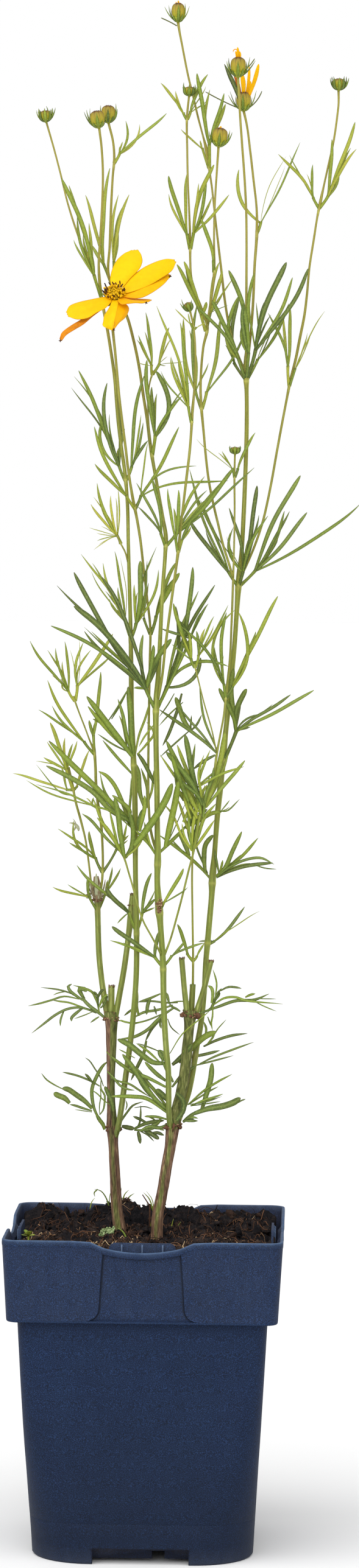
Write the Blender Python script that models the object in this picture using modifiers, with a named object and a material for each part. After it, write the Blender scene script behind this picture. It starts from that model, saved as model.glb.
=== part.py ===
"""Potted coreopsis: a square nursery pot with soil, two cut-back canes, green shoots,
divided leaves, flower buds, one opening flower and one open flower.
Metres, +Z up, origin at the middle of the pot's underside, front faces -Y."""
import bpy
import bmesh
import math
from mathutils import Matrix, Vector

MM = 0.001
# pot, all in mm
RIM_WIDTH = 110.0
POT_HEIGHT = 129.4
SKIRT_Z = 97.0
SKIRT_LOW_WIDTH = 106.3
BODY_TOP_WIDTH = 98.2
BASE_WIDTH = 88.0
WALL = 1.2
FLOOR = 1.6
NOTCH_WIDTH = 37.6
NOTCH_HEIGHT = 6.4
DIP_DEPTH = 4.0
PANEL_DEPTH = 0.6         # recess between the skirt's flaps, mm
TAB_HALF = 12.5
SOIL_LEVEL = 121.5
# plant
GAP = 0.3
STEM_SLACK = 0.22         # how far a left-out waypoint may lie off the line, mm
VIEW_X, VIEW_DIST, VIEW_Z = 64.0, 1770.0, 381.0

# stems: name -> list of runs of (x, depth, z, radius)
CANE_LEFT = [
    [(-10.5, 4, 102, 2.6), (-10.8, 4, 124, 2.5), (-12.2, 4, 135, 2.3), (-13.2, 3, 150, 2.1),
     (-14, 3, 163, 2.1), (-14.2, 3, 167, 2.5), (-14.6, 2.5, 172, 2.0), (-15, 2, 200, 2.0),
     (-15, 2, 208, 2.4), (-15, 2, 214, 3.0)],
    [(-16.3, 2.5, 211, 1.3), (-18.8, 3, 225, 1.15), (-20, 4.5, 235, 1.15), (-20.8, 6, 252, 1.15),
     (-21, 6.5, 257.5, 1.2), (-21, 6.5, 261, 2.0), (-21.6, 6.5, 268.4, 1.0)],
    [(-15.1, 1.6, 212, 1.3), (-15.1, 1.6, 224.5, 1.25)],
    [(-13.6, 1.2, 211, 1.2), (-12, 1, 220, 1.15), (-10, 2, 232, 1.15), (-8.4, 3, 245, 1.15),
     (-7.4, 4, 254, 1.4), (-7, 4, 261.5, 1.0)],
    [(-22, 7.5, 259.5, 0.6), (-23.6, 9, 266, 0.5), (-24.4, 10, 272, 0.5), (-26, 12, 283, 0.5),
     (-28, 13, 291, 0.6), (-30, 13, 298, 0.6), (-31.6, 12, 306, 0.6), (-33, 11, 312, 0.6)],
    [(-20.5, 5.5, 259.5, 0.6), (-19.4, 4, 265, 0.6), (-19, 3, 272, 0.6), (-19.2, 2, 281, 0.6),
     (-20, 0, 291, 0.7), (-21.2, -2, 298, 0.7), (-22, -3, 306, 0.7), (-22.3, -4, 313, 0.7),
     (-23, -4.5, 319, 0.65), (-24.3, -5, 322, 0.45), (-26.6, -6, 328, 0.4), (-29, -7, 334, 0.4),
     (-31.4, -8, 340.5, 0.45)],
]
CANE_RIGHT = [
    [(4, -6, 102, 2.5), (3.9, -6, 124, 2.4), (4.3, -6, 133, 2.3), (5.7, -6, 140, 2.2),
     (7.3, -5.5, 150, 2.2), (9.1, -5, 161, 2.3), (10, -5, 168, 2.7), (11, -5, 173, 2.3),
     (12.7, -4.5, 180, 2.1), (14.5, -4, 190, 2.1), (15.5, -4, 200, 2.1), (16.2, -4, 209, 2.1),
     (16.6, -4, 215, 3.0)],
    [(15.4, -4.8, 213, 1.2), (14.3, -5.3, 222, 1.1), (12.9, -6, 236, 1.1)],
    [(16.9, -3, 213, 1.2), (17.5, -2.5, 225.5, 1.15)],
    [(18.6, -4.4, 213, 1.2), (21.5, -4.4, 222, 1.1), (24.7, -4.4, 235, 1.1)],
    [(17.5, -2.5, 224.5, 0.6), (17.5, -2, 235, 0.55), (17.1, -1, 253, 0.5), (16.8, 0, 272, 0.5),
     (17.2, 1, 284, 0.45)],
]
SHOOT_LEFT = [
    [(-12, -0.3, 167.4, 1.1), (-10.8, -1.5, 175, 1.15), (-9.5, -2.5, 185, 1.15),
     (-6.5, -4, 210, 1.1), (-5.2, -5, 230, 1.1), (-5.3, -6, 249, 1.1), (-5.9, -6.5, 270, 1.0),
     (-6.1, -7, 285, 1.1), (-6.4, -7, 300, 1.1), (-7.1, -7, 316, 1.1), (-8, -7, 333, 1.05),
     (-8.3, -7, 350, 1.05), (-8.7, -6, 368, 1.0), (-9.3, -5, 385, 0.95), (-9.9, -4, 402, 0.9),
     (-10.4, -2, 418, 0.9), (-11.5, 0, 430, 0.95), (-13, 2, 440, 0.9), (-14.3, 3, 450, 0.9),
     (-15.2, 4, 460, 0.9), (-15.8, 5, 467, 0.9), (-17.3, 5, 477, 0.8), (-19, 5, 487, 0.8),
     (-20.6, 5, 495, 0.8), (-21.8, 5, 502, 0.85), (-22.6, 4.5, 512, 0.6), (-22, 4, 525, 0.55),
     (-21.4, 3, 538, 0.55), (-21.3, 2, 550, 0.55), (-22, 1, 560, 0.55), (-22.9, 0, 566.6, 0.6)],
    [(-21.9, 5, 501.5, 0.6), (-24, 6, 507, 0.5), (-28.2, 7, 517, 0.5), (-32, 8, 527, 0.5),
     (-35.5, 9, 538, 0.45), (-38, 9.5, 548, 0.45), (-40.7, 10, 558, 0.45), (-43.9, 10, 568.8, 0.5)],
    [(-9.9, -4.4, 394, 0.5), (-11, -6, 398, 0.4), (-13.4, -8, 402.5, 0.4), (-14.5, -9, 405, 0.5)],
]
SHOOT_MIDDLE = [
    [(8.5, -8.4, 171.4, 1.1), (8.2, -9, 180, 1.15), (8, -9.5, 190, 1.15), (7, -10, 200, 1.15),
     (6, -10, 215, 1.15), (5.4, -10.5, 235, 1.2), (4.4, -11, 248, 1.15), (3.6, -11.5, 257, 1.5),
     (2.9, -12, 266, 1.15), (3, -12, 277, 1.3), (2.7, -12, 288, 1.1), (2.4, -12, 305, 1.1),
     (1.9, -12, 322, 1.05), (1.8, -12, 338, 1.2), (2.6, -12, 350, 1.05), (3.2, -11, 365, 1.0),
     (3.9, -10, 382, 1.0), (4.9, -8, 398, 1.0), (5.1, -6, 404, 1.1), (3.8, -3, 412, 0.9),
     (1, 2, 427, 0.85), (-1.3, 5, 440, 0.9), (-2.8, 7, 451, 0.8), (-4.3, 8, 460, 0.75),
     (-6.2, 9, 472, 0.7), (-8.6, 10, 483, 0.7), (-11.6, 10.5, 493, 0.7), (-16, 10.5, 501, 0.7),
     (-18.6, 10, 508, 0.65), (-18.3, 9, 520, 0.6), (-17.9, 8, 535, 0.6), (-17.3, 7, 548, 0.55),
     (-16.8, 7.5, 554.5, 0.6), (-17.3, 8, 561, 0.55), (-19.2, 8.5, 568.6, 0.6)],
    [(4.8, -11.2, 237, 0.6), (3.3, -13, 240, 0.5), (0.5, -14.5, 245, 0.45), (-2.3, -15, 250, 0.45),
     (-4.6, -14.5, 256, 0.45), (-6.5, -14, 263, 0.45), (-8.6, -13, 270, 0.45),
     (-10.5, -12, 276, 0.5), (-13.4, -11, 281.5, 0.5)],
    [(6, -10.5, 237, 0.6), (8.2, -12, 243, 0.5), (10.7, -13.5, 252, 0.5), (13, -14, 261, 0.5),
     (15.6, -13, 272, 0.5), (17.6, -12, 280, 0.5), (19, -11, 289, 0.5), (20.5, -10, 296, 0.6),
     (22.3, -9, 300.5, 0.6), (24, -8.5, 305, 0.6), (25.3, -8, 311, 0.6), (26.3, -8, 318.5, 0.6),
     (27.4, -8, 325, 0.5), (28.8, -8, 333, 0.5), (29.8, -7, 343, 0.6), (31, -5.5, 355, 0.55),
     (31.6, -4, 370, 0.55), (32, -2, 385, 0.55), (32.3, 0, 400, 0.45), (32.4, 1, 415, 0.45),
     (32.2, 2, 429.5, 0.5), (32.3, 2, 437.6, 0.45)],
    [(26.1, -8.3, 318.6, 0.4), (24, -10, 328, 0.35), (21, -12, 338, 0.35), (18.9, -13.5, 346, 0.35),
     (16.9, -14.5, 353.8, 0.4)],
    [(2.6, -11.2, 278, 0.7), (0.3, -8, 286, 0.65), (-0.8, -5, 297, 0.6), (-1.1, -2, 310, 0.6),
     (-1.1, 0, 325, 0.6), (-1, 1, 340, 0.6), (-0.9, 2, 355, 0.6), (-0.8, 1.5, 368, 0.6),
     (-2.2, 0, 380, 0.6), (-3.7, -2, 392, 0.6), (-5.2, -3, 404, 0.65), (-6.8, -4, 413, 0.7),
     (-8, -5, 418.5, 0.75), (-9.2, -6, 425, 0.65), (-10.3, -7, 432, 0.65), (-11.3, -8, 440, 0.65),
     (-12.7, -9, 450, 0.65), (-14, -10, 460, 0.65), (-14.8, -10.5, 468, 0.65),
     (-15.8, -10, 478, 0.65), (-16.8, -9, 487, 0.7), (-17.4, -7, 495.5, 0.8)],
    [(2.6, -12.8, 340, 0.7), (4, -15.5, 348, 0.65), (5.2, -17.5, 360, 0.65), (6.4, -18.5, 370, 0.65),
     (7.8, -18.5, 381, 0.65), (9.1, -18, 391, 0.65), (10.2, -17, 400, 0.75), (11, -16, 409, 0.6),
     (12, -14.5, 418, 0.6), (13.1, -14, 428, 0.65), (14.2, -13, 438, 0.65), (14.9, -12, 448, 0.65),
     (15.1, -12, 453, 0.75), (15.8, -12, 462, 0.55), (16.2, -12, 472, 0.5), (16, -12, 482, 0.45),
     (15.2, -12, 489, 0.45), (14, -12, 494, 0.5)],
    [(32, -1.6, 388.5, 0.65), (30, -1, 395, 0.6), (28.2, 0, 400.5, 0.6), (25.8, 1, 410, 0.6),
     (23.6, 2, 419, 0.6), (22, 3, 427, 0.6), (20.8, 3, 436, 0.6), (19.8, 3, 446, 0.6),
     (18.7, 3, 457, 0.7), (18.4, 3, 462, 0.65), (18.5, 2.5, 470, 0.6), (19.3, 2, 480, 0.6),
     (20.7, 2, 489.5, 0.8), (19.2, 1.5, 493, 0.8), (17.8, 1, 497, 0.7), (15.6, 1, 502, 0.65),
     (14.2, 1, 508, 0.6), (13.8, 1, 514, 0.55), (13.7, 1, 521.5, 0.65), (13.3, 1, 532, 0.5),
     (12.6, 1, 545, 0.5), (12.2, 1, 558, 0.5), (12, 1, 571.5, 0.55), (12.7, 1, 579.4, 0.5)],
    [(20.8, 1.8, 489.5, 0.6), (21.8, 0, 496, 0.6), (22.8, -2, 503, 0.6), (23.4, -3, 512, 0.6),
     (23.2, -4, 521, 0.5), (23.3, -4, 535, 0.5), (24, -4, 549, 0.5), (24.6, -4, 559.4, 0.6)],
    [(-1.4, 5, 441, 0.45), (-2.2, 4, 450, 0.4), (-2.5, 3, 460, 0.4), (-1.6, 2, 467, 0.4),
     (-0.4, 1.5, 470.5, 0.5)],
]
SHOOT_RIGHT = [
    [(13, -1.5, 172.6, 1.1), (16, 0, 181, 1.1), (17.8, 1, 190, 1.1), (18.9, 2, 198, 1.15),
     (20.8, 3, 209, 1.1), (22, 4, 221, 1.05), (22.6, 5, 234, 1.1), (23.3, 6, 243, 1.15),
     (24, 6.5, 252, 1.15), (24.7, 7, 261, 1.15), (25, 8, 268.5, 1.4), (25.7, 8, 278, 1.05),
     (26.6, 8.5, 292, 1.1), (27.7, 9, 304, 1.2), (28.5, 9.5, 313, 1.2), (28.9, 10, 318, 1.3),
     (29.7, 10, 327, 1.05), (30.8, 10, 338, 1.05), (31.8, 10, 349, 1.05), (32.9, 10, 362, 1.0),
     (33.6, 10, 374, 1.0), (34.4, 10, 388, 1.3), (35.3, 9, 398, 0.95), (36, 8, 413, 0.95),
     (36.6, 7, 432, 0.9), (36.9, 6, 450, 0.9), (36.7, 5, 463, 0.9), (36.4, 5, 470.5, 1.2),
     (36.4, 4, 480, 0.6), (36.3, 3, 492, 0.6), (36.2, 2, 507, 0.6), (36.1, 1, 522, 0.55),
     (35.8, 0, 535, 0.55), (35, -1, 548, 0.55), (34, -2, 560, 0.55), (32.9, -3, 574, 0.55),
     (32.1, -4, 587, 0.6)],
    [(36.6, 5.5, 471, 0.7), (37.8, 6.5, 482, 0.65), (38.9, 7, 497, 0.65), (39.4, 7.5, 512, 0.65),
     (40.2, 8, 527, 0.7), (40, 8.5, 535, 0.55), (38.7, 9, 546, 0.55), (37.2, 9.5, 558, 0.55),
     (35.6, 9.5, 569, 0.55), (34.5, 9, 573.6, 0.65)],
    [(36, 6, 470.5, 0.65), (33.6, 8, 476, 0.55), (31.3, 9, 482, 0.55), (29.4, 10, 489, 0.6),
     (27.8, 10, 498, 0.6), (26.4, 10, 509, 0.6), (25, 9.5, 520, 0.55), (23.5, 9, 532, 0.5),
     (21.9, 8.5, 545, 0.5), (20.4, 8, 554, 0.6), (19.8, 8, 558.5, 0.8), (18.6, 8, 563, 0.5),
     (16.4, 8, 571, 0.5), (14.2, 8, 580, 0.5), (12.4, 8, 587, 0.5), (10.9, 7.5, 594, 0.5),
     (9.7, 7, 600, 0.5), (8.5, 6.5, 606, 0.6), (8.1, 6.5, 608.6, 0.7)],
    [(35.2, 10.5, 389, 0.7), (38, 13, 395, 0.6), (41, 15, 402.5, 0.6), (43.7, 16, 411, 0.6),
     (45.7, 17, 420, 0.6), (47.2, 18, 428, 0.6), (48.7, 19, 437, 0.6), (50.6, 20, 448, 0.6),
     (52.4, 20, 458, 0.6), (54.2, 20, 467.5, 0.7), (56, 19.5, 475, 0.7), (57.7, 19, 484, 0.7),
     (59.4, 18, 493, 0.65), (60.3, 17.5, 501, 0.6), (61.2, 17, 512, 0.55), (62.8, 16.5, 523, 0.55),
     (64.3, 16, 533, 0.55), (65.3, 16, 538, 0.75), (66.5, 16, 544, 0.5), (68.2, 16, 552, 0.5),
     (70.1, 16, 561, 0.5), (71.5, 16, 571, 0.5), (72.1, 16, 577.5, 0.5), (72, 16, 582, 0.6)],
]
STEMS = {"cane_left": CANE_LEFT, "cane_right": CANE_RIGHT, "shoot_left": SHOOT_LEFT,
         "shoot_middle": SHOOT_MIDDLE, "shoot_right": SHOOT_RIGHT}

# leaves: name -> (stem, run, z, [(hub x, z, depth step, tip depth step, fan, [(tip x, z, bow, width)])])
LEAVES = {
    "leaf_a1": ("cane_left", 0, 164.5, [
        (-20, 173, -2, -9, 12, [(-16.5, 193.5, 2, 2.2), (-34, 183, 0, 1.9), (-43, 189.5, 0, 0.9),
                                (-38, 181, 0, 1.3)]),
        (-5, 167.5, 5, 9, 8, [(7, 164, 0, 0.9), (5, 172, 0, 0.9)])]),
    "leaf_a2": ("cane_left", 0, 205, [
        (-26, 217, 2, 7, 16, [(-43.5, 223.5, 0, 1.2), (-48, 216, 0, 1.3), (-47, 205, -2, 1.4)])]),
    "leaf_b1": ("cane_right", 0, 165, [
        (15, 172.5, -5, -13, 14, [(36.5, 180, 0, 2.0), (25.5, 194, 0, 2.0), (30, 181.5, 0, 1.3)]),
        (5, 174, -8, -5, 4, [(-15, 181, 0, 1.3), (-5, 198, 0, 1.4), (-12, 203, 0, 0.9)])]),
    "leaf_b2": ("cane_right", 0, 207.5, [
        (4, 214, 5, 9, 8, [(-10, 211, 0, 1.3), (-9, 218, 0, 1.3), (8, 204, 0, 0.9)]),
        (27, 217.5, -5, -14, 14, [(51, 220, 0, 1.3), (26, 232, 0, 1.3)])]),
    "leaf_e1": ("shoot_right", 0, 196.5, [
        (24, 199, 3, 14, 14, [(39.5, 206, 0, 1.9), (31, 211, 0, 1.2)])]),
    "leaf_d1": ("shoot_middle", 0, 232.5, [
        (2, 236.5, 1.5, -1, 3, [(-15, 248.5, 0, 1.8), (-16, 242.5, 0, 0.9)]),
        (9, 237, 1.5, 2, 2, [(22, 242, 0, 0.9), (14, 243, 0, 1.0)])]),
    "leaf_c1": ("shoot_left", 0, 246.5, [
        (-8.5, 254.5, -2, -6, 8, [(-17.6, 263.8, 0, 2.0), (-29.5, 272.7, 0, 1.2), (-17.5, 261, 0, 1.2)]),
        (-3, 254, 0.5, 2, 4, [(0.5, 270, 0, 1.4), (2.4, 259.6, 0, 1.2)])]),
    "leaf_g1": ("cane_left", 1, 254.5, [
        (-24.5, 260.5, -3, -6, 6, [(-39, 264, 0, 0.9), (-25, 267.5, 0, 1.2)]),
        (-17.6, 262.5, 4, 6, 4, [(-12, 271.8, 0, 0.9), (-15.3, 272.3, 0, 0.9)])]),
    "leaf_j1": ("cane_left", 5, 270, [
        (-22, 276, 0, -5, 8, [(-24.5, 286.5, 0, 1.3), (-37.3, 287.2, 0, 0.9)]),
        (-13.5, 279.5, -1, 0, 3, [(-8.6, 285, 0, 0.9)])]),
    "leaf_p1": ("shoot_middle", 1, 279.5, [
        (-16, 284.5, -1, -7, 12, [(-37.9, 303.4, 0, 1.2), (-22.5, 299.8, 0, 1.4), (-13.8, 296.5, 0, 1.8)])]),
    "leaf_c2": ("shoot_left", 0, 281.5, [
        (-10.5, 292, 3, -6, 8, [(-42, 313, 0, 2.0), (-41.3, 322.5, 0, 1.9), (-20.7, 310.5, 0, 1.3),
                                (-15.2, 301.3, 0, 1.6)]),
        (-4, 289, 7, 9, 4, [(0.6, 304.3, 0, 1.6), (-2.8, 315.5, 0, 1.0)])]),
    "leaf_d3": ("shoot_middle", 0, 274.5, [
        (-4, 285.5, -4, -7, 5, [(-6.5, 290, 0, 1.6), (-10, 296, 0, 1.2)]),
        (7, 283, 5, 8, 3, [(31, 296.3, 0, 1.3), (11.3, 306, 0, 2.0)])]),
    "leaf_e3": ("shoot_right", 0, 265.5, [
        (19, 274.5, 3, 8, 6, [(4, 284.6, 0, 1.1), (25, 286, 3, 1.8)]),
        (28.8, 270.5, -2, -10, 12, [(36.8, 286.8, 0, 1.4), (51.2, 282.7, 1, 1.3), (53.8, 276.3, 1, 0.9)])]),
    "leaf_l1": ("shoot_middle", 2, 293.5, [
        (18.5, 300.5, -3, -9, 12, [(9, 318.5, 0, 1.9), (14.3, 326.7, 0, 1.7), (10, 307, 0, 1.4)]),
        (23.5, 299.5, 4, 3, 3, [(39.8, 318.6, 0, 1.4), (24, 312, 0, 1.0)])]),
    "leaf_m1": ("shoot_middle", 2, 315.5, [
        (22.8, 321.5, 3, 7, 10, [(9.8, 340.7, 0, 1.4), (3, 336.3, 0, 1.0), (21.2, 345.4, 1, 1.5),
                                 (17.3, 311.5, 0, 1.2)])]),
    "leaf_e4": ("shoot_right", 0, 314.5, [
        (34, 327.5, -4, -6, 14, [(32.3, 352.2, 0, 2.3), (38, 344, 1, 2.5), (26.6, 344.2, 0, 1.8),
                                 (55.6, 341.7, 1, 1.4), (64.6, 344, 0, 1.5)])]),
    "leaf_c3": ("shoot_left", 0, 313.5, [
        (-10, 320, -2, -6, 14, [(-26.6, 340.7, 0, 1.8), (-20, 335.3, 0, 1.2), (-19.8, 323.2, 0, 1.2),
                                (-16, 346.2, 1, 0.9)]),
        (-4.8, 320, 1.5, 1, 3, [(-0.5, 337.2, 0, 1.0), (1.2, 324.3, 0, 1.2)])]),
    "leaf_r1": ("cane_left", 5, 317.5, [
        (-23.2, 325, 4, 8, 4, [(-20.8, 350.4, 0, 1.3), (-24.9, 331, 0, 1.2)]),
        (-27, 322.5, -3, -9, 8, [(-42, 346.6, 0, 1.2), (-40, 336.5, 0, 1.0)])]),
    "leaf_q1": ("cane_left", 5, 338.6, [
        (-33.5, 343, -1, -7, 14, [(-49, 362.4, 0, 1.0), (-35.2, 362.3, 0, 1.0)]),
        (-29.8, 345, 1, 8, 8, [(-16, 365.7, 0, 1.4), (-27.6, 362, 1, 1.0)])]),
    "leaf_d4": ("shoot_middle", 0, 335.3, [
        (-2.5, 344, -3, -9, 18, [(-31.2, 376.7, 0, 2.4), (-31, 390.3, 0, 1.9), (-40.3, 369, 0, 1.5),
                                 (-38, 384.8, 0, 1.1), (0.3, 361.3, 0, 1.7), (7.4, 363.8, 0, 2.2),
                                 (-20.6, 388.3, 0, 1.7)]),
        (6, 345, 4, 0, 6, [(30.3, 353.2, 4, 1.3), (15.3, 392.6, -4, 1.9), (24.3, 385.7, 0, 1.4),
                           (9, 376.9, -2, 1.4)])]),
    "leaf_m4": ("shoot_middle", 2, 340.5, [
        (28.8, 346, -3.5, -12, 8, [(12, 369, 0, 1.1), (29.1, 374.5, 0, 1.3)]),
        (32.5, 345.5, 2, -4, 8, [(33.9, 374.7, -4, 1.3), (50.3, 381, -1, 1.5)])]),
    "leaf_c4": ("shoot_left", 0, 364, [
        (-11, 371, 3, 9, 12, [(-15.6, 398.4, 0, 1.0), (-28.8, 397.2, 0, 0.9)]),
        (-6.5, 370, 0, -1, 3, [(-5.2, 394.8, 0, 2.3), (2.5, 391.2, -1, 1.0)])]),
    "leaf_s0": ("shoot_middle", 4, 365.5, [
        (1.5, 373, -1, -3, 6, [(10.8, 390, 0, 1.9), (9.3, 394.4, 0, 1.5)]),
        (-3.5, 372, 4, 8, 2, [(-1.5, 386, 0, 0.9)])]),
    "leaf_s1": ("shoot_middle", 4, 415.5, [
        (-11, 421, -5, -12, 8, [(-23.4, 433.4, 0, 1.2), (-24.2, 448, 0, 1.3)]),
        (-5, 421, 1, 0, 4, [(9.8, 448.3, 0, 1.3), (29.7, 427, 3, 0.9)])]),
    "leaf_d5": ("shoot_middle", 0, 400.8, [
        (3, 406, -3, -6, 4, [(-0.9, 428.2, 0, 1.4), (-7.1, 425.7, 0, 1.0)]),
        (9, 405.5, -1, 0, 4, [(32, 432.3, 0, 1.7), (39.9, 432.5, 0, 0.9), (28.2, 428.3, 0, 1.3),
                              (20, 428.8, 0, 1.1)])]),
    "leaf_e5": ("shoot_right", 0, 384.8, [
        (30, 391, -3, -1, 4, [(14.3, 411.7, 0, 1.6), (13.8, 431.3, 0, 1.0)]),
        (36, 391, -4, -7, 4, [(40.8, 425.2, 1, 1.8), (45.4, 413.3, 0, 1.1), (30.2, 416.2, 0, 1.3)]),
        (41, 391.5, 3, 12, 10, [(82, 418.7, 0, 1.2), (58.3, 429.4, 0, 1.8), (49.4, 404.3, 0, 1.5),
                                (53.9, 415.2, -2, 1.2)])]),
    "leaf_c5": ("shoot_left", 0, 426.5, [
        (-14, 433, 3, 8, 10, [(-30, 470.5, -2, 1.4), (-19, 465.5, 4, 1.4), (-15.8, 465, 0, 1.4)]),
        (-8.8, 432.5, 0, -1, 2, [(-4.6, 468.5, 0, 1.4), (-2.2, 442.8, 0, 1.1)])]),
    "leaf_d6": ("shoot_middle", 0, 437, [
        (0.5, 445, -2, -6, 4, [(0.5, 470.3, -4, 2.0), (-3.3, 474.7, 0, 1.6), (11, 460.5, 0, 1.2)])]),
    "leaf_u2": ("shoot_middle", 5, 450, [
        (13.6, 456.5, -2, -8, 8, [(9.7, 489.7, 1, 1.2), (0.8, 496.3, 0, 0.9)])]),
    "leaf_v1": ("shoot_middle", 6, 455.5, [
        (16.2, 463, 3, 7, 4, [(11.3, 491.3, 1, 1.3), (16.4, 497.3, 0, 1.2)]),
        (20.8, 462.5, 2, 8, 6, [(37, 488.3, 0, 0.9), (25.9, 491.2, 0, 1.5)])]),
    "leaf_v2": ("shoot_middle", 6, 486.5, [
        (18.3, 493, -5, -12, 8, [(8.3, 512.7, 0, 1.5), (11.1, 513.9, 0, 1.6), (12.4, 512, 0, 1.5)]),
        (22, 494, 3, 2, 4, [(25.2, 513.7, 0, 1.3), (26.4, 510.7, 0, 1.5)])]),
    "leaf_z1": ("shoot_middle", 6, 519, [
        (12.4, 525, -2, -6, 6, [(5, 547.9, 0, 1.6), (12.2, 548.5, 0, 1.2)]),
        (15, 525.5, -3, -12, 2, [(22.6, 552.5, 0, 1.6), (28.8, 540.7, 0, 1.2)])]),
    "leaf_k1": ("cane_left", 4, 303, [
        (-34, 311.5, -3, -2, 12, [(-40.7, 329.8, 0, 1.5), (-29.8, 322.7, 0, 1.0)]),
        (-34, 303, 2, 8, 4, [(-55.3, 309.2, -1, 1.0), (-36, 312, 0, 0.9)])]),
    "leaf_e6": ("shoot_right", 0, 467, [
        (33.2, 476, -5, -11, 8, [(16.5, 496.3, 0, 1.4), (22.3, 498.3, 0, 1.8), (33.2, 500.3, 3, 1.5)]),
        (37.3, 478, -7, -11, 6, [(29.5, 510.7, 0, 1.8), (35, 497.5, 0, 1.5), (38.9, 509.6, 2, 1.5)]),
        (40.2, 479.5, -2, -4, 8, [(51.9, 514, 0, 2.3), (61, 511.3, 0, 1.7)])]),
    "leaf_x1": ("shoot_right", 3, 464.8, [
        (53, 473, -2, -6, 6, [(45, 493.7, 0, 1.1), (53.2, 496.8, 0, 1.3)])]),
    "leaf_y1": ("shoot_right", 3, 535.5, [
        (62.3, 539.8, -2, -6, 8, [(48.3, 556.7, 0, 1.1), (62.2, 552.7, 1, 1.0)]),
        (68.4, 540.5, -2, -8, 6, [(78.8, 569.5, -1, 1.5), (79.3, 558.9, 0, 1.1), (69.7, 562.7, -1, 1.3)])]),
    "leaf_c6": ("shoot_left", 0, 499, [
        (-24.5, 508.5, -3, -4, 6, [(-37.4, 546.7, 0, 1.7), (-35.1, 543.7, 0, 1.3),
                                   (-28.4, 524.5, 0, 1.1), (-26.4, 529, 1, 1.1)])]),
    "leaf_d7": ("shoot_middle", 0, 505, [
        (-20.8, 513, 3, 5, 4, [(-28.4, 539.9, -2, 1.2), (-18.6, 550.8, 0, 1.3)]),
        (-16.6, 514, 2, 5, 4, [(-11, 540.4, 0, 1.2), (-15.3, 540.3, 0, 1.0)])]),
    "leaf_w1": ("shoot_right", 2, 551, [
        (20.9, 560.5, -3, -6, 4, [(16.1, 588.5, -1, 1.6), (26.8, 580.6, 1, 1.3), (27.4, 576.3, 1, 1.4)])]),
}

# heads: name -> (x, depth, z of base, height, radius, sideways tilt, bract reach)
BUDS = {
    "bud_top": (8.1, 6.5, 608.9, 7.8, 3.1, 0.0, 2.0),
    "bud_yellow_tip": (32.1, -4, 587.3, 8.0, 3.1, 0.0, 2.2),
    "bud_pair_right": (-19.3, 8.5, 568.9, 7.2, 2.9, 0.0, 1.5),
    "bud_pair_left": (-23.1, 0, 566.9, 7.0, 3.1, -0.15, 2.4),
    "bud_far_left": (-44.1, 10, 569.1, 4.8, 2.6, -0.1, 1.6),
    "bud_centre": (24.7, -4, 559.7, 7.8, 3.2, 0.1, 1.8),
    "bud_far_right": (72.1, 16, 582.3, 4.8, 2.8, 0.0, 1.6),
    "bud_small_top": (12.9, 1, 579.7, 3.8, 2.5, 0.0, 1.0),
    "bud_small_middle": (13.85, -12, 494.5, 3.6, 1.9, -0.4, 0.8),
    "bud_small_low": (32.3, 2, 437.9, 3.0, 2.1, 0.0, 0.4),
}
OPENING = (34.4, 9, 573.9, 8.2, 3.0, 0.0, 1.4)
OPENING_PETALS = [(40, 591.5, -3), (36.4, 590.6, 2), (33.4, 587.6, -2), (30.4, 588, 3), (37.6, 586, 4)]
# open flower: centre, facing, petals as (tip x, tip z, widest, lift towards the face)
FLOWER = (-16.6, -8.0, 500.6)
FLOWER_FACE = (0.06, -0.72, 0.69)
PETALS = [(-9.5, 518.3, 11, 0), (7.5, 513.5, 9, 0), (4.5, 507.5, 9, -2), (-2, 499, 7, -1),
          (-11.5, 492.5, 7, -2), (-18.3, 487, 8, -1), (-35.5, 494, 9, 0), (-37, 483.5, 5, -4)]


def lay(x, y, z):
    """One laid-out point: a point set back by y keeps its place in the front view."""
    spread = y / VIEW_DIST
    return Vector((x + (x - VIEW_X) * spread, y, z + (z - VIEW_Z) * spread)) * MM


def collection(name, parent=None):
    coll = bpy.data.collections.new(name)
    (parent or bpy.context.scene.collection).children.link(coll)
    return coll


def material(name, color, rough):
    mat = bpy.data.materials.new(name)
    mat.use_nodes = True
    shader = mat.node_tree.nodes["Principled BSDF"]
    shader.inputs["Base Color"].default_value = (*color, 1.0)
    shader.inputs["Roughness"].default_value = rough
    mat.diffuse_color = (*color, 1.0)
    return mat


def to_object(bm, name, mat, coll):
    bmesh.ops.recalc_face_normals(bm, faces=bm.faces)
    mesh = bpy.data.meshes.new(name)
    bm.to_mesh(mesh)
    bm.free()
    obj = bpy.data.objects.new(name, mesh)
    coll.objects.link(obj)
    if mat:
        mesh.materials.append(mat)
    return obj


def tool_object(bm, name):
    obj = to_object(bm, name, None, tools)
    obj.hide_render = True
    obj.display_type = "WIRE"
    return obj


def boolean(obj, other, operation, own=False):
    mod = obj.modifiers.new(other.name, "BOOLEAN")
    mod.solver = "EXACT"
    mod.operation = operation
    mod.object = other
    mod.use_self = own
    return mod


def skin(bm, rings, loop=False):
    """Faces between matching rings of vertices, closed with end caps unless looped."""
    count = len(rings[0])
    pairs = list(zip(rings, rings[1:]))
    if loop:
        pairs.append((rings[-1], rings[0]))
    for low, high in pairs:
        for i in range(count):
            j = (i + 1) % count
            bm.faces.new((low[i], low[j], high[j], high[i]))
    if not loop:
        bm.faces.new(list(reversed(rings[0])))
        bm.faces.new(rings[-1])


def profile_curve(name, corners):
    """A small closed outline that is swept along stems or leaf lobes (unit radius)."""
    curve = bpy.data.curves.new(name, "CURVE")
    spline = curve.splines.new("POLY")
    spline.points.add(len(corners) - 1)
    for point, (x, y) in zip(spline.points, corners):
        point.co = (x * MM, y * MM, 0.0, 1.0)
    spline.use_cyclic_u = True
    obj = bpy.data.objects.new(name, curve)
    obj.hide_render = True
    obj.display_type = "WIRE"
    tools.objects.link(obj)
    return obj


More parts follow.
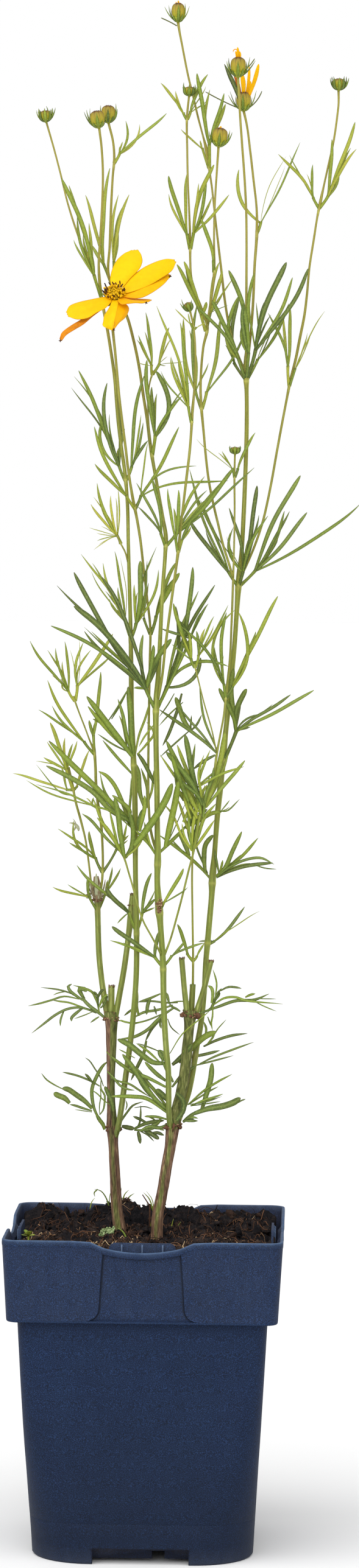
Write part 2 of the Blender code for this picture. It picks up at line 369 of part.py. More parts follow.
def polygon(sides):
    return [(math.cos(math.tau * k / sides), math.sin(math.tau * k / sides)) for k in range(sides)]


def sweep(runs, profile):
    """Closed tubes as one mesh: each run is a list of (point, radius in mm)."""
    curve = bpy.data.curves.new("sweep", "CURVE")
    curve.dimensions = "3D"
    curve.bevel_mode = "OBJECT"
    curve.bevel_object = profile
    curve.use_fill_caps = True
    for run in runs:
        spline = curve.splines.new("POLY")
        spline.points.add(len(run) - 1)
        for point, (place, radius) in zip(spline.points, run):
            point.co = (*place, 1.0)
            point.radius = radius
    obj = bpy.data.objects.new("sweep", curve)
    tools.objects.link(obj)
    graph = bpy.context.evaluated_depsgraph_get()
    mesh = bpy.data.meshes.new_from_object(obj.evaluated_get(graph))
    bm = bmesh.new()
    bm.from_mesh(mesh)
    bmesh.ops.remove_doubles(bm, verts=bm.verts, dist=0.000002)
    bpy.data.objects.remove(obj, do_unlink=True)
    bpy.data.meshes.remove(mesh)
    return bm


def turned(name, profile, steps, mat, coll):
    """A turned solid: (radius, height) in mm from the top down, spun by a Screw modifier."""
    mesh = bpy.data.meshes.new(name)
    verts = [(radius * MM, 0.0, height * MM) for radius, height in profile]
    mesh.from_pydata(verts, [(i, i + 1) for i in range(len(verts) - 1)], [])
    obj = bpy.data.objects.new(name, mesh)
    coll.objects.link(obj)
    mesh.materials.append(mat)
    screw = obj.modifiers.new("spin", "SCREW")
    screw.steps = steps
    screw.render_steps = steps
    screw.use_merge_vertices = True
    screw.merge_threshold = 0.00001
    return obj


def stem_point(stem, run, z):
    """Centre, direction and radius of a stem run where it reaches height z."""
    points = STEMS[stem][run]
    for low, high in zip(points, points[1:]):
        if low[2] <= z <= high[2]:
            part = (z - low[2]) / (high[2] - low[2])
            mixed = [a + (b - a) * part for a, b in zip(low, high)]
            ahead = (lay(*high[:3]) - lay(*low[:3])).normalized()
            return lay(*mixed[:3]), ahead, mixed[3]
    raise ValueError(stem)


def thinned(run):
    """Leaves out the waypoints that lie almost straight between their neighbours."""
    kept = [run[0]]
    for here, after in zip(run[1:-1], run[2:]):
        before = kept[-1]
        share = (here[2] - before[2]) / ((after[2] - before[2]) or 1.0)
        off = max(abs(here[i] - before[i] - (after[i] - before[i]) * share) for i in (0, 1, 3))
        if off > STEM_SLACK:
            kept.append(here)
    kept.append(run[-1])
    return kept


def build_stem(name, mat):
    """A stem with its side runs joined on."""
    runs = [[(lay(*p[:3]), p[3]) for p in thinned(run)] for run in STEMS[name]]
    obj = to_object(sweep(runs[:1], round_profile), name, mat, parts)
    thick = [run for run in runs[1:] if max(p[1] for p in run) > 0.8]
    thin = [run for run in runs[1:] if max(p[1] for p in run) <= 0.8]
    for label, group, profile in (("_stubs", thick, round_profile), ("_side_runs", thin, thin_profile)):
        if group:
            boolean(obj, tool_object(sweep(group, profile), name + label), "UNION", own=True)
    return obj


def lobe(start, tip, bow, width):
    """The run of one narrow leaf lobe, bowed in the plane seen from the front."""
    chord = tip - start
    across = Vector((-chord.z, 0.0, chord.x)).normalized()
    half = width * 0.62
    steps = [(0.0, max(0.45, half * 0.9)), (1.0, 0.3)]
    if width > 1.6 or abs(bow) > 0.5:
        steps = [(0.0, max(0.45, half * 0.65)), (0.55, half), (1.0, 0.24)]
    if abs(bow) > 3.0:
        steps = [(0.0, max(0.45, half * 0.65)), (0.33, half), (0.68, half * 0.95), (1.0, 0.24)]
    run = []
    for t, radius in steps:
        run.append((start + chord * t + across * (4.0 * t * (1.0 - t) * bow * MM), radius))
    return run


def build_leaf(name, mat):
    """A node's leaves: a collar round the stem, leaf stalks and their lobes."""
    stem, run, z, leaflets = LEAVES[name]
    centre, ahead, radius = stem_point(stem, run, z)
    depth = centre.y / MM
    reach = (radius + GAP + 0.62) * 1.06
    bpy.ops.mesh.primitive_torus_add(major_segments=10 if radius > 2.5 else 6, minor_segments=3,
                                     location=centre,
                                     rotation=ahead.to_track_quat("Z", "Y").to_euler(),
                                     major_radius=reach * MM, minor_radius=0.5 * MM)
    obj = bpy.context.object
    obj.name = name
    obj.data.name = name
    obj.data.materials.append(mat)
    for coll in list(obj.users_collection):
        coll.objects.unlink(obj)
    parts.objects.link(obj)
    stalks = []
    blades = []
    for hub_x, hub_z, hub_step, tip_step, fan, tips in leaflets:
        hub = lay(hub_x, depth + hub_step, hub_z)
        out = hub - centre
        out -= ahead * out.dot(ahead)
        out.normalize()
        root = centre + out * reach * MM
        mid = root.lerp(hub, 0.5) + out * 0.6 * MM
        end = hub + (hub - mid).normalized() * 0.5 * MM
        stalks.append([(root, 0.46), (mid, 0.55), (end, 0.6)])
        start = hub - (hub - mid).normalized() * 0.5 * MM
        for k, (tip_x, tip_z, bow, width) in enumerate(tips):
            share = k / max(len(tips) - 1, 1) - 0.5
            tip = lay(tip_x, depth + tip_step + fan * share, tip_z)
            blades.append(lobe(start, tip, bow, width))
    boolean(obj, tool_object(sweep(stalks + blades, blade_profile), name + "_blades"), "UNION", own=True)
    return obj


def build_bud(name, values, mat, petals=()):
    """A closed flower head: a turned cup with its outer bracts."""
    x, y, z, height, radius, tilt, reach = values
    base = lay(x, y, z)
    profile = [(0.0, height), (radius * 0.75, height * 0.92), (radius, height * 0.45),
               (radius * 0.72, height * 0.08), (0.0, 0.0)]
    obj = turned(name, profile, 7, mat, parts)
    obj.location = base
    obj.rotation_euler = (0.0, tilt, 0.0)
    axis = Vector((math.sin(tilt), 0.0, math.cos(tilt)))
    side = Vector((math.cos(tilt), 0.0, -math.sin(tilt)))
    other = axis.cross(side)
    runs = []
    for k in range(3):
        turn = math.tau * (k + 0.1) / 3
        out = side * math.cos(turn) + other * math.sin(turn)
        low = base + (out * radius * 0.6 + axis * height * 0.2) * MM
        runs.append([(low, 0.6), (base + (out * (radius + reach) + axis * height) * MM, 0.25)])
    for tip_x, tip_z, step in petals:
        start = base + axis * height * 0.8 * MM
        tip = lay(tip_x, y + step, tip_z)
        runs.append([(start, 1.0), (start.lerp(tip, 0.5), 1.2), (tip, 0.4)])
    boolean(obj, tool_object(sweep(runs, blade_profile), name + "_bracts"), "UNION", own=True)
    return obj


def build_flower(petal_mat, centre_mat):
    centre = lay(*FLOWER)
    face = Vector(FLOWER_FACE).normalized()
    profile = [(0.0, 8.2), (1.7, 8.2), (3.6, 7.2), (3.9, 5.6), (3.2, 5.0), (3.2, 3.2), (2.6, 1.2), (0.0, 0.0)]
    disc = turned("flower_disc", profile, 10, centre_mat, parts)
    disc.location = centre - face * 4.2 * MM
    disc.rotation_euler = face.to_track_quat("Z", "Y").to_euler()
    ring = bmesh.new()
    side = face.cross(Vector((0.0, 0.0, 1.0))).normalized()
    other = face.cross(side)
    rings = []
    for reach, rise in ((3.6, -0.8), (5.2, -0.8), (5.2, 0.5), (3.6, 0.5)):
        row = []
        for k in range(12):
            turn = math.tau * k / 12
            offset = side * math.cos(turn) + other * math.sin(turn)
            row.append(ring.verts.new(centre + (offset * reach + face * rise) * MM))
        rings.append(row)
    skin(ring, rings, loop=True)
    obj = to_object(ring, "flower_petals", petal_mat, parts)
    blades = bmesh.new()
    for tip_x, tip_z, widest, lift in PETALS:
        rise = (FLOWER_FACE[2] * (tip_z - FLOWER[2]) + FLOWER_FACE[0] * (tip_x - FLOWER[0]))
        tip = lay(tip_x, FLOWER[1] + rise / -FLOWER_FACE[1], tip_z) + face * lift * MM
        petal(blades, centre, tip, face, widest)
    boolean(obj, tool_object(blades, "petal_blades"), "UNION", own=True)


def petal(bm, centre, tip, face, widest):
    """One petal as a thin closed slab, narrow at the base and blunt at the tip."""
    chord = tip - centre
    along = chord.normalized()
    across = along.cross(face).normalized()
    start = centre + along * 4.3 * MM
    rings = []
    for t, share in ((0.0, 0.28), (0.3, 0.72), (0.65, 1.0), (0.9, 0.75), (1.0, 0.3)):
        point = start.lerp(tip, t)
        half = across * widest * 0.5 * share * MM
        thick = face * 0.3 * MM
        ring = [point - half - thick, point + half - thick, point + half + thick, point - half + thick]
        rings.append([bm.verts.new(v) for v in ring])
    skin(bm, rings)


def square_ring(bm, half, corner, z, steps=3):
    """A ring of vertices round a rounded square (mm)."""
    ring = []
    for quarter in range(4):
        turn = math.pi / 2 * quarter
        mid_x = (half - corner) * (1 if quarter in (0, 3) else -1)
        mid_y = (half - corner) * (1 if quarter in (0, 1) else -1)
        for k in range(steps + 1):
            angle = turn + math.pi / 2 * k / steps
            x = mid_x + corner * math.cos(angle)
            y = mid_y + corner * math.sin(angle)
            ring.append(bm.verts.new(Vector((x, y, z)) * MM))
    return ring


def block(bm, centre, size, taper=1.0, lean=0.0):
    """A box; taper narrows the top in x, lean moves the top outwards in -y."""
    made = bmesh.ops.create_cube(bm, size=1.0)
    for vert in made["verts"]:
        wide = size[0] * (taper if vert.co.z > 0 else 1.0)
        vert.co = Vector((centre[0] + vert.co.x * wide, centre[1] + vert.co.y * size[1] - lean * vert.co.z,
                          centre[2] + vert.co.z * size[2])) * MM


def plate(bm, outline, y_low, y_high):
    """A flat plate: an outline of (x, z), extruded from y_low to y_high (mm)."""
    curve = bpy.data.curves.new("plate", "CURVE")
    curve.dimensions = "2D"
    curve.fill_mode = "BOTH"
    curve.extrude = (y_high - y_low) / 2 * MM
    spline = curve.splines.new("POLY")
    spline.points.add(len(outline) - 1)
    for point, (x, z) in zip(spline.points, outline):
        point.co = (x * MM, z * MM, 0.0, 1.0)
    spline.use_cyclic_u = True
    obj = bpy.data.objects.new("plate", curve)
    tools.objects.link(obj)
    graph = bpy.context.evaluated_depsgraph_get()
    mesh = bpy.data.meshes.new_from_object(obj.evaluated_get(graph))
    upright = Matrix.Rotation(math.pi / 2, 4, "X")
    mesh.transform(Matrix.Translation((0.0, (y_low + y_high) / 2 * MM, 0.0)) @ upright)
    bm.from_mesh(mesh)
    bmesh.ops.remove_doubles(bm, verts=bm.verts, dist=0.000002)
    bpy.data.objects.remove(obj, do_unlink=True)
    bpy.data.meshes.remove(mesh)


def quarter_turns(bm):
    """Repeats everything in the mesh on the four sides of the pot."""
    base = list(bm.verts) + list(bm.edges) + list(bm.faces)
    for k in range(1, 4):
        made = bmesh.ops.duplicate(bm, geom=base)
        verts = [v for v in made["geom"] if isinstance(v, bmesh.types.BMVert)]
        turn = Matrix.Rotation(math.pi / 2 * k, 3, "Z")
        bmesh.ops.rotate(bm, verts=verts, cent=(0, 0, 0), matrix=turn)


def build_pot(mat):
    shell = bmesh.new()
    outside = [(BASE_WIDTH / 2, 22, 0.0), (BASE_WIDTH / 2 + 0.8, 15.5, 16), (45.9, 8, 37),
               (46.9, 5, 54), (BODY_TOP_WIDTH / 2, 4.5, SKIRT_Z),
               (SKIRT_LOW_WIDTH / 2, 4, SKIRT_Z), (RIM_WIDTH / 2, 3.4, POT_HEIGHT)]
    inside = [(RIM_WIDTH / 2 - WALL, 2.6, POT_HEIGHT), (SKIRT_LOW_WIDTH / 2 - WALL, 3, SKIRT_Z + WALL),
              (BODY_TOP_WIDTH / 2 - WALL, 3.6, SKIRT_Z + WALL), (45.7, 4, 54), (44.7, 7, 37),
              (BASE_WIDTH / 2 - 0.4, 14.5, 16), (BASE_WIDTH / 2 - WALL, 20, FLOOR + NOTCH_HEIGHT)]
    rings = [square_ring(shell, half, corner, z) for half, corner, z in outside + inside]
    skin(shell, rings)
    pot = to_object(shell, "pot", mat, parts)
    cuts = bmesh.new()
    wall_y = BASE_WIDTH / 2
    block(cuts, (0, -wall_y + 3.5, NOTCH_HEIGHT / 2 - 1), (NOTCH_WIDTH, 16, NOTCH_HEIGHT + 2), 0.96)
    dip = [(-20, POT_HEIGHT + 3), (-20, POT_HEIGHT - 0.02), (-15, POT_HEIGHT - 0.7),
           (-9, POT_HEIGHT - DIP_DEPTH * 0.75), (0, POT_HEIGHT - DIP_DEPTH),
           (9, POT_HEIGHT - DIP_DEPTH * 0.75), (15, POT_HEIGHT - 0.7), (20, POT_HEIGHT - 0.02),
           (20, POT_HEIGHT + 3)]
    plate(cuts, dip, -RIM_WIDTH / 2 - 2, -RIM_WIDTH / 2 + WALL + 1.2)
    slope = (RIM_WIDTH - SKIRT_LOW_WIDTH) / 2 / (POT_HEIGHT - SKIRT_Z)
    panel_z = (SKIRT_Z - 2 + POT_HEIGHT - 7.5) / 2
    panel_high = POT_HEIGHT - 7.5 - (SKIRT_Z - 2)
    face_y = -SKIRT_LOW_WIDTH / 2 - slope * (panel_z - SKIRT_Z)
    block(cuts, (0, face_y + PANEL_DEPTH - 2, panel_z), (34, 4, panel_high), 0.9, slope * panel_high)
    quarter_turns(cuts)
    boolean(pot, tool_object(cuts, "pot_cuts"), "DIFFERENCE", own=True)
    extras = bmesh.new()
    block(extras, (0, -50.4, 113.2), (TAB_HALF * 2, 0.9, 32.2), 0.9)
    for rib in (-8, 0, 8):
        block(extras, (rib, -51.3, 113.0), (0.8, 1.2, 30.0))
    quarter_turns(extras)
    boolean(pot, tool_object(extras, "pot_label_tabs"), "UNION", own=True)
    return pot


def build_soil(mat):
    body = bmesh.new()
    rows = [(42.2, 19, 9.0), (43.0, 13, 17), (44.1, 6, 38), (45.1, 4, 54), (47.4, 4, 98.7),
            (49.3, 5, 100.2), (49.3, 5, SOIL_LEVEL)]
    rings = [square_ring(body, half, corner, z) for half, corner, z in rows]
    skin(body, rings)
    soil = to_object(body, "soil", mat, parts)
    sockets = []
    for stem in ("cane_left", "cane_right"):
        run = STEMS[stem][0][:3]
        points = [lay(*p[:3]) for p in run]
        points[0].z -= GAP * MM
        sockets.append([(point, p[3] + GAP * 1.3) for point, p in zip(points, run)])
    boolean(soil, tool_object(sweep(sockets, round_profile), "cane_sockets"), "DIFFERENCE")
    return soil


def build_seedling(mat):
    base = Vector((-46.6, -22.0, SOIL_LEVEL + GAP)) * MM
    top = base + Vector((0.0, 0.0, 6.5)) * MM
    obj = to_object(sweep([[(base, 0.6), (top, 0.5)]], round_profile), "seedling", mat, parts)
    start = base + Vector((0.0, 0.0, 5.8)) * MM
    runs = []
    for x, z in ((-2.6, 3.8), (3.2, 2.4)):
        tip = start + Vector((x, 0.6, z)) * MM
        runs.append([(start, 0.5), (start.lerp(tip, 0.5), 0.9), (tip, 0.3)])
    boolean(obj, tool_object(sweep(runs, blade_profile), "seedling_blades"), "UNION", own=True)


for old in list(bpy.data.objects):
    bpy.data.objects.remove(old, do_unlink=True)
parts = collection("potted_coreopsis")
tools = collection("potted_coreopsis_tools")
tools.hide_render = True
round_profile = profile_curve("round_profile", polygon(6))
thin_profile = profile_curve("thin_profile", polygon(4))
blade_profile = profile_curve("blade_profile", [(-1.0, -0.35), (1.0, -0.35), (0.0, 0.75)])
pot_blue = material("pot_plastic", (0.02, 0.03, 0.08), 0.55)
soil_brown = material("peat", (0.05, 0.03, 0.02), 0.95)
cane_brown = material("cane", (0.16, 0.12, 0.05), 0.7)
stem_green = material("stem", (0.22, 0.32, 0.06), 0.5)
leaf_green = material("leaf", (0.12, 0.24, 0.04), 0.5)
bud_green = material("bud", (0.4, 0.38, 0.06), 0.5)
petal_yellow = material("petal", (0.95, 0.6, 0.0), 0.5)
disc_orange = material("disc", (0.6, 0.35, 0.02), 0.7)

build_pot(pot_blue)
build_soil(soil_brown)
build_seedling(leaf_green)
for stem_name in STEMS:
    build_stem(stem_name, cane_brown if "cane" in stem_name else stem_green)
for leaf_name in LEAVES:
    build_leaf(leaf_name, leaf_green)
for bud_name, bud_values in BUDS.items():
    build_bud(bud_name, bud_values, bud_green)
build_bud("flower_opening", OPENING, bud_green, OPENING_PETALS)
build_flower(petal_yellow, disc_orange)
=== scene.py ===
import math
import random

import bmesh
import bpy
import numpy as np
from mathutils import Matrix, Vector, noise


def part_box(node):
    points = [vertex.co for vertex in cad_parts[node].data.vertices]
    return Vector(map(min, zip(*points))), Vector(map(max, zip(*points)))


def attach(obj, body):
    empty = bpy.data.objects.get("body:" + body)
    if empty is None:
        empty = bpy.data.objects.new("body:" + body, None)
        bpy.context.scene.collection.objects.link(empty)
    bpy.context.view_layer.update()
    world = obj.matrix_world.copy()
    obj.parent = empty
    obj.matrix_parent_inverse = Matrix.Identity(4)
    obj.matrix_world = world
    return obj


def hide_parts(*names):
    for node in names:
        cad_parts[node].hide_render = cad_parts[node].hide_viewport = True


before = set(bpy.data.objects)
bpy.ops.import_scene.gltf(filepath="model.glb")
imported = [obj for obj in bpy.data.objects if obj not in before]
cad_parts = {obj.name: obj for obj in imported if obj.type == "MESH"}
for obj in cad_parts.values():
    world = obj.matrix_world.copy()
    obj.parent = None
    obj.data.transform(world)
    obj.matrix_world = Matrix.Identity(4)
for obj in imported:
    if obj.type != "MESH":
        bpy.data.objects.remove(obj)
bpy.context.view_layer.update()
mm = 0.001
tau = math.tau

# the viewpoint, and the sight line that depth is laid out along
view = {
    "place": (0.0638, -1.770, 0.3812),
    "turn": 1.696,
    "down": 2.439,
    "roll": 0.52,
    "lens": 101.7,
    "sightX": 64.0,
    "sightZ": 381.0,
    "distance": 1770.0,
}


def lay(x, y, z):  # a point in mm; set back by y, it keeps its place in the front view
    spread = y / view["distance"]
    return Vector((x + (x - view["sightX"]) * spread, y, z + (z - view["sightZ"]) * spread)) * mm


brightness = 0.86  # how much darker a surface is painted, so that it looks right under this light


def paint(red, green, blue):
    linear = [((c / 255 + 0.055) / 1.055) ** 2.4 if c > 10 else c / 255 / 12.92 for c in (red, green, blue)]
    return (*[c * brightness for c in linear], 1.0)


class Field:  # one shader socket, so that shader maths reads as an expression
    def __init__(self, finish, socket):
        self.finish = finish
        self.socket = socket

    def combine(self, operation, first, second):
        made = self.finish.node("ShaderNodeMath", {"operation": operation}, {0: first, 1: second})
        return Field(self.finish, made.outputs[0])

    def __add__(self, other):
        return self.combine("ADD", self, other)

    def __radd__(self, other):
        return self.combine("ADD", other, self)

    def __sub__(self, other):
        return self.combine("SUBTRACT", self, other)

    def __rsub__(self, other):
        return self.combine("SUBTRACT", other, self)

    def __mul__(self, other):
        return self.combine("MULTIPLY", self, other)

    def __rmul__(self, other):
        return self.combine("MULTIPLY", other, self)

    def __pow__(self, other):
        return self.combine("POWER", self, other)

    def clamp(self):
        made = self.finish.node("ShaderNodeMath", {"operation": "ADD", "use_clamp": True}, {0: self, 1: 0.0})
        return Field(self.finish, made.outputs[0])


class Finish:  # a Principled material and the few helpers that its nodes are made with
    def __init__(self, name, rough, gloss, through=0.0):
        self.material = bpy.data.materials.new(name)
        self.material.use_nodes = True
        self.tree = self.material.node_tree
        self.shader = self.tree.nodes["Principled BSDF"]
        self.shader.inputs["Roughness"].default_value = rough
        self.shader.inputs["Subsurface Weight"].default_value = through
        self.shader.inputs["Specular IOR Level"].default_value = gloss

    def feed(self, socket, value):
        if isinstance(value, Field):
            self.tree.links.new(value.socket, socket)
        elif isinstance(value, bpy.types.NodeSocket):
            self.tree.links.new(value, socket)
        else:
            socket.default_value = value

    def node(self, kind, settings=None, inputs=None):
        made = self.tree.nodes.new(kind)
        for key, value in (settings or {}).items():
            if key == "stops":
                ramp = made.color_ramp
                while len(ramp.elements) < len(value):
                    ramp.elements.new(0.5)
                for element, (place, *shade) in zip(ramp.elements, value):
                    element.position = place
                    element.color = paint(*shade)
            else:
                setattr(made, key, value)
        for key, value in (inputs or {}).items():
            self.feed(made.inputs[key], value)
        return made

    def place(self, stretch=(1.0, 1.0, 1.0)):
        coordinates = self.node("ShaderNodeTexCoord").outputs["Object"]
        mapped = self.node("ShaderNodeMapping", {}, {"Vector": coordinates, "Scale": stretch})
        return mapped.outputs["Vector"]

    def grain(self, scale, detail=3.0, stretch=(1.0, 1.0, 1.0), twist=0.0):
        made = self.node("ShaderNodeTexNoise", {}, {"Vector": self.place(stretch), "Scale": scale,
                                                    "Detail": detail, "Distortion": twist})
        return Field(self, made.outputs["Fac"])

    def tint(self):
        made = self.node("ShaderNodeAttribute", {"attribute_name": "tint"})
        split = self.node("ShaderNodeSeparateColor", {}, {"Color": made.outputs["Color"]})
        fields = [Field(self, split.outputs[k]) for k in range(3)]
        return (*fields, Field(self, made.outputs["Alpha"]))

    def ramp(self, field, stops):
        made = self.node("ShaderNodeValToRGB", {"stops": stops}, {"Fac": field})
        return made.outputs["Color"]

    def mix(self, share, first, shade):  # lays a colour over the first one
        made = self.node("ShaderNodeMix", {"data_type": "RGBA"},
                         {"Factor": share, 6: first, 7: paint(*shade) if isinstance(shade, tuple) else shade})
        return made.outputs[2]

    def bump(self, height, depth, strength=1.0):
        made = self.node("ShaderNodeBump", {}, {"Height": height, "Distance": depth, "Strength": strength})
        self.feed(self.shader.inputs["Normal"], made.outputs["Normal"])

    def color(self, value):
        self.feed(self.shader.inputs["Base Color"], value)
        return self.material

    def rough(self, value):
        self.feed(self.shader.inputs["Roughness"], value)


def potPlastic():
    look = Finish("potPlastic", 0.5, 0.14)
    wearAndHighlight, dust, shade = look.tint()[:3]
    speck = look.grain(2900, 2.0)
    broad = look.grain(45, 4.0)
    scuff = look.grain(240, 5.0, (1.0, 1.0, 0.35), 0.6)
    navy = look.ramp(speck * 0.92 + broad * 0.08,
                     [(0.34, 4, 12, 30), (0.46, 13, 30, 59), (0.56, 20, 39, 72),
                      (0.68, 40, 64, 106)])
    # painted shade: the shade channel darkens the flap cracks, the lower body, the foot notches and the
    # bead's underside
    paintedShade = look.mix((shade * 0.9).clamp(), navy, (7, 11, 22))
    # rims, edges and rib faces are lightened: partly wear, partly painted highlight
    wornAndHighlit = look.mix((wearAndHighlight * (0.2 + scuff)).clamp(), paintedShade, (96, 122, 158))
    dusty = look.mix((dust * (0.2 + scuff)).clamp(), wornAndHighlit, (104, 92, 80))
    look.rough(0.48 + speck * 0.2)
    look.bump(speck, 0.00016, 0.7)
    return look.color(dusty)


def peatFinish():
    look = Finish("peat", 0.95, 0.1)
    light, strand = look.tint()[:2]
    coarse = look.grain(230, 5.0, twist=0.8)
    fine = look.grain(1000, 4.0, twist=1.5)
    dark = look.ramp(coarse * 0.5 + fine * 0.42 + light * 0.16 - 0.04,
                     [(0.34, 16, 16, 19), (0.48, 34, 31, 33), (0.62, 62, 51, 46),
                      (0.74, 98, 79, 66), (0.88, 134, 108, 88)])
    red = look.mix((strand * 0.5).clamp(), dark, (84, 62, 50))
    look.bump(coarse * 0.6 + fine * 0.4, 0.0014, 1.0)
    return look.color(red)


def fibreFinish():
    look = Finish("peatFibre", 0.85, 0.15)
    light = look.tint()[0]
    fine = look.grain(1500, 3.0)
    body = look.ramp(light * 0.9 + fine * 0.2 - 0.04,
                     [(0.05, 26, 19, 16), (0.35, 66, 45, 33), (0.6, 108, 76, 56),
                      (0.82, 150, 116, 86), (1.0, 206, 180, 140)])
    look.bump(fine, 0.0002, 0.5)
    return look.color(body)


def stemFinish():
    look = Finish("stem", 0.45, 0.3, through=0.04)
    age, _, knot, crest = look.tint()
    streak = look.grain(800, 4.0, (1.0, 1.0, 0.06))
    speck = look.grain(900, 3.0)
    body = look.ramp(age, [(0.0, 128, 97, 78), (0.16, 146, 122, 92), (0.3, 122, 126, 74),
                           (0.48, 125, 142, 54), (0.68, 140, 148, 52), (0.86, 152, 148, 54),
                           (1.0, 168, 156, 62)])
    # painted shade in the grooves between the ridges
    grooveShade = look.mix(((1.0 - crest) * 0.7 - streak * 0.4).clamp(), body, (88, 98, 46))
    fine = look.grain(1900, 3.0, (1.0, 1.0, 0.3))
    dark = look.mix(((0.47 - streak) * 5.0).clamp() * (0.62 - age * 0.4), grooveShade, (84, 82, 44))
    # pale streaks on the crests: real streaks, with a painted highlight on the crests
    pale = look.mix(((streak - 0.5) * 4.0).clamp() * crest * (0.8 - age * 0.5), dark, (206, 210, 128))
    pale = look.mix(((0.5 - fine) * 4.0).clamp() * (0.6 - age * 0.4), pale, (72, 82, 36))
    knotty = look.mix((knot * (0.5 - age) * 4.0 * (0.5 + speck)).clamp(), pale, (112, 84, 60))
    fresh = look.mix((knot ** 3 * (age - 0.15) * (0.4 + streak * 1.2)).clamp(), knotty, (200, 198, 104))
    look.rough(0.4 + streak * 0.2)
    look.bump(streak * 0.6 + fine * 0.4, 0.0003, 0.9)
    return look.color(fresh)


def barkFinish():
    look = Finish("caneBark", 0.75, 0.15)
    age, _, knot = look.tint()[:3]
    crack = look.grain(2300, 6.0, (1.0, 1.0, 0.09), 0.3)
    broad = look.grain(500, 3.0, (1.0, 1.0, 0.12))
    fleck = look.grain(1500, 3.0, (1.0, 1.0, 0.6))
    brown = look.ramp(crack * 0.7 + broad * 0.3,
                      [(0.32, 60, 42, 36), (0.44, 100, 74, 58), (0.54, 130, 100, 78),
                       (0.68, 178, 148, 118)])
    green = look.ramp(crack * 0.7 + broad * 0.3,
                      [(0.32, 52, 54, 30), (0.45, 90, 96, 50), (0.56, 124, 130, 70),
                       (0.7, 176, 170, 114)])
    mask = ((age * 2.4 + broad * 0.9 - 1.05) * 2.6).clamp()
    blend = look.mix(mask, brown, green)
    knotty = look.mix((knot * 0.8).clamp(), blend, (92, 64, 54))
    flecked = look.mix(((fleck - 0.6) * 6.0).clamp() * 0.5, knotty, (66, 46, 40))
    look.bump(crack * 0.8 + fleck * 0.2, 0.0007, 1.0)
    return look.color(flecked)


def leafFinish():
    look = Finish("leaf", 0.45, 0.25, through=0.05)
    tone, along, edge, chance = look.tint()
    vein = look.grain(900, 3.0, (1.0, 1.0, 0.25))
    soft = look.grain(140, 3.0)
    level = tone * 0.75 + chance * 0.42 + soft * 0.4 - 0.3
    body = look.ramp(level, [(0.0, 52, 72, 32), (0.25, 82, 106, 38), (0.5, 118, 140, 34),
                             (0.75, 154, 164, 40), (1.0, 190, 186, 58)])
    speck = look.grain(1700, 3.0, (1.0, 1.0, 0.7))
    pale = look.mix(((speck - 0.5) * 2.6).clamp() * 0.34, body, (186, 200, 110))
    dappled = look.mix(((0.5 - speck) * 3.2).clamp() * 0.38, pale, (58, 72, 28))
    ribbed = look.mix((1.0 - edge * 2.6).clamp() * 0.3, dappled, (172, 184, 92))
    # darker rims: painted shade along the leaf edges
    rimmed = look.mix(((edge - 0.55) * 3.0).clamp() * 0.6, ribbed, (62, 66, 30))
    tipped = look.mix(((along - 0.93) * 12.0).clamp() * 0.7, rimmed, (86, 66, 48))
    look.rough(0.4 + vein * 0.18)
    look.bump(vein, 0.00012, 0.6)
    return look.color(tipped)


def witheredFinish():
    look = Finish("witheredLeaf", 0.75, 0.2)
    tone = look.tint()[0]
    fine = look.grain(700, 4.0)
    body = look.ramp(fine * 0.6 + tone * 0.5 + 0.12,
                     [(0.2, 86, 66, 50), (0.5, 134, 116, 84), (0.85, 178, 182, 146)])
    look.bump(fine, 0.0002, 0.6)
    return look.color(body)


def budFinish():
    look = Finish("budScale", 0.5, 0.25, through=0.05)
    height, seam, rim = look.tint()[:3]
    fine = look.grain(900, 4.0)
    streak = look.grain(800, 3.0, (1.0, 1.0, 0.2))
    panel = look.ramp(height + fine * 0.12 - 0.06,
                      [(0.0, 116, 136, 20), (0.18, 158, 164, 28), (0.34, 170, 162, 38),
                       (0.6, 172, 154, 48), (0.85, 146, 128, 46), (1.0, 112, 84, 42)])
    streaky = look.mix(((streak - 0.5) * 3.0).clamp() * 0.4, panel, (128, 124, 44))
    seamed = look.mix((seam * (height * 1.1)).clamp() * 0.75, streaky, (104, 88, 42))
    rimmed = look.mix((rim * (0.4 + fine)).clamp(), seamed, (88, 54, 38))
    look.bump(fine, 0.00012, 0.5)
    return look.color(rimmed)


def petalFinish():
    look = Finish("petal", 0.55, 0.12, through=0.06)
    deep, along, edge = look.tint()[:3]
    vein = look.grain(420, 4.0, (1.0, 1.0, 1.0), 0.5)
    # deeper orange at the base and along the veins: partly the petal's own colour, partly painted shade
    level = deep + vein * 0.34 - 0.17 + (1.0 - along) * 0.12
    body = look.ramp(level, [(0.0, 255, 204, 0), (0.3, 254, 186, 0), (0.6, 246, 162, 0),
                             (0.85, 218, 128, 10), (1.0, 182, 92, 18)])
    rim = look.mix(((edge - 0.88) * 8.0).clamp() * 0.6, body, (196, 104, 20))
    look.bump(vein, 0.00012, 0.5)
    return look.color(rim)


def floretFinish():
    look = Finish("floret", 0.6, 0.2, through=0.03)
    level = look.tint()[0]
    fine = look.grain(1500, 3.0)
    body = look.ramp(level * 0.92 + fine * 0.08,
                     [(0.0, 70, 74, 14), (0.25, 150, 128, 12), (0.5, 232, 180, 2),
                      (0.72, 252, 198, 2), (0.84, 196, 120, 16), (0.93, 44, 22, 14),
                      (1.0, 24, 14, 12)])
    look.bump(fine, 0.0001, 0.5)
    return look.color(body)


def charFinish():
    look = Finish("witheredTip", 0.8, 0.1)
    fine = look.grain(1500, 3.0)
    look.bump(fine, 0.0002, 0.6)
    return look.color(look.ramp(fine, [(0.3, 40, 24, 16), (0.7, 108, 66, 36)]))


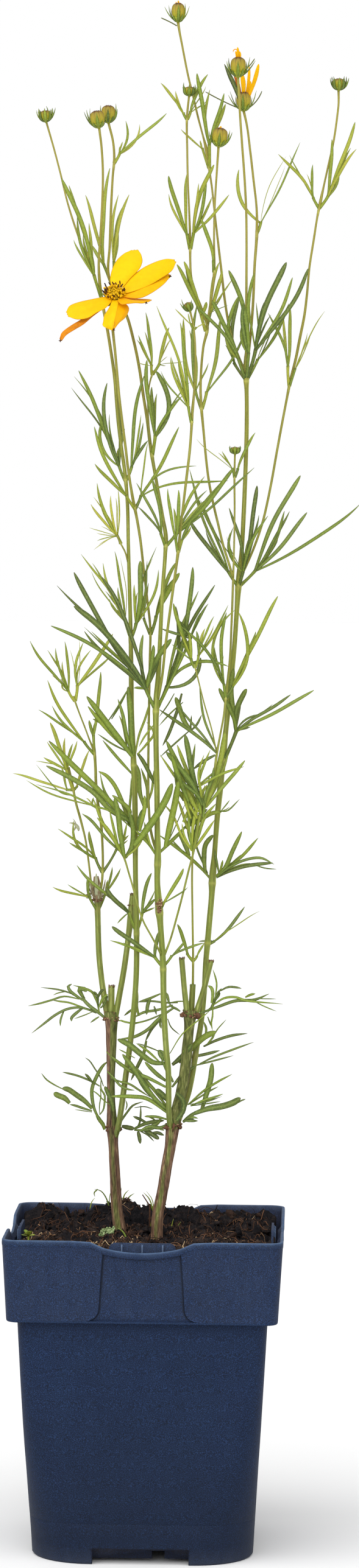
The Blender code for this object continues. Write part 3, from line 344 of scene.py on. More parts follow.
def mossFinish():
    look = Finish("moss", 0.8, 0.1)
    chance = look.tint()[3]
    fine = look.grain(1600, 4.0)
    body = look.ramp(fine * 0.7 + chance * 0.4,
                     [(0.3, 92, 112, 70), (0.55, 146, 166, 112), (0.8, 194, 208, 160)])
    look.bump(fine, 0.0003, 0.8)
    return look.color(body)


parts = bpy.data.collections.new("pottedCoreopsis")
bpy.context.scene.collection.children.link(parts)


class Weave:  # gathers points, faces and a tint for every point
    def __init__(self):
        self.points = []
        self.faces = []
        self.tints = []

    def ring(self, places, tints):
        first = len(self.points)
        self.points.extend(tuple(place) for place in places)
        self.tints.extend(tints if isinstance(tints, list) else [tints] * len(places))
        return list(range(first, len(self.points)))

    def join(self, low, high, closed=True):
        count = len(low)
        for k in range(count if closed else count - 1):
            after = (k + 1) % count
            self.faces.append((low[k], low[after], high[after], high[k]))

    def lid(self, ring):
        self.faces.append(tuple(ring))

    def sheet(self, rows):  # joins open rows in turn
        for low, high in zip(rows, rows[1:]):
            self.join(low, high, closed=False)

    def stack(self, rings):  # joins the rings in turn and closes both ends
        for low, high in zip(rings, rings[1:]):
            self.join(low, high)
        self.lid(rings[0])
        self.lid(rings[-1])

    def piece(self, name, finish, slot, nodes=(), solid=True):
        mesh = bpy.data.meshes.new(name)
        mesh.from_pydata(self.points, [], self.faces)
        layer = mesh.color_attributes.new("tint", "FLOAT_COLOR", "POINT")
        layer.data.foreach_set("color", np.array(self.tints, dtype=np.float32).ravel())
        if solid:
            shape = bmesh.new()
            shape.from_mesh(mesh)
            bmesh.ops.recalc_face_normals(shape, faces=shape.faces)
            shape.to_mesh(mesh)
            shape.free()
        mesh.materials.append(finish)
        mesh.shade_smooth()
        made = bpy.data.objects.new(name, mesh)
        parts.objects.link(made)
        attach(made, "root")
        if nodes:
            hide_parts(*nodes)
        return made


def smoothRun(run, step):  # a spline through the waypoints, read at even steps: places and radii
    keys = np.array([[*lay(x, y, z), radius * mm] for x, y, z, radius in run])
    gaps = np.linalg.norm(np.diff(keys[:, :3], axis=0), axis=1)
    marks = np.concatenate([[0.0], np.cumsum(gaps)])
    if len(keys) > 2:
        slopes = np.gradient(keys, marks, axis=0)
    else:
        slopes = np.repeat((keys[1:] - keys[:1]) / marks[-1], 2, axis=0)
    count = max(4, int(marks[-1] / (step * mm)) + 1)
    places = []
    for mark in np.linspace(0.0, marks[-1], count):
        k = min(int(np.searchsorted(marks, mark, side="right")) - 1, len(keys) - 2)
        gap = marks[k + 1] - marks[k]
        t = (mark - marks[k]) / gap
        low = (1 + 2 * t) * (1 - t) ** 2 * keys[k] + t * (1 - t) ** 2 * gap * slopes[k]
        high = t * t * (3 - 2 * t) * keys[k + 1] + t * t * (t - 1) * gap * slopes[k + 1]
        places.append(low + high)
    return [Vector(row[:3]) for row in places], [row[3] for row in places]


def frames(places):  # directions along a path, with a side vector that doesn't spin
    ahead = []
    for k in range(len(places)):
        step = places[min(k + 1, len(places) - 1)] - places[max(k - 1, 0)]
        ahead.append(step.normalized())
    side = ahead[0].orthogonal().normalized()
    sides = []
    for direction in ahead:
        side = (side - direction * side.dot(direction)).normalized()
        sides.append(side)
    return ahead, sides


def tube(weave, places, radii, count, tints, ribs=0.0, ribCount=0):  # alpha: 0 in a groove, 1 on a crest; the stem finish paints shade in the grooves and a highlight on the crests
    ahead, sides = frames(places)
    rings = []
    for place, radius, direction, side, tint in zip(places, radii, ahead, sides, tints):
        other = direction.cross(side)
        circle = []
        shades = []
        for k in range(count):
            turn = tau * k / count
            crest = math.cos(ribCount * turn) if ribCount else 0.0
            out = side * math.cos(turn) + other * math.sin(turn)
            circle.append(place + out * radius * (1 + ribs * crest))
            shades.append((*tint[:3], 0.5 + 0.5 * crest) if ribCount else tint)
        rings.append(weave.ring(circle, shades))
    weave.stack(rings)


bladeSection = [(-0.5, 0.05, 1.0), (-0.26, 0.42, 0.45), (0.0, 0.16, 0.0), (0.26, 0.42, 0.45),
                (0.5, 0.05, 1.0), (0.0, -0.5, 0.25)]  # across, raised, distance from the midrib


def blade(weave, places, widths, thick, facing, tone, chance):  # a narrow leaf blade with a grooved midrib
    ahead = frames(places)[0]
    rings = []
    last = len(places) - 1
    for k, (place, width, direction) in enumerate(zip(places, widths, ahead)):
        across = direction.cross(facing).normalized()
        raised = across.cross(direction).normalized()
        height = min(thick, width * 0.5)
        ring = [place + across * share * width + raised * lift * height for share, lift, edge in bladeSection]
        tints = [(tone, k / last, edge, chance) for share, lift, edge in bladeSection]
        rings.append(weave.ring(ring, tints))
    weave.stack(rings)


def scaled(width, shares):  # widths in metres along a blade
    return [width * share * mm for share in shares]


def bent(low, knee, end, marks):  # places on a curve from low to end that leaves towards knee
    return [low * (1 - t) ** 2 + knee * 2 * t * (1 - t) + end * t * t for t in marks]


def around(centre, side, other, reach, count=24):  # a round ring of places
    return [centre + (side * math.cos(tau * k / count) + other * math.sin(tau * k / count)) * reach
            for k in range(count)]


creaseAngles = {"leaf": 60, "pot": 32}  # degrees


def crease(made, kind):  # smooth shading that breaks at sharp edges
    limit = math.radians(creaseAngles[kind])
    shape = bmesh.new()
    shape.from_mesh(made.data)
    for edge in shape.edges:
        edge.smooth = len(edge.link_faces) == 2 and edge.calc_face_angle(0.0) < limit
    shape.to_mesh(made.data)
    shape.free()


stemTable = {
    "cane_left": [
        [(-10.5, 4, 102, 2.6), (-10.8, 4, 124, 2.5), (-12.2, 4, 135, 2.3), (-13.2, 3, 150, 2.1),
         (-14, 3, 163, 2.1), (-14.2, 3, 167, 2.5), (-14.6, 2.5, 172, 2), (-15, 2, 200, 2),
         (-15, 2, 208, 2.4), (-15, 2, 214, 3)],
        [(-16.3, 2.5, 211, 1.3), (-18.8, 3, 225, 1.15), (-20, 4.5, 235, 1.15), (-20.8, 6, 252, 1.15),
         (-21, 6.5, 257.5, 1.2), (-21, 6.5, 261, 2), (-21.6, 6.5, 268.4, 1)],
        [(-15.1, 1.6, 212, 1.3), (-15.1, 1.6, 224.5, 1.25)],
        [(-13.6, 1.2, 211, 1.2), (-12, 1, 220, 1.15), (-10, 2, 232, 1.15), (-8.4, 3, 245, 1.15),
         (-7.4, 4, 254, 1.4), (-7, 4, 261.5, 1)],
        [(-22, 7.5, 259.5, .6), (-23.6, 9, 266, .5), (-24.4, 10, 272, .5), (-26, 12, 283, .5),
         (-28, 13, 291, .6), (-30, 13, 298, .6), (-31.6, 12, 306, .6), (-33, 11, 312, .6)],
        [(-20.5, 5.5, 259.5, .6), (-19.4, 4, 265, .6), (-19, 3, 272, .6), (-19.2, 2, 281, .6),
         (-20, 0, 291, .7), (-21.2, -2, 298, .7), (-22, -3, 306, .7), (-22.3, -4, 313, .7),
         (-23, -4.5, 319, .65), (-24.3, -5, 322, .45), (-26.6, -6, 328, .4), (-29, -7, 334, .4),
         (-31.4, -8, 340.5, .45)]],
    "cane_right": [
        [(4, -6, 102, 2.5), (3.9, -6, 124, 2.4), (4.3, -6, 133, 2.3), (5.7, -6, 140, 2.2),
         (7.3, -5.5, 150, 2.2), (9.1, -5, 161, 2.3), (10, -5, 168, 2.7), (11, -5, 173, 2.3),
         (12.7, -4.5, 180, 2.1), (14.5, -4, 190, 2.1), (15.5, -4, 200, 2.1), (16.2, -4, 209, 2.1),
         (16.6, -4, 215, 3)],
        [(15.4, -4.8, 213, 1.2), (14.3, -5.3, 222, 1.1), (12.9, -6, 236, 1.1)],
        [(16.9, -3, 213, 1.2), (17.5, -2.5, 225.5, 1.15)],
        [(18.6, -4.4, 213, 1.2), (21.5, -4.4, 222, 1.1), (24.7, -4.4, 235, 1.1)],
        [(17.5, -2.5, 224.5, .6), (17.5, -2, 235, .55), (17.1, -1, 253, .5), (16.8, 0, 272, .5),
         (17.2, 1, 284, .45)]],
    "shoot_left": [
        [(-12, -.3, 167.4, 1.1), (-10.8, -1.5, 175, 1.15), (-9.5, -2.5, 185, 1.15), (-6.5, -4, 210, 1.1),
         (-5.2, -5, 230, 1.1), (-5.3, -6, 249, 1.1), (-5.9, -6.5, 270, 1), (-6.1, -7, 285, 1.1),
         (-6.4, -7, 300, 1.1), (-7.1, -7, 316, 1.1), (-8, -7, 333, 1.05), (-8.3, -7, 350, 1.05),
         (-8.7, -6, 368, 1), (-9.3, -5, 385, .95), (-9.9, -4, 402, .9), (-10.4, -2, 418, .9),
         (-11.5, 0, 430, .95), (-13, 2, 440, .9), (-14.3, 3, 450, .9), (-15.2, 4, 460, .9),
         (-15.8, 5, 467, .9), (-17.3, 5, 477, .8), (-19, 5, 487, .8), (-20.6, 5, 495, .8),
         (-21.8, 5, 502, .85), (-22.6, 4.5, 512, .6), (-22, 4, 525, .55), (-21.4, 3, 538, .55),
         (-21.3, 2, 550, .55), (-22, 1, 560, .55), (-22.9, 0, 566.6, .6)],
        [(-21.9, 5, 501.5, .6), (-24, 6, 507, .5), (-28.2, 7, 517, .5), (-32, 8, 527, .5),
         (-35.5, 9, 538, .45), (-38, 9.5, 548, .45), (-40.7, 10, 558, .45), (-43.9, 10, 568.8, .5)],
        [(-9.9, -4.4, 394, .5), (-11, -6, 398, .4), (-13.4, -8, 402.5, .4), (-14.5, -9, 405, .5)]],
    "shoot_middle": [
        [(8.5, -8.4, 171.4, 1.1), (8.2, -9, 180, 1.15), (8, -9.5, 190, 1.15), (7, -10, 200, 1.15),
         (6, -10, 215, 1.15), (5.4, -10.5, 235, 1.2), (4.4, -11, 248, 1.15), (3.6, -11.5, 257, 1.5),
         (2.9, -12, 266, 1.15), (3, -12, 277, 1.3), (2.7, -12, 288, 1.1), (2.4, -12, 305, 1.1),
         (1.9, -12, 322, 1.05), (1.8, -12, 338, 1.2), (2.6, -12, 350, 1.05), (3.2, -11, 365, 1),
         (3.9, -10, 382, 1), (4.9, -8, 398, 1), (5.1, -6, 404, 1.1), (3.8, -3, 412, .9), (1, 2, 427, .85),
         (-1.3, 5, 440, .9), (-2.8, 7, 451, .8), (-4.3, 8, 460, .75), (-6.2, 9, 472, .7),
         (-8.6, 10, 483, .7), (-11.6, 10.5, 493, .7), (-16, 10.5, 501, .7), (-18.6, 10, 508, .65),
         (-18.3, 9, 520, .6), (-17.9, 8, 535, .6), (-17.3, 7, 548, .55), (-16.8, 7.5, 554.5, .6),
         (-17.3, 8, 561, .55), (-19.2, 8.5, 568.6, .6)],
        [(4.8, -11.2, 237, .6), (3.3, -13, 240, .5), (.5, -14.5, 245, .45), (-2.3, -15, 250, .45),
         (-4.6, -14.5, 256, .45), (-6.5, -14, 263, .45), (-8.6, -13, 270, .45), (-10.5, -12, 276, .5),
         (-13.4, -11, 281.5, .5)],
        [(6, -10.5, 237, .6), (8.2, -12, 243, .5), (10.7, -13.5, 252, .5), (13, -14, 261, .5),
         (15.6, -13, 272, .5), (17.6, -12, 280, .5), (19, -11, 289, .5), (20.5, -10, 296, .6),
         (22.3, -9, 300.5, .6), (24, -8.5, 305, .6), (25.3, -8, 311, .6), (26.3, -8, 318.5, .6),
         (27.4, -8, 325, .5), (28.8, -8, 333, .5), (29.8, -7, 343, .6), (31, -5.5, 355, .55),
         (31.6, -4, 370, .55), (32, -2, 385, .55), (32.3, 0, 400, .45), (32.4, 1, 415, .45),
         (32.2, 2, 429.5, .5), (32.3, 2, 437.6, .45)],
        [(26.1, -8.3, 318.6, .4), (24, -10, 328, .35), (21, -12, 338, .35), (18.9, -13.5, 346, .35),
         (16.9, -14.5, 353.8, .4)],
        [(2.6, -11.2, 278, .7), (.3, -8, 286, .65), (-.8, -5, 297, .6), (-1.1, -2, 310, .6),
         (-1.1, 0, 325, .6), (-1, 1, 340, .6), (-.9, 2, 355, .6), (-.8, 1.5, 368, .6), (-2.2, 0, 380, .6),
         (-3.7, -2, 392, .6), (-5.2, -3, 404, .65), (-6.8, -4, 413, .7), (-8, -5, 418.5, .75),
         (-9.2, -6, 425, .65), (-10.3, -7, 432, .65), (-11.3, -8, 440, .65), (-12.7, -9, 450, .65),
         (-14, -10, 460, .65), (-14.8, -10.5, 468, .65), (-15.8, -10, 478, .65), (-16.8, -9, 487, .7),
         (-17.4, -7, 495.5, .8)],
        [(2.6, -12.8, 340, .7), (4, -15.5, 348, .65), (5.2, -17.5, 360, .65), (6.4, -18.5, 370, .65),
         (7.8, -18.5, 381, .65), (9.1, -18, 391, .65), (10.2, -17, 400, .75), (11, -16, 409, .6),
         (12, -14.5, 418, .6), (13.1, -14, 428, .65), (14.2, -13, 438, .65), (14.9, -12, 448, .65),
         (15.1, -12, 453, .75), (15.8, -12, 462, .55), (16.2, -12, 472, .5), (16, -12, 482, .45),
         (15.2, -12, 489, .45), (14, -12, 494, .5)],
        [(32, -1.6, 388.5, .65), (30, -1, 395, .6), (28.2, 0, 400.5, .6), (25.8, 1, 410, .6),
         (23.6, 2, 419, .6), (22, 3, 427, .6), (20.8, 3, 436, .6), (19.8, 3, 446, .6), (18.7, 3, 457, .7),
         (18.4, 3, 462, .65), (18.5, 2.5, 470, .6), (19.3, 2, 480, .6), (20.7, 2, 489.5, .8),
         (19.2, 1.5, 493, .8), (17.8, 1, 497, .7), (15.6, 1, 502, .65), (14.2, 1, 508, .6),
         (13.8, 1, 514, .55), (13.7, 1, 521.5, .65), (13.3, 1, 532, .5), (12.6, 1, 545, .5),
         (12.2, 1, 558, .5), (12, 1, 571.5, .55), (12.7, 1, 579.4, .5)],
        [(20.8, 1.8, 489.5, .6), (21.8, 0, 496, .6), (22.8, -2, 503, .6), (23.4, -3, 512, .6),
         (23.2, -4, 521, .5), (23.3, -4, 535, .5), (24, -4, 549, .5), (24.6, -4, 559.4, .6)],
        [(-1.4, 5, 441, .45), (-2.2, 4, 450, .4), (-2.5, 3, 460, .4), (-1.6, 2, 467, .4),
         (-.4, 1.5, 470.5, .5)]],
    "shoot_right": [
        [(13, -1.5, 172.6, 1.1), (16, 0, 181, 1.1), (17.8, 1, 190, 1.1), (18.9, 2, 198, 1.15),
         (20.8, 3, 209, 1.1), (22, 4, 221, 1.05), (22.6, 5, 234, 1.1), (23.3, 6, 243, 1.15),
         (24, 6.5, 252, 1.15), (24.7, 7, 261, 1.15), (25, 8, 268.5, 1.4), (25.7, 8, 278, 1.05),
         (26.6, 8.5, 292, 1.1), (27.7, 9, 304, 1.2), (28.5, 9.5, 313, 1.2), (28.9, 10, 318, 1.3),
         (29.7, 10, 327, 1.05), (30.8, 10, 338, 1.05), (31.8, 10, 349, 1.05), (32.9, 10, 362, 1),
         (33.6, 10, 374, 1), (34.4, 10, 388, 1.3), (35.3, 9, 398, .95), (36, 8, 413, .95),
         (36.6, 7, 432, .9), (36.9, 6, 450, .9), (36.7, 5, 463, .9), (36.4, 5, 470.5, 1.2),
         (36.4, 4, 480, .6), (36.3, 3, 492, .6), (36.2, 2, 507, .6), (36.1, 1, 522, .55),
         (35.8, 0, 535, .55), (35, -1, 548, .55), (34, -2, 560, .55), (32.9, -3, 574, .55),
         (32.1, -4, 587, .6)],
        [(36.6, 5.5, 471, .7), (37.8, 6.5, 482, .65), (38.9, 7, 497, .65), (39.4, 7.5, 512, .65),
         (40.2, 8, 527, .7), (40, 8.5, 535, .55), (38.7, 9, 546, .55), (37.2, 9.5, 558, .55),
         (35.6, 9.5, 569, .55), (34.5, 9, 573.6, .65)],
        [(36, 6, 470.5, .65), (33.6, 8, 476, .55), (31.3, 9, 482, .55), (29.4, 10, 489, .6),
         (27.8, 10, 498, .6), (26.4, 10, 509, .6), (25, 9.5, 520, .55), (23.5, 9, 532, .5),
         (21.9, 8.5, 545, .5), (20.4, 8, 554, .6), (19.8, 8, 558.5, .8), (18.6, 8, 563, .5),
         (16.4, 8, 571, .5), (14.2, 8, 580, .5), (12.4, 8, 587, .5), (10.9, 7.5, 594, .5),
         (9.7, 7, 600, .5), (8.5, 6.5, 606, .6), (8.1, 6.5, 608.6, .7)],
        [(35.2, 10.5, 389, .7), (38, 13, 395, .6), (41, 15, 402.5, .6), (43.7, 16, 411, .6),
         (45.7, 17, 420, .6), (47.2, 18, 428, .6), (48.7, 19, 437, .6), (50.6, 20, 448, .6),
         (52.4, 20, 458, .6), (54.2, 20, 467.5, .7), (56, 19.5, 475, .7), (57.7, 19, 484, .7),
         (59.4, 18, 493, .65), (60.3, 17.5, 501, .6), (61.2, 17, 512, .55), (62.8, 16.5, 523, .55),
         (64.3, 16, 533, .55), (65.3, 16, 538, .75), (66.5, 16, 544, .5), (68.2, 16, 552, .5),
         (70.1, 16, 561, .5), (71.5, 16, 571, .5), (72.1, 16, 577.5, .5), (72, 16, 582, .6)]],
}

leafTable = {
    "leaf_d1": ("shoot_middle", 0, 232.5, 0.35, [
        (2, 236.5, 1.5, -1, 3, [(-15, 248.5, 1.8), (-16, 242.5, 0.9), (-10.5, 242, 0.7), (4, 246.5, 1.5)]),
        (9, 237, 1.5, 2, 2, [(22, 242, 0.9), (14, 243, 1)])]),
    "leaf_c1": ("shoot_left", 0, 246.5, 0.35, [
        (-8.5, 254.5, -2, -6, 8,
         [(-17.6, 263.8, 2), (-29.5, 272.7, 1.2), (-17.5, 261, 1.2), (-11, 256, 0.7), (-13, 249.5, 0.6)]),
        (-3, 254, 0.5, 2, 4, [(0.5, 270, 1.4), (2.4, 259.6, 1.2), (1.8, 263, 0.6), (2, 256, 0.7)])]),
    "leaf_g1": ("cane_left", 1, 254.5, 0.5, [
        (-24.5, 260.5, -3, -6, 6,
         [(-39, 264, 0.9), (-25, 267.5, 1.2), (-33, 265.2, 0.6), (-24.5, 260.8, 0.8)]),
        (-17.6, 262.5, 4, 6, 4, [(-12, 271.8, 0.9), (-15.3, 272.3, 0.9), (-16.8, 267, 0.7)])]),
    "leaf_j1": ("cane_left", 5, 270, 0.5, [
        (-22, 276, 0, -5, 8,
         [(-24.5, 286.5, 1.3), (-37.3, 287.2, 0.9), (-32.5, 282, 0.9), (-31, 290.5, 2.5, 1)]),
        (-13.5, 279.5, -1, 0, 3, [(-8.6, 285, 0.9), (-9, 283, 0.6)])]),
    "leaf_e4": ("shoot_right", 0, 314.5, 0.25, [
        (34, 327.5, -4, -6, 14, [(32.3, 352.2, 2.3), (38, 344, 1, 2.5), (26.6, 344.2, 1.8),
        (55.6, 341.7, 1, 1.4), (64.6, 344, 1.5), (44.2, 334.2, 1, 0.9), (48.2, 338.3, 0.7),
        (39.5, 328.7, 0.8), (36, 339.3, 0.8)])]),
    "leaf_r1": ("cane_left", 5, 317.5, 0.6, [
        (-23.2, 325, 4, 8, 4, [(-20.8, 350.4, 1.3), (-24.9, 331, 1.2), (-22.4, 330.2, 0.9)]), (-27, 322.5,
        -3, -9, 8, [(-42, 346.6, 1.2), (-40, 336.5, 1), (-45.4, 334.8, 0.9), (-35.1, 334.5, 0.6)])]),
    "leaf_q1": ("cane_left", 5, 338.6, 0.8, [
        (-33.5, 343, -1, -7, 14, [(-49, 362.4, 1), (-35.2, 362.3, 1), (-38.6, 359.7, 0.9),
        (-42, 358.8, 0.7), (-37.3, 354.8, 0.6), (-40, 348.7, 0.7), (-35.7, 346.3, 1.5, 0.6)]), (-29.8, 345,
        1, 8, 8, [(-16, 365.7, 1.4), (-27.6, 362, 1, 1), (-16.2, 357.6, 0.9), (-26, 349.6, 0.6),
        (-29.8, 347.4, 0.5), (-29.5, 363.5, 0.3), (-33, 359, 0.3)])]),
    "leaf_d4": ("shoot_middle", 0, 335.3, 0.25, [
        (-2.5, 344, -3, -9, 18, [(-31.2, 376.7, 2.4), (-31, 390.3, 1.9), (-40.3, 369, 1.5),
        (-38, 384.8, 1.1), (0.3, 361.3, 1.7), (7.4, 363.8, 2.2), (-20.6, 388.3, 1.7), (-27.6, 367.9, 0.6),
        (-7.2, 344, 1)]), (6, 345, 4, 0, 6,
         [(30.3, 353.2, 4, 1.3), (15.3, 392.6, -4, 1.9), (24.3, 385.7, 1.4), (9, 376.9, -2, 1.4)]),
        (15.5, 364.5, 2, 0, 4, [(22.3, 377.9, 1), (19.3, 374.3, 0.8), (10.5, 371, 1.2), (3.7, 368, 1.1)])]),
    "leaf_m4": ("shoot_middle", 2, 340.5, 0.5, [
        (28.8, 346, -3.5, -12, 8,
         [(12, 369, 1.1), (29.1, 374.5, 1.3), (33.4, 375.7, 6, 1), (26.6, 353, 0.4)]),
        (32.5, 345.5, 2, -4, 8, [(33.9, 374.7, -4, 1.3), (50.3, 381, -1, 1.5)])]),
    "leaf_c4": ("shoot_left", 0, 364, 0.55, [
        (-11, 371, 3, 9, 12, [(-15.6, 398.4, 1), (-20.2, 393.7, 0.9), (-28.8, 397.2, 0.9),
        (-13.8, 384.2, 0.9), (-24.6, 390.3, 0.5), (-17.3, 379.5, 0.8), (-16, 375.5, 0.7), (-13, 396, 0.3)]),
        (-6.5, 370, 0, -1, 3,
         [(-5.2, 394.8, 2.3), (-7.2, 385.3, 1), (2.5, 391.2, -1, 1), (-2.3, 394.8, 0.8), (1, 400.5, 0.6)])]),
    "leaf_s0": ("shoot_middle", 4, 365.5, 0.4, [
        (1.5, 373, -1, -3, 6, [(10.8, 390, 1.9), (9.3, 394.4, 1.5)]),
        (-3.5, 372, 4, 8, 2, [(-1.5, 386, 0.9)])]),
    "leaf_s1": ("shoot_middle", 4, 415.5, 0.5, [
        (-11, 421, -5, -12, 8, [(-23.4, 433.4, 1.2), (-24.2, 448, 1.3)]),
        (-5, 421, 1, 0, 4, [(9.8, 448.3, 1.3), (29.7, 427, 3, 0.9), (-2.2, 442, 0.6)])]),
    "leaf_d5": ("shoot_middle", 0, 400.8, 0.4, [
        (3, 406, -3, -6, 4, [(-0.9, 428.2, 1.4), (-7.1, 425.7, 1), (-6.4, 416.3, 0.9)]),
        (9, 405.5, -1, 0, 4, [(32, 432.3, 1.7), (39.9, 432.5, 0.9), (28.2, 428.3, 1.3), (20, 428.8, 1.1)])]),
    "leaf_e5": ("shoot_right", 0, 384.8, 0.24, [
        (30, 391, -3, -1, 4, [(14.3, 411.7, 1.6), (16.3, 421.9, 1), (13.8, 431.3, 1)]), (36, 391, -4, -7, 4,
         [(40.8, 425.2, 1, 1.8), (45.4, 413.3, 1.1), (30.2, 416.2, 1.3), (30.8, 406.3, 3, 1.1),
        (23.2, 410, 0.4)]), (41, 391.5, 3, 12, 10,
         [(82, 418.7, 1.2), (58.3, 429.4, 1.8), (49.4, 404.3, 1.5), (53.9, 415.2, -2, 1.2)])]),
    "leaf_c5": ("shoot_left", 0, 426.5, 0.26, [
        (-14, 433, 3, 8, 10, [(-30, 470.5, -2, 1.4), (-19, 465.5, 4, 1.4), (-18.9, 444.4, 0.9),
        (-15.8, 465, 1.4), (-33, 463.7, 0.7), (-31.8, 468.2, 0.6), (-16, 438.6, 0.6), (-11.6, 447.3, 1.3)]),
        (-8.8, 432.5, 0, -1, 2, [(-4.6, 468.5, 1.4), (-2.2, 442.8, 1.1), (-5.6, 453, 0.7)])]),
    "leaf_d6": ("shoot_middle", 0, 437, 0.4, [
        (0.5, 445, -2, -6, 4,
         [(0.5, 470.3, -4, 2), (-3.3, 474.7, 1.6), (11, 460.5, 1.2), (14.2, 466.3, 0.5)])]),
    "leaf_u2": ("shoot_middle", 5, 450, 0.5, [
        (13.6, 456.5, -2, -8, 8,
         [(9.7, 489.7, 1, 1.2), (0.8, 496.3, 0.9), (6.1, 475.8, 0.9), (2.4, 470.3, 0.6)])]),
    "leaf_v1": ("shoot_middle", 6, 455.5, 0.5, [
        (16.2, 463, 3, 7, 4, [(11.3, 491.3, 1, 1.3), (16.4, 497.3, 1.2), (21.3, 473.8, 0.7)]),
        (20.8, 462.5, 2, 8, 6, [(37, 488.3, 0.9), (25.9, 491.2, 1.5)])]),
    "leaf_v2": ("shoot_middle", 6, 486.5, 0.5, [
        (18.3, 493, -5, -12, 8,
         [(8.3, 512.7, 1.5), (11.1, 513.9, 1.6), (12.4, 512, 1.5), (20.3, 498, 1.4)]),
        (22, 494, 3, 2, 4, [(25.2, 513.7, 1.3), (26.4, 510.7, 1.5), (31, 507.2, 0.6), (29, 496.7, 0.3)])]),
    "leaf_z1": ("shoot_middle", 6, 519, 0.5, [
        (12.4, 525, -2, -6, 6, [(5, 547.9, 1.6), (4.9, 540.6, 0.9), (12.2, 548.5, 1.2)]),
        (15, 525.5, -3, -12, 2, [(17.1, 544.9, 1, 1), (22.6, 552.5, 1.6), (28.8, 540.7, 1.2)])]),
    "leaf_k1": ("cane_left", 4, 303, 0.8, [
        (-34, 311.5, -3, -2, 12, [(-40.7, 329.8, 1.5), (-34.5, 323.8, 1), (-29.8, 322.7, 1), (-43, 316, 1),
        (-31.3, 321.5, 1), (-41.6, 322.3, 0.8), (-46.2, 314.2, 0.4)]),
        (-34, 303, 2, 8, 4, [(-55.3, 309.2, -1, 1), (-36, 312, 0.9)]),
        (-29.5, 304.5, 2, 4, 4, [(-24.6, 319, 1), (-27, 315.3, 0.8)])]),
    "leaf_e6": ("shoot_right", 0, 467, 0.14, [
        (33.2, 476, -5, -11, 8, [(16.5, 496.3, 1.4), (22.3, 498.3, 1.8), (33.2, 500.3, 3, 1.5)]),
        (37.3, 478, -7, -11, 6, [(29.5, 510.7, 1.8), (35, 497.5, 1.5), (38.9, 509.6, 2, 1.5)]),
        (40.2, 479.5, -2, -4, 8, [(51.9, 514, 2.3), (61, 511.3, 1.7), (43.4, 498, 0.9), (37.6, 502, 0.8)]),
        (31.5, 474, 3, 4, 3, [(28, 481, 0.6), (33, 500, 1.5)]),
        (41, 475.5, 2, 4, 3, [(53.2, 497.5, 1.2), (47, 490, 0.5)])]),
    "leaf_x1": ("shoot_right", 3, 464.8, 0.6, [
        (53, 473, -2, -6, 6, [(45, 493.7, 1.1), (53.2, 496.8, 1.3)]),
        (56, 472, -3, -5, 2, [(67.5, 494.7, 0.5), (60.5, 486, 0.5)])]),
    "leaf_y1": ("shoot_right", 3, 535.5, 0.55, [
        (62.3, 539.8, -2, -6, 8, [(48.3, 556.7, 1.1), (62.2, 552.7, 1, 1), (53, 556.5, 0.5)]),
        (68.4, 540.5, -2, -8, 6, [(78.8, 569.5, -1, 1.5), (79.3, 558.9, 1.1), (69.7, 562.7, -1, 1.3)])]),
    "leaf_c6": ("shoot_left", 0, 499, 0.6, [
        (-24.5, 508.5, -3, -4, 6, [(-37.4, 546.7, 1.7), (-35.1, 543.7, 1.3), (-28.4, 524.5, 1.1),
        (-26.4, 529, 1, 1.1), (-32.6, 522.3, 0.8)])]),
    "leaf_d7": ("shoot_middle", 0, 505, 0.5, [
        (-20.8, 513, 3, 5, 4, [(-28.4, 539.9, -2, 1.2), (-18.6, 550.8, 1.3), (-25, 520, 1.2)]),
        (-16.6, 514, 2, 5, 4, [(-11, 540.4, 1.2), (-15.3, 540.3, 1), (-16, 519.8, 1.1)])]),
    "leaf_w1": ("shoot_right", 2, 551, 0.5, [
        (20.9, 560.5, -3, -6, 4, [(16.1, 588.5, -1, 1.6), (26.8, 580.6, 1, 1.3), (27.4, 576.3, 1, 1.4)]),
        (18.2, 559, 2, 3, 2, [(9.7, 566.4, 0.7), (17.3, 562, 0.7)])]),
    "tuft_f1": ("cane_right", 4, 234.9, 0.4, [
        (15, 238, -1, -3, 2, [(11, 249.5, 1.4)]), (19, 237, 0, 0, 1, [(22, 242, 0.8)])]),
    "tuft_e2": ("shoot_right", 0, 241.5, 0.4, [
        (26, 243, 2, 12, 6, [(37.8, 257, 1.2), (44, 255, 0.4), (19.5, 242.5, 0.7)])]),
    "tuft_d2": ("shoot_middle", 0, 255, 0.4, [
        (5.5, 258.5, -1.5, -5, 2, [(13.2, 272, 1.5), (15, 264.5, 0.6)])]),
    "tuft_n1": ("shoot_middle", 3, 352.5, 0.6, [
        (15.5, 356, 0, 0, 4, [(8, 361.7, 0.7), (10.5, 367.3, 0.7), (8.5, 378, 1.5), (14.5, 366, 1.3)]),
        (18.5, 357.5, -1, -3, 4,
         [(24.7, 372.9, 0.9), (30, 377.6, 0.7), (29.2, 374.2, 0.6), (17.5, 367, 1.2)])]),
    "tuft_t1": ("shoot_left", 2, 401.5, 0.9, [
        (-14.5, 405, -1, -3, 8, [(-22.8, 425.5, 1.1), (-24.9, 417.3, 1), (-24.1, 420, 0.5),
        (-17, 420.7, 0.9), (-14.4, 423.3, 0.6), (-19.7, 413.7, 0.5), (-25.5, 408, 0.3), (-22.4, 402.6, 0.4),
        (-23.6, 398.9, 0.3)])]),
    "tuft_u1": ("shoot_middle", 5, 398.5, 0.6, [
        (9, 404, -2, -3, 2, [(5.8, 423.7, 1.1), (9.7, 423.2, 1.3)]),
        (11.5, 403.5, 3, 4, 2, [(15.3, 411.5, 1.2), (15, 408.7, 0.8)])]),
    "tuft_m5": ("shoot_middle", 2, 428.5, 0.5, [
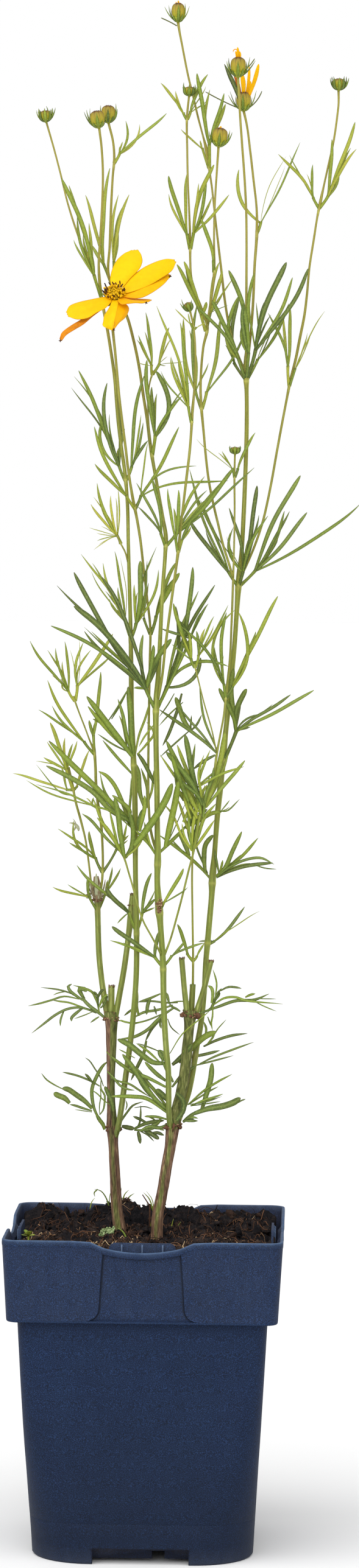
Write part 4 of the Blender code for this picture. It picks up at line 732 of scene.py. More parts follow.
        (31.5, 432, -2, -4, 4, [(27.2, 438.8, 0.6), (25.6, 438.1, 0.5), (17, 443.6, 0.3)]),
        (33.5, 432, 2, 3, 2, [(40.4, 446.2, 1.1)])]),
    "tuft_s3": ("shoot_middle", 8, 469, 0.6, [
        (-1.2, 473, -2, -3, 6,
         [(-4, 493.6, 1.1), (-6.4, 484.7, 0.8), (-7.3, 482.9, 0.6), (-7, 473.7, 0.3)]),
        (2, 473.5, 2, 3, 4, [(5.7, 487.7, 1.3), (6.8, 483.6, 0.5), (4.4, 472.6, 0.3), (12, 474.5, 0.3)])]),
    "tuft_u3": ("shoot_middle", 5, 487, 0.6, [
        (14.2, 489.5, -2, -3, 3, [(8, 495.3, 0.5), (13.2, 493.5, 0.5)]),
        (16.5, 488, 2, 3, 2, [(20.3, 489.7, 0.4)])]),
    "tuft_v2": ("shoot_middle", 7, 510, 0.5, [
        (23, 514.5, -2, -3, 2, [(17.7, 530.8, 1.5)])]),
    "tuft_z2": ("shoot_middle", 6, 570.3, 0.5, [
        (10.5, 573, -1, -3, 3, [(1.3, 584.5, 1), (7.2, 578.3, 0.7), (7.4, 581.5, 0.8)]),
        (13.3, 573.5, 1, 2, 2, [(20.1, 588.1, 1.2), (19.5, 577.4, 0.5)])]),
    "tuft_j2": ("cane_left", 5, 295.5, 0.7, [
        (-23.5, 297, 3, 6, 4, [(-50, 306.3, 0.7), (-25.9, 299.8, 0.5), (-22.9, 300, 0.8)])]),
    "tuft_y0": ("shoot_right", 1, 525.5, 0.4, [
        (41.7, 530, 1, 7, 4, [(33, 550.6, 3, 1.3), (56.8, 561.5, 0.7), (51.2, 556, 0.3)])]),
    "tuft_d8": ("shoot_middle", 0, 552.7, 0.5, [
        (-14.5, 557, -1, -2, 4, [(3.7, 572.8, 1.2), (-12.2, 569.5, -2, 0.9), (-14.4, 559.5, 0.8)])]),
}

# leaves whose lobes are drawn one by one: tone, then each lobe's width, its depth at the foot and at the
# tip, and its line (x, z)
fronds = {
    "leaf_a2": (0.2, [
        (1.3, 2, 6, -16.5, 210.5, -20, 213.5, -23.5, 216, -26, 218.5, -27, 220.5),
        (1.7, 6, 4, -26, 219, -27.5, 221.5, -28, 223, -26, 223, -25, 222),
        (1.2, 5, 8, -26.5, 218.5, -29.5, 220.5, -31.5, 222, -32.5, 224, -31, 225),
        (0.65, 6, 9, -28.5, 220, -32, 221.5, -35.5, 222.5, -38.5, 223, -43.5, 223.5),
        (0.45, 8, 9, -33, 222, -36, 221.5, -38.5, 220.5),
        (0.75, 5, 9, -28, 219, -34, 220, -39, 218.5, -44, 217, -48.5, 216),
        (0.7, 4, 8, -22.5, 214.5, -27.5, 216, -32, 217.5, -36, 218, -39, 218.5),
        (1, 4, 1, -21, 213.5, -27, 215.5, -32.5, 215, -37.5, 212.5, -42, 209, -47, 205),
        (0.8, 3, 1, -34, 214.5, -35, 212, -35.5, 210, -35.5, 208),
        (1.15, 4, 1, -26.5, 215.5, -29, 213.5, -31, 211.5, -31, 210),
        (0.45, 4, 7, -22.5, 214, -26, 212.5, -30, 211), (0.7, 3, 0, -20, 212, -21.5, 211, -23.5, 209.5),
        (0.95, 3, -2, -20, 213.5, -20.5, 217, -21.5, 219.5, -23, 222, -26.5, 223.5, -30.5, 224.5),
        (0.8, 2, -1, -20.5, 216, -20.5, 219.5, -21.5, 221.5, -23, 222),
        (1, 2, -3, -21, 218.5, -20, 221, -19, 222.5, -18, 223),
        (1.1, 1, -3, -20, 216, -19, 218.5, -18, 220, -16.5, 221),
        (0.9, 1, -2, -19.5, 215.5, -18, 217, -17, 219.5, -16.5, 220.5),
        (0.75, 0, -4, -12, 210.5, -11, 210.5, -9.5, 210, -5.5, 209.5, -1, 210.5)]),
    "leaf_a1": (0.16, [
        (1.5, 1, -1, -17.5, 166.5, -18, 168.5, -19.5, 170.5, -21, 173), (1.35, -1, 4, -19.5, 170.5, -21.5,
        174.5, -22.5, 179, -22.5, 183.5, -20.5, 188.5, -18.5, 192, -16.5, 194),
        (1.95, -1, -5, -22.5, 175, -25.5, 178, -29, 180.5, -32, 182.5, -34.5, 183),
        (0.6, -4, -7, -34, 182.5, -38, 184.5, -41, 186.5, -43, 189),
        (0.95, -1, -3, -22.5, 174, -26, 175, -29, 176, -31.5, 176.5),
        (2.1, -3, -5, -31.5, 177, -33.5, 179, -36, 180, -38, 181),
        (0.35, -1, -3, -22.5, 173.5, -26, 174, -29.5, 174.5),
        (0.45, 1, 3, -19.5, 173, -19.5, 176.5, -19, 180.5, -19.5, 183.5),
        (0.8, 2, -2, -19.5, 184, -23, 186, -28, 188, -32, 189, -34.5, 189.5),
        (1, 1, -1, -22.5, 185.5, -24, 187.5, -25.5, 189),
        (0.55, 3, 5, -18, 184, -19.5, 188, -21.5, 191, -23.5, 194, -25.5, 195.5),
        (0.75, 1, 3, -19.5, 172.5, -18, 174.5, -17.5, 177.5, -17.5, 180.5, -19, 183, -19, 187.5),
        (0.5, -2, -4, -23, 182.5, -20.5, 181, -18, 178.5, -14.5, 176),
        (1.7, -4, -6, -14, 174, -14.5, 177, -16, 181, -17.5, 184),
        (0.9, -3, -7, -16.5, 190, -14, 187.5, -11.5, 184.5, -8.5, 183, -5.5, 182.5),
        (0.8, -3, -6, -15, 187.5, -11.5, 186, -7.5, 185, -3.5, 182.5, 0.5, 180),
        (0.55, -2, -4, -17, 198, -14, 195, -11, 192),
        (0.85, 3, 6, -11.5, 168, -10.5, 170.5, -8.5, 173.5, -6, 176.5, -2, 178),
        (0.5, 4, 6, -9, 174.5, -8.5, 176.5, -9, 178.5), (0.4, 4, 8, -5.5, 175.5, -1.5, 176, 2, 175)]),
    "leaf_l0": (0.12, [
        (1.7, 5, 6, -10.5, 168, -8, 167.5, -5.5, 167),
        (0.75, 6, 7, -5, 167, -3.5, 169, -3, 172.5, -3, 176.5),
        (1.4, 6, 4, -5.5, 167, -1.5, 169, 2.5, 170, 6.5, 170.5), (0.8, 5, 3, 3, 170.5, 0.5, 172, -1.5, 172),
        (1.1, 6, 5, -0.5, 169.5, -3.5, 171, -6, 172), (1, 6, 3, -5.5, 166.5, -1, 166.5, 3.5, 167.5),
        (1.4, 6, 6, -4, 166, -3.5, 164, -3, 161), (0.6, 6, 4, -3, 166, 0, 164.5, 2.5, 162),
        (1.7, 5, 3, -1.5, 166.5, 1.5, 165, 4.5, 163), (1.3, 5, 3, 0.5, 167.5, 2, 168.5, 4, 169.5, 5.5, 172),
        (1.2, 4, 2, 2, 165.5, 4, 165.5, 6.5, 164.5), (1, 4, 2, 3, 168.5, 4.5, 167.5, 6.5, 166.5)]),
    "leaf_b2": (0.18, [
        (0.9, -2, 0, 12.5, 214.5, 11, 215.5, 9, 216.5, 8, 218), (1, 0, 1, 8, 217.5, 7.5, 220, 7, 222),
        (0.65, -1, 3, 10, 216, 4.5, 213, -1.5, 210.5, -7, 209.5, -11.5, 210.5),
        (1.25, -2, 2, 10, 216, 4.5, 212, -0.5, 207, -6, 204, -12, 203),
        (0.95, -1, 2, 4.5, 211, 1, 207, -1.5, 202), (1.3, 1, 4, -1, 202.5, -2, 197.5, -4.5, 192, -7, 186.5),
        (1.05, 0, 4, 9.5, 217, 3.5, 215, -2, 214, -6.5, 211.5),
        (0.75, 0, 4, 11.5, 218, 6, 218, 1, 218.5, -4.5, 218),
        (0.5, -1, 2, 16, 218.5, 11.5, 218.5, 6.5, 217.5), (1.35, 3, 2, 0.5, 219.5, -0.5, 217, -1, 213),
        (0.95, 2, 5, 4.5, 221.5, 0, 219.5, -4.5, 218), (1.2, 4, 4, -4, 212.5, -5, 216.5, -4.5, 222),
        (0.75, 2, 1, 2, 216.5, 2.5, 215, 3, 213), (0.9, 3, 5, -5, 216, -7.5, 214.5, -10, 212.5),
        (0.5, -1, 1, 7.5, 211.5, 9, 208, 12.5, 205), (0.9, 0, -1, 5, 211.5, 4.5, 209.5, 5, 207.5),
        (1.1, -5, -11, 20.5, 214, 24.5, 215.5, 26, 218.5, 27.5, 222, 29, 224),
        (0.85, -9, -13, 28.5, 223, 31.5, 224.5, 34.5, 224.5, 37, 224),
        (1.15, -6, -16, 22, 214.5, 27.5, 216.5, 34.5, 219, 42, 219.5, 48, 222),
        (0.9, -8, -17, 26, 217.5, 30, 220, 34.5, 220.5, 40, 219, 53.5, 218),
        (0.45, -14, -18, 42, 219, 46, 217, 51, 215), (0.9, -13, -15, 38.5, 220.5, 40.5, 221.5, 42.5, 222),
        (0.4, -15, -18, 42.5, 220, 46.5, 220, 51, 220),
        (1.25, -9, -6, 25, 218, 25.5, 221.5, 25, 224, 23.5, 225),
        (0.65, -9, -8, 26.5, 220.5, 27, 226, 25.5, 231.5),
        (0.65, -8, -6, 25.5, 217.5, 25.5, 213, 25, 210, 25.5, 207),
        (0.6, -5, -4, 23.5, 212.5, 24.5, 210, 25.5, 208), (0.9, -8, -12, 26, 218.5, 28, 221.5, 27.5, 223)]),
    "leaf_b1": (0.12, [
        (1.5, -7, -9, 14, 170, 16.5, 172, 19, 174),
        (2.3, -9, -18, 18.5, 173.5, 24, 175.5, 29.5, 176.5, 34, 178, 37, 180),
        (0.55, -17, -19, 36, 178, 37.5, 179, 39, 179.5), (1, -8, -10, 14.5, 170.5, 17, 170.5, 20, 170.5),
        (0.8, -9, -11, 16.5, 171.5, 18, 172, 20, 171.5),
        (2, -9, -12, 21.5, 175, 23.5, 182, 25, 187.5, 25.5, 194),
        (0.85, -8, -14, 16, 177, 22, 182.5, 28, 186.5, 33.5, 189.5),
        (0.9, -9, -14, 17, 176.5, 22.5, 179, 26, 180, 30, 181.5),
        (0.5, -9, -13, 15, 177, 22.5, 178, 29.5, 180.5), (0.5, -9, -13, 17, 176.5, 23.5, 177.5, 29, 178.5),
        (2, -9, -11, 11.5, 170.5, 14, 174.5, 14, 178.5, 11, 182),
        (2.1, -8, -10, 8.5, 178, 5.5, 181, 3, 183),
        (1.9, -8, -12, 8, 174.5, 2, 180, -3.5, 187.5, -6.5, 192, -10.5, 197),
        (1.4, -9, -10, 7, 184, 0, 187.5, -7.5, 190.5, -15.5, 196.5),
        (1.5, -8, -11, 8, 173.5, 0, 179, -6.5, 180, -15, 180),
        (1.3, -7, -9, 7.5, 176, 3, 182, -1, 186.5, -5, 192), (1.2, -7, -8, 1, 180, -2, 184, -4.5, 188),
        (1, -7, -9, 7.5, 171, 3, 172, -1.5, 172), (1.3, -6, -5, 8, 169, 4.5, 167.5, 0.5, 168, -3.5, 166)]),
    "leaf_e0": (0.25, [
        (2.1, -9, -12, 6.5, 193.5, 1.5, 194, -3.5, 197.5, -8, 201, -12.5, 203),
        (0.85, -9, -11, 4.5, 194, -0.5, 198.5, -5, 201.5), (0.55, -9, -11, 5, 198, 0, 200, -4.5, 201.5),
        (1.5, -8, -10, 7, 186.5, 3, 189.5, -1.5, 194), (0.5, -10, -12, -5.5, 195.5, -9, 197.5, -12, 199),
        (1.2, -9, -10, 10, 186, 8, 189.5, 5, 195.5), (1.6, -10, -9, 7, 194.5, 5, 196.5, 4, 199),
        (0.9, -10, -9, 5.5, 195, 6, 197.5, 4.5, 199),
        (0.5, -8, -9, 8.5, 197.5, 13.5, 205.5, 21, 212, 24.5, 215)]),
    "leaf_e1": (0.22, [
        (1.9, -2, -7, 9.5, 193, 13.5, 196.5, 17.5, 201.5),
        (2.2, 0, -3, 12, 194, 17.5, 200, 22.5, 204.5, 27, 206.5),
        (1.15, 4, 14, 22, 200.5, 27, 203, 33, 205, 39.5, 206),
        (1.2, 0, 7, 13.5, 195.5, 21, 197, 25, 198, 28.5, 199),
        (0.85, 2, 12, 20.5, 193.5, 26.5, 196.5, 34, 199.5, 42, 202.5),
        (0.7, 0, 8, 17.5, 192.5, 25, 194.5, 34, 197), (1.25, -2, 0, 9.5, 184, 14, 189.5, 19, 192.5),
        (0.45, 5, 10, 25, 203.5, 27.5, 207.5, 31, 211.5), (0.8, 3, 6, 23.5, 201.5, 25.5, 204, 26.5, 206.5),
        (0.9, 3, 5, 22.5, 204.5, 23, 207.5, 22, 210.5), (1.5, -3, -6, 11.5, 195, 14.5, 196.5, 14, 199)]),
    "leaf_d3": (0.42, [
        (1.2, -12, -15, 2, 277.5, -0.5, 281.5, -3.5, 284.5, -6, 287),
        (0.9, -13, -16, 0.5, 279.5, -1, 284, -2, 287.5, -2.5, 290.5),
        (2.5, -14, -20, -6.5, 281, -3, 285.5, 2, 292.5, 6, 299.5, 8.5, 306),
        (1.6, -13, -17, -4.5, 286.5, -3.5, 291, -2.5, 296, -2.5, 301),
        (2, -12, -14, -4.5, 287, -4.5, 290.5, -3.5, 293.5, -2.5, 295.5),
        (1.3, -11, -9, 3, 277.5, 7, 281.5, 10.5, 285, 14, 288.5),
        (1.9, -9, -6, 14, 288, 16, 292, 16, 296, 16, 300),
        (1.7, -9, -3, 14, 288.5, 19, 291, 24, 294, 28.5, 295),
        (0.5, -4, -2, 28, 295, 30, 297.5, 31.5, 299.5), (0.6, -4, -1, 27.5, 295, 31, 295.5, 35.5, 300),
        (2.3, -12, -18, 6, 280.5, 7, 285.5, 8.5, 292.5, 10, 300, 11, 307),
        (0.5, -10, -4, 6.5, 281.5, 13, 288, 20, 295)]),
    "leaf_p1": (0.5, [
        (1.4, -12, -16, -10, 275.5, -13, 280.5, -17, 287, -21.5, 292),
        (2, -13, -17, -10.5, 276.5, -12, 285, -13, 293, -14.5, 300),
        (1, -13, -14, -12.5, 279, -14.5, 286.5, -16.5, 295),
        (1.1, -12, -18, -11.5, 278, -17.5, 283.5, -23.5, 290.5, -27.5, 293.5),
        (1.2, -12, -15, -14.5, 282.5, -19, 289.5, -23, 299.5),
        (1.8, -11, -9, -10, 276, -7.5, 280.5, -7, 287.5, -8.5, 294.5),
        (0.9, -12, -14, -11.5, 279.5, -10.5, 284.5, -9.5, 290),
        (0.8, -12, -10, -9.5, 276.5, -6, 279.5, -3, 283.5)]),
    "leaf_l1": (0.5, [
        (1.3, -10, -13, 21.5, 295.5, 21, 298, 19.5, 301.5),
        (1.8, -13, -20, 20.5, 298, 16, 306.5, 10, 314, 6, 318.5),
        (1.7, -13, -18, 20, 299.5, 15, 306.5, 9.5, 316, 6, 323),
        (2, -12, -16, 19, 301.5, 16.5, 310, 15, 318, 13.5, 325.5),
        (1.1, -11, -13, 18, 304, 16.5, 312.5, 17.5, 322),
        (1.7, -14, -19, 15, 299, 12.5, 304.5, 10.5, 310, 8, 317.5),
        (1, -13, -15, 15, 302.5, 10.5, 307.5, 3.5, 317.5), (1, -12, -12, 19, 305.5, 20, 310.5, 23.5, 319.5),
        (1, -11, -10, 18.5, 304.5, 23.5, 307.5, 29.5, 310.5, 37, 313),
        (2, -10, -5, 21.5, 296.5, 25, 305.5, 28, 317, 29.5, 327),
        (1.4, -10, -4, 22, 296.5, 28, 304, 33.5, 310.5, 37.5, 315.5),
        (1.2, -13, -17, 20.5, 297.5, 18.5, 301.5, 13.5, 305.5, 9, 310),
        (1, -12, -15, 19, 296, 20, 301.5, 19, 310, 21, 317.5), (0.8, -12, -16, 13, 299, 10.5, 304, 9, 314)]),
    "leaf_k0": (0.6, [
        (1.1, -12, -9, 17, 278.5, 16, 284.5, 13, 293.5, 10.5, 300.5),
        (1, -12, -10, 17, 279, 18.5, 287, 20, 296, 21.5, 305.5),
        (0.9, -12, -13, 16.5, 279.5, 15.5, 287, 15, 295.5, 15, 301.5),
        (1.1, -11, -8, 17, 279, 21.5, 285.5, 25.5, 291.5),
        (0.9, -12, -14, 16.5, 279, 12.5, 285, 9, 293, 5, 298),
        (1.3, -11, -9, 17, 279.5, 19, 285, 21.5, 292.5, 26, 298),
        (1.2, -12, -12, 16.5, 281, 17, 289.5, 18.5, 297, 19, 304),
        (0.8, -12, -13, 16.5, 279.5, 13.5, 285, 12.5, 290),
        (1.5, -12, -15, 19, 294.5, 16.5, 299, 12.5, 307.5, 10, 315.5),
        (1.2, -12, -14, 18.5, 292, 15, 298, 12, 302, 9.5, 304.5),
        (1.6, -12, -13, 20, 294, 19, 299.5, 17, 305.5, 15.5, 310),
        (1.2, -13, -14, 16, 292, 14, 298, 12.5, 305.5, 12, 310),
        (1.3, -11, -9, 21, 292.5, 22, 301.5, 24.5, 308, 25, 312.5),
        (1.5, -12, -10, 13, 290.5, 15.5, 295.5, 19, 300.5, 22.5, 305.5)]),
    "leaf_m1": (0.3, [
        (1.3, -7, 3, 26, 318.5, 21, 323, 15, 327.5, 9, 331.5, 3, 335.5),
        (0.9, -6, 1, 25.5, 319, 20, 326, 15, 331.5, 11, 336.5),
        (1.9, 0, 2, 16, 327, 13, 331, 11, 336.5, 9.5, 340.5), (0.85, 0, 3, 15.5, 327, 18, 329.5, 20, 333.5),
        (0.7, 0, 3, 15, 327, 10, 322.5, 3.5, 316.5), (0.6, 2, 4, 12.5, 338.5, 7.5, 334, 3, 329),
        (0.5, 2, 5, 9, 342, 6.5, 337.5, 3, 332.5), (1.2, -8, -7, 25.5, 317.5, 21, 315, 16.5, 311.5),
        (0.9, -7, -7, 26, 320, 21, 332, 19, 344.5), (1.2, 2, 4, 12, 342, 10, 334.5, 7, 326, 4.5, 321)]),
    "leaf_e3": (0.3, [
        (1.25, 9, 14, 24, 268, 20.5, 272, 15.5, 276.5, 9.5, 281, 3, 285.5),
        (1.9, 8, 6, 22, 271, 21.5, 276, 22, 281.5, 25, 285.5), (0.8, 10, 12, 23, 270, 19, 279, 17.5, 285),
        (1.9, 12, 14, 15.5, 277, 13.5, 282.5, 11.5, 286.5), (0.8, 11, 14, 19, 273.5, 13, 278.5, 8, 284),
        (1.6, 7, 1, 26.5, 269, 30, 272.5, 33, 279.5, 36.5, 287),
        (1.5, 7, -1, 26.5, 268.5, 31.5, 271, 37.5, 273, 43.5, 274, 49, 274.5),
        (0.9, 7, 5, 27.5, 269.5, 28.5, 273, 29, 275.5),
        (1.1, 6, -2, 27, 269, 31.5, 272.5, 37.5, 275.5, 44, 276.5, 49.5, 274),
        (0.9, 7, 6, 27.5, 270, 26.5, 275, 25.5, 280), (1.2, 6, 0, 31.5, 272.5, 37.5, 278, 43, 284.5),
        (0.5, 2, -3, 41, 274, 45.5, 272.5, 50.5, 272)]),
    "leaf_c3": (0.42, [
        (2.1, -9, -16, -7.5, 316.5, -12, 322.5, -19, 331.5, -26, 340.5),
        (1.3, -8, -13, -8, 317.5, -14, 323.5, -19.5, 329.5, -23.5, 331.5),
        (1.5, -9, -17, -9, 318.5, -16, 325.5, -21, 331, -25.5, 336.5),
        (0.8, -8, -11, -9.5, 319, -10.5, 324.5, -11.5, 329.5, -13, 333),
        (1.3, -9, -13, -8, 318, -10, 325.5, -11.5, 333, -13.5, 339.5),
        (2, -8, -10, -7, 317, -8, 324.5, -8.5, 334.5, -9.5, 344.5),
        (0.9, -7, -4, -5.5, 317.5, -2, 321.5, 1, 326, -2, 330.5),
        (0.9, -7, -4, -6.5, 317, -5, 325, -2.5, 332, -1, 338),
        (0.7, -8, -12, -9.5, 318.5, -15.5, 321.5, -21.5, 325.5),
        (0.6, -8, -13, -16, 331.5, -13, 336.5, -9, 344.5),
        (0.6, -9, -13, -17.5, 330.5, -13.5, 336.5, -10, 343),
        (1.5, -6, -3, -5.5, 318, -2.5, 313.5, 1.5, 305.5),
        (1.1, -6, -9, -7.5, 309.5, -13.5, 316, -19.5, 323), (0.7, -7, -9, 1.5, 330, -2.5, 325, -5, 320.5)]),
    "leaf_c2": (0.4, [
        (2, -4, -12, -6.5, 287, -9, 291, -14, 296, -22.5, 304.5, -32.5, 314, -41, 322.5),
        (1.9, -5, -11, -6.5, 287, -9, 291, -16, 295, -23.5, 302.5, -32.5, 308, -42, 312.5),
        (1.5, -3, -5, -6.5, 287, -9, 291, -10.5, 296, -14, 304, -17.5, 308.5, -21, 310.5),
        (0.8, -6, -12, -6.5, 287, -15, 294, -23.5, 297, -33.5, 301.5, -46, 305),
        (1.6, -6, -4, -6.5, 287, -9, 291, -8.5, 295, -12, 298.5, -15.5, 301),
        (0.9, -4, -5, -6.5, 287, -9, 291, -8.5, 296, -8, 302.5, -8, 308),
        (1.7, -3, 0, -2.5, 296, -4.5, 302.5, -5, 309.5, -6.5, 314),
        (1.2, -2, 2, -1.5, 296, -1.5, 304, -4, 312), (0.5, -6, -10, -30, 300.5, -37, 302.5, -46, 313),
        (1, -5, -8, -6.5, 287, -9, 291, -14, 296, -18.5, 302.5, -20.5, 310),
        (0.9, -4, -2, -1, 298.5, 0.5, 304, 1, 311)]),
}


stemStyle = {
    "step": 1.6,  # mm between rings
    "columns": ((1.6, 30), (0.9, 20), (0.0, 10)),  # points round a run that is thicker than the first number
    "thickFrom": 1.6,  # runs as thick as this have no ridges
    "ridges": 5,
    "ridgeDepth": 0.06,
    "knotSwell": 0.14,
    "knotReach": 1.4,
    "slimFrom": 335.0,  # above this height the young growth is slimmer than its solid
    "slimOver": 40.0,
    "slimBy": 0.24,
    "slimRight": 0.3,  # how much of that the right shoot takes part in
    "twigBelow": 0.75,  # a run with a smaller radius is a twig
    "twigSlim": 0.82,
}


def stemPoint(stem, run, z):  # centre in mm and direction where a run reaches height z
    points = stemTable[stem][run]
    for low, high in zip(points, points[1:]):
        if low[2] <= z <= high[2]:
            share = (z - low[2]) / (high[2] - low[2])
            ahead = (lay(*high[:3]) - lay(*low[:3])).normalized()
            return [a + (b - a) * share for a, b in zip(low[:3], high[:3])], ahead
    raise ValueError(stem)


ages = {  # 0 bark, 0.5 old green, 1 pale young green
    "caneFrom": 150.0,  # an old cane is bark up to here, and turns green over the next stretch
    "caneOver": 120.0,
    "caneMost": 0.5,
    "brownArm": ("cane_left", 1, 257.0, 0.1),  # this run is brown again above a height
    "arm": 0.44,
    "armTwig": 0.78,
    "armRadius": 0.9,  # an arm with a smaller radius is a twig
    "shoot": (0.42, 175.0, 780.0),  # age at a height, and the mm for one whole step of age
    "shootTwig": (0.72, 300.0, 900.0),
    "shootRadius": 0.8,
    "shootLeast": 0.4,
    "shootMost": 0.98,
}


def stemAge(stem, run, z, radius):
    if stem.startswith("cane"):
        if run == 0:
            return min(max((z - ages["caneFrom"]) / ages["caneOver"], 0.0), ages["caneMost"])
        brownStem, brownRun, brownFrom, brown = ages["brownArm"]
        if (stem, run) == (brownStem, brownRun) and z > brownFrom:
            return brown
        return ages["arm" if radius > ages["armRadius"] else "armTwig"]
    age, level, span = ages["shootTwig" if radius < ages["shootRadius"] else "shoot"]
    return min(max(age + (z - level) / span, ages["shootLeast"]), ages["shootMost"])


# heights of the joints that the drawn leaves grow from, by stem and run
frondJoints = {
    ("shoot_middle", 0): [274.5], ("shoot_middle", 1): [279.5], ("shoot_middle", 2): [293.5, 315.5],
    ("shoot_right", 0): [196.5, 265.5], ("shoot_left", 0): [281.5, 313.5]
}


def knotsOf(stem, run):
    marks = [entry[2] for entry in leafTable.values() if entry[:2] == (stem, run)]
    return frondJoints.get((stem, run), []) + marks


def slimmed(stem, z, radius):
    if radius < stemStyle["twigBelow"]:
        return radius * stemStyle["twigSlim"]
    share = min(max((z - stemStyle["slimFrom"]) / stemStyle["slimOver"], 0.0), 1.0)
    if stem == "shoot_right":
        share *= stemStyle["slimRight"]
    return radius * (1.0 - stemStyle["slimBy"] * share)


# where each shoot grows out of its cane: x, depth, z, radius
shootRoots = {
    "shoot_left": (-13.2, 3.0, 163.0, 1.0),
    "shoot_middle": (9.4, -5.8, 166.6, 1.3),
    "shoot_right": (11.2, -3.8, 168.2, 1.3),
}


def makeStem(stem, finish, slot):
    weave = Weave()
    sprigs = Weave()  # the thin young growth of an old cane
    rough = random.Random(stem)
    cane = stem.startswith("cane")
    for run, waypoints in enumerate(stemTable[stem]):
        if run == 0 and not cane:
            waypoints = [shootRoots[stem]] + waypoints
        places, radii = smoothRun(waypoints, stemStyle["step"])
        marks = knotsOf(stem, run)
        thick = max(radii) > stemStyle["thickFrom"] * mm
        tints = []
        swollen = []
        for place, radius in zip(places, radii):
            z = place.z / mm
            near = max([math.exp(-((z - mark) / stemStyle["knotReach"]) ** 2) for mark in marks] or [0.0])
            tints.append((stemAge(stem, run, z, radius / mm), z / 620, near, rough.random()))
            swollen.append(slimmed(stem, z, radius / mm) * mm * (1 + stemStyle["knotSwell"] * near))
        count = next(number for least, number in stemStyle["columns"] if max(radii) > least * mm)
        green = cane and run > 0
        ridges = stemStyle["ridges"] if green or not thick else 0
        tube(sprigs if green else weave, places, swollen, count, tints, stemStyle["ridgeDepth"], ridges)
    made = weave.piece(stem + "_fine", finish, slot, (stem,))
    if cane:
        fissure(made, stem)
        sprigs.piece(stem + "_sprigs", finishes["stem"], "green_stem")


barkStyle = {
    "cracks": ((1.4, 0.07, 0.12), (4.0, 0.25, 0.08)),  # how close across and along the cane, depth in mm
    "brownTo": 211.0,  # below this height the sides of an old cane are brown
    "lowTo": 168.0,
    "back": 0.08,
    # where its bark is green below and above the first joint: across (-1 left to 1 right), half-width of the
    # green band, how green
    "cane_left": {"low": (-0.15, 0.72, 0.4), "high": (0.5, 0.95, 0.5)},
    "cane_right": {"low": (-0.1, 0.62, 0.38), "high": (0.0, 1.6, 0.5)},
}


def fissure(made, stem):  # shallow cracks, and brown sides to a greener front
    layer = made.data.color_attributes["tint"]
    for k, vert in enumerate(made.data.vertices):
        place = vert.co / mm
        depth = 0.0
        for across, along, size in barkStyle["cracks"]:
            depth += noise.noise(Vector((place.x * across, place.y * across, place.z * along))) * size
        vert.co += vert.normal * depth * mm
        color = list(layer.data[k].color)
        if place.z < barkStyle["brownTo"]:
            middle, half, green = barkStyle[stem]["low" if place.z < barkStyle["lowTo"] else "high"]
            off = abs(vert.normal.x - middle) / half
            color[0] = green * max(0.0, 1.0 - off ** 3) if vert.normal.y < 0 else barkStyle["back"]
            layer.data[k].color = color


# the lumpy scars round the joints of the canes: x, depth, z, reach
caneScars = [
    (-14.2, 3, 167.6, 2.9), (10.2, -5, 168.6, 3.3), (-15.2, 2, 211.4, 3.2), (16.6, -4, 213.0, 3.6),
    (-21, 6.5, 259.6, 1.8), (-7.6, 3.8, 257.0, 1.4), (17.4, -2.5, 225.0, 1.1)
]


# single knobs beside the lowest joints
nodeLumps = [
    (-11.9, 1.2, 167.0, 1.7), (-16.4, 1.6, 166.2, 1.1), (-17.6, 1.4, 211.0, 1.4), (-15.6, 0.2, 211.3, 1.0),
    (7.2, -6.6, 167.6, 1.6), (10.2, -7.6, 168.0, 1.9), (12.8, -6.2, 168.0, 1.4), (13.6, -6, 213.2, 1.4),
    (19.4, -6, 212.8, 1.6), (16.8, -7, 212.6, 0.9), (-22.7, 5.4, 258.9, 0.9), (-19.4, 5.0, 258.7, 0.9),
    (-21, 4.6, 258.4, 0.7)
]


def makeScars():
    weave = Weave()
    rough = random.Random(17)
    for x, depth, z, reach in caneScars:
        centre = lay(x, depth, z)
        count = int(14 + reach * 4)
        for k in range(count):  # biggest at the two sides, small across the front
            turn = tau * k / count + rough.uniform(-0.2, 0.2)
            out = Vector((math.cos(turn), math.sin(turn), rough.uniform(-0.22, 0.22)))
            girth = (0.28 + 0.46 * abs(out.x) ** 2) * rough.uniform(0.75, 1.2) * reach / 2.8
            place = centre + out * (reach - 0.6 * girth) * mm
            clump(weave, place, girth * mm, rough.uniform(0.48, 0.92), rough)
    for x, depth, z, size in nodeLumps:
        clump(weave, lay(x, depth, z), size * 0.8 * mm, 0.6, rough)
    weave.piece("caneScars", finishes["fibre"], "cane_bark")


# torn brown sheaths at the top of the first cane's arm: tip x, depth, z, how pale, width
sheathTips = [
    (-24.6, 4, 268.4, 0.5, 1.3), (-23.6, 3, 265.6, 0.2, 1.0), (-18.0, 4, 267.2, 0.4, 1.2),
    (-17.2, 6, 264.8, 0.1, 0.9), (-21.6, 3, 269.6, 0.75, 1.6), (-20.2, 3, 266.6, 0.3, 1.0),
    (-24.4, 8, 264.4, 0.2, 0.9), (-21.8, 9.5, 267.8, 0.4, 1.2)
]


cuts = {
    # the runs that end in a cut
    "ends": (("cane_left", 0), ("cane_left", 2), ("cane_left", 3), ("cane_right", 0), ("cane_right", 1),
             ("cane_right", 3)),
    "fibres": 22,
    "fibresPerMm": 10,  # more of them for each mm of the cane's radius
    "wound": (3.8, -13.3, 256.8),  # torn rind on the front of the middle shoot
    "woundCrumbs": 60,
    "sheathFoot": (-21, 6.5, 259.6),
}


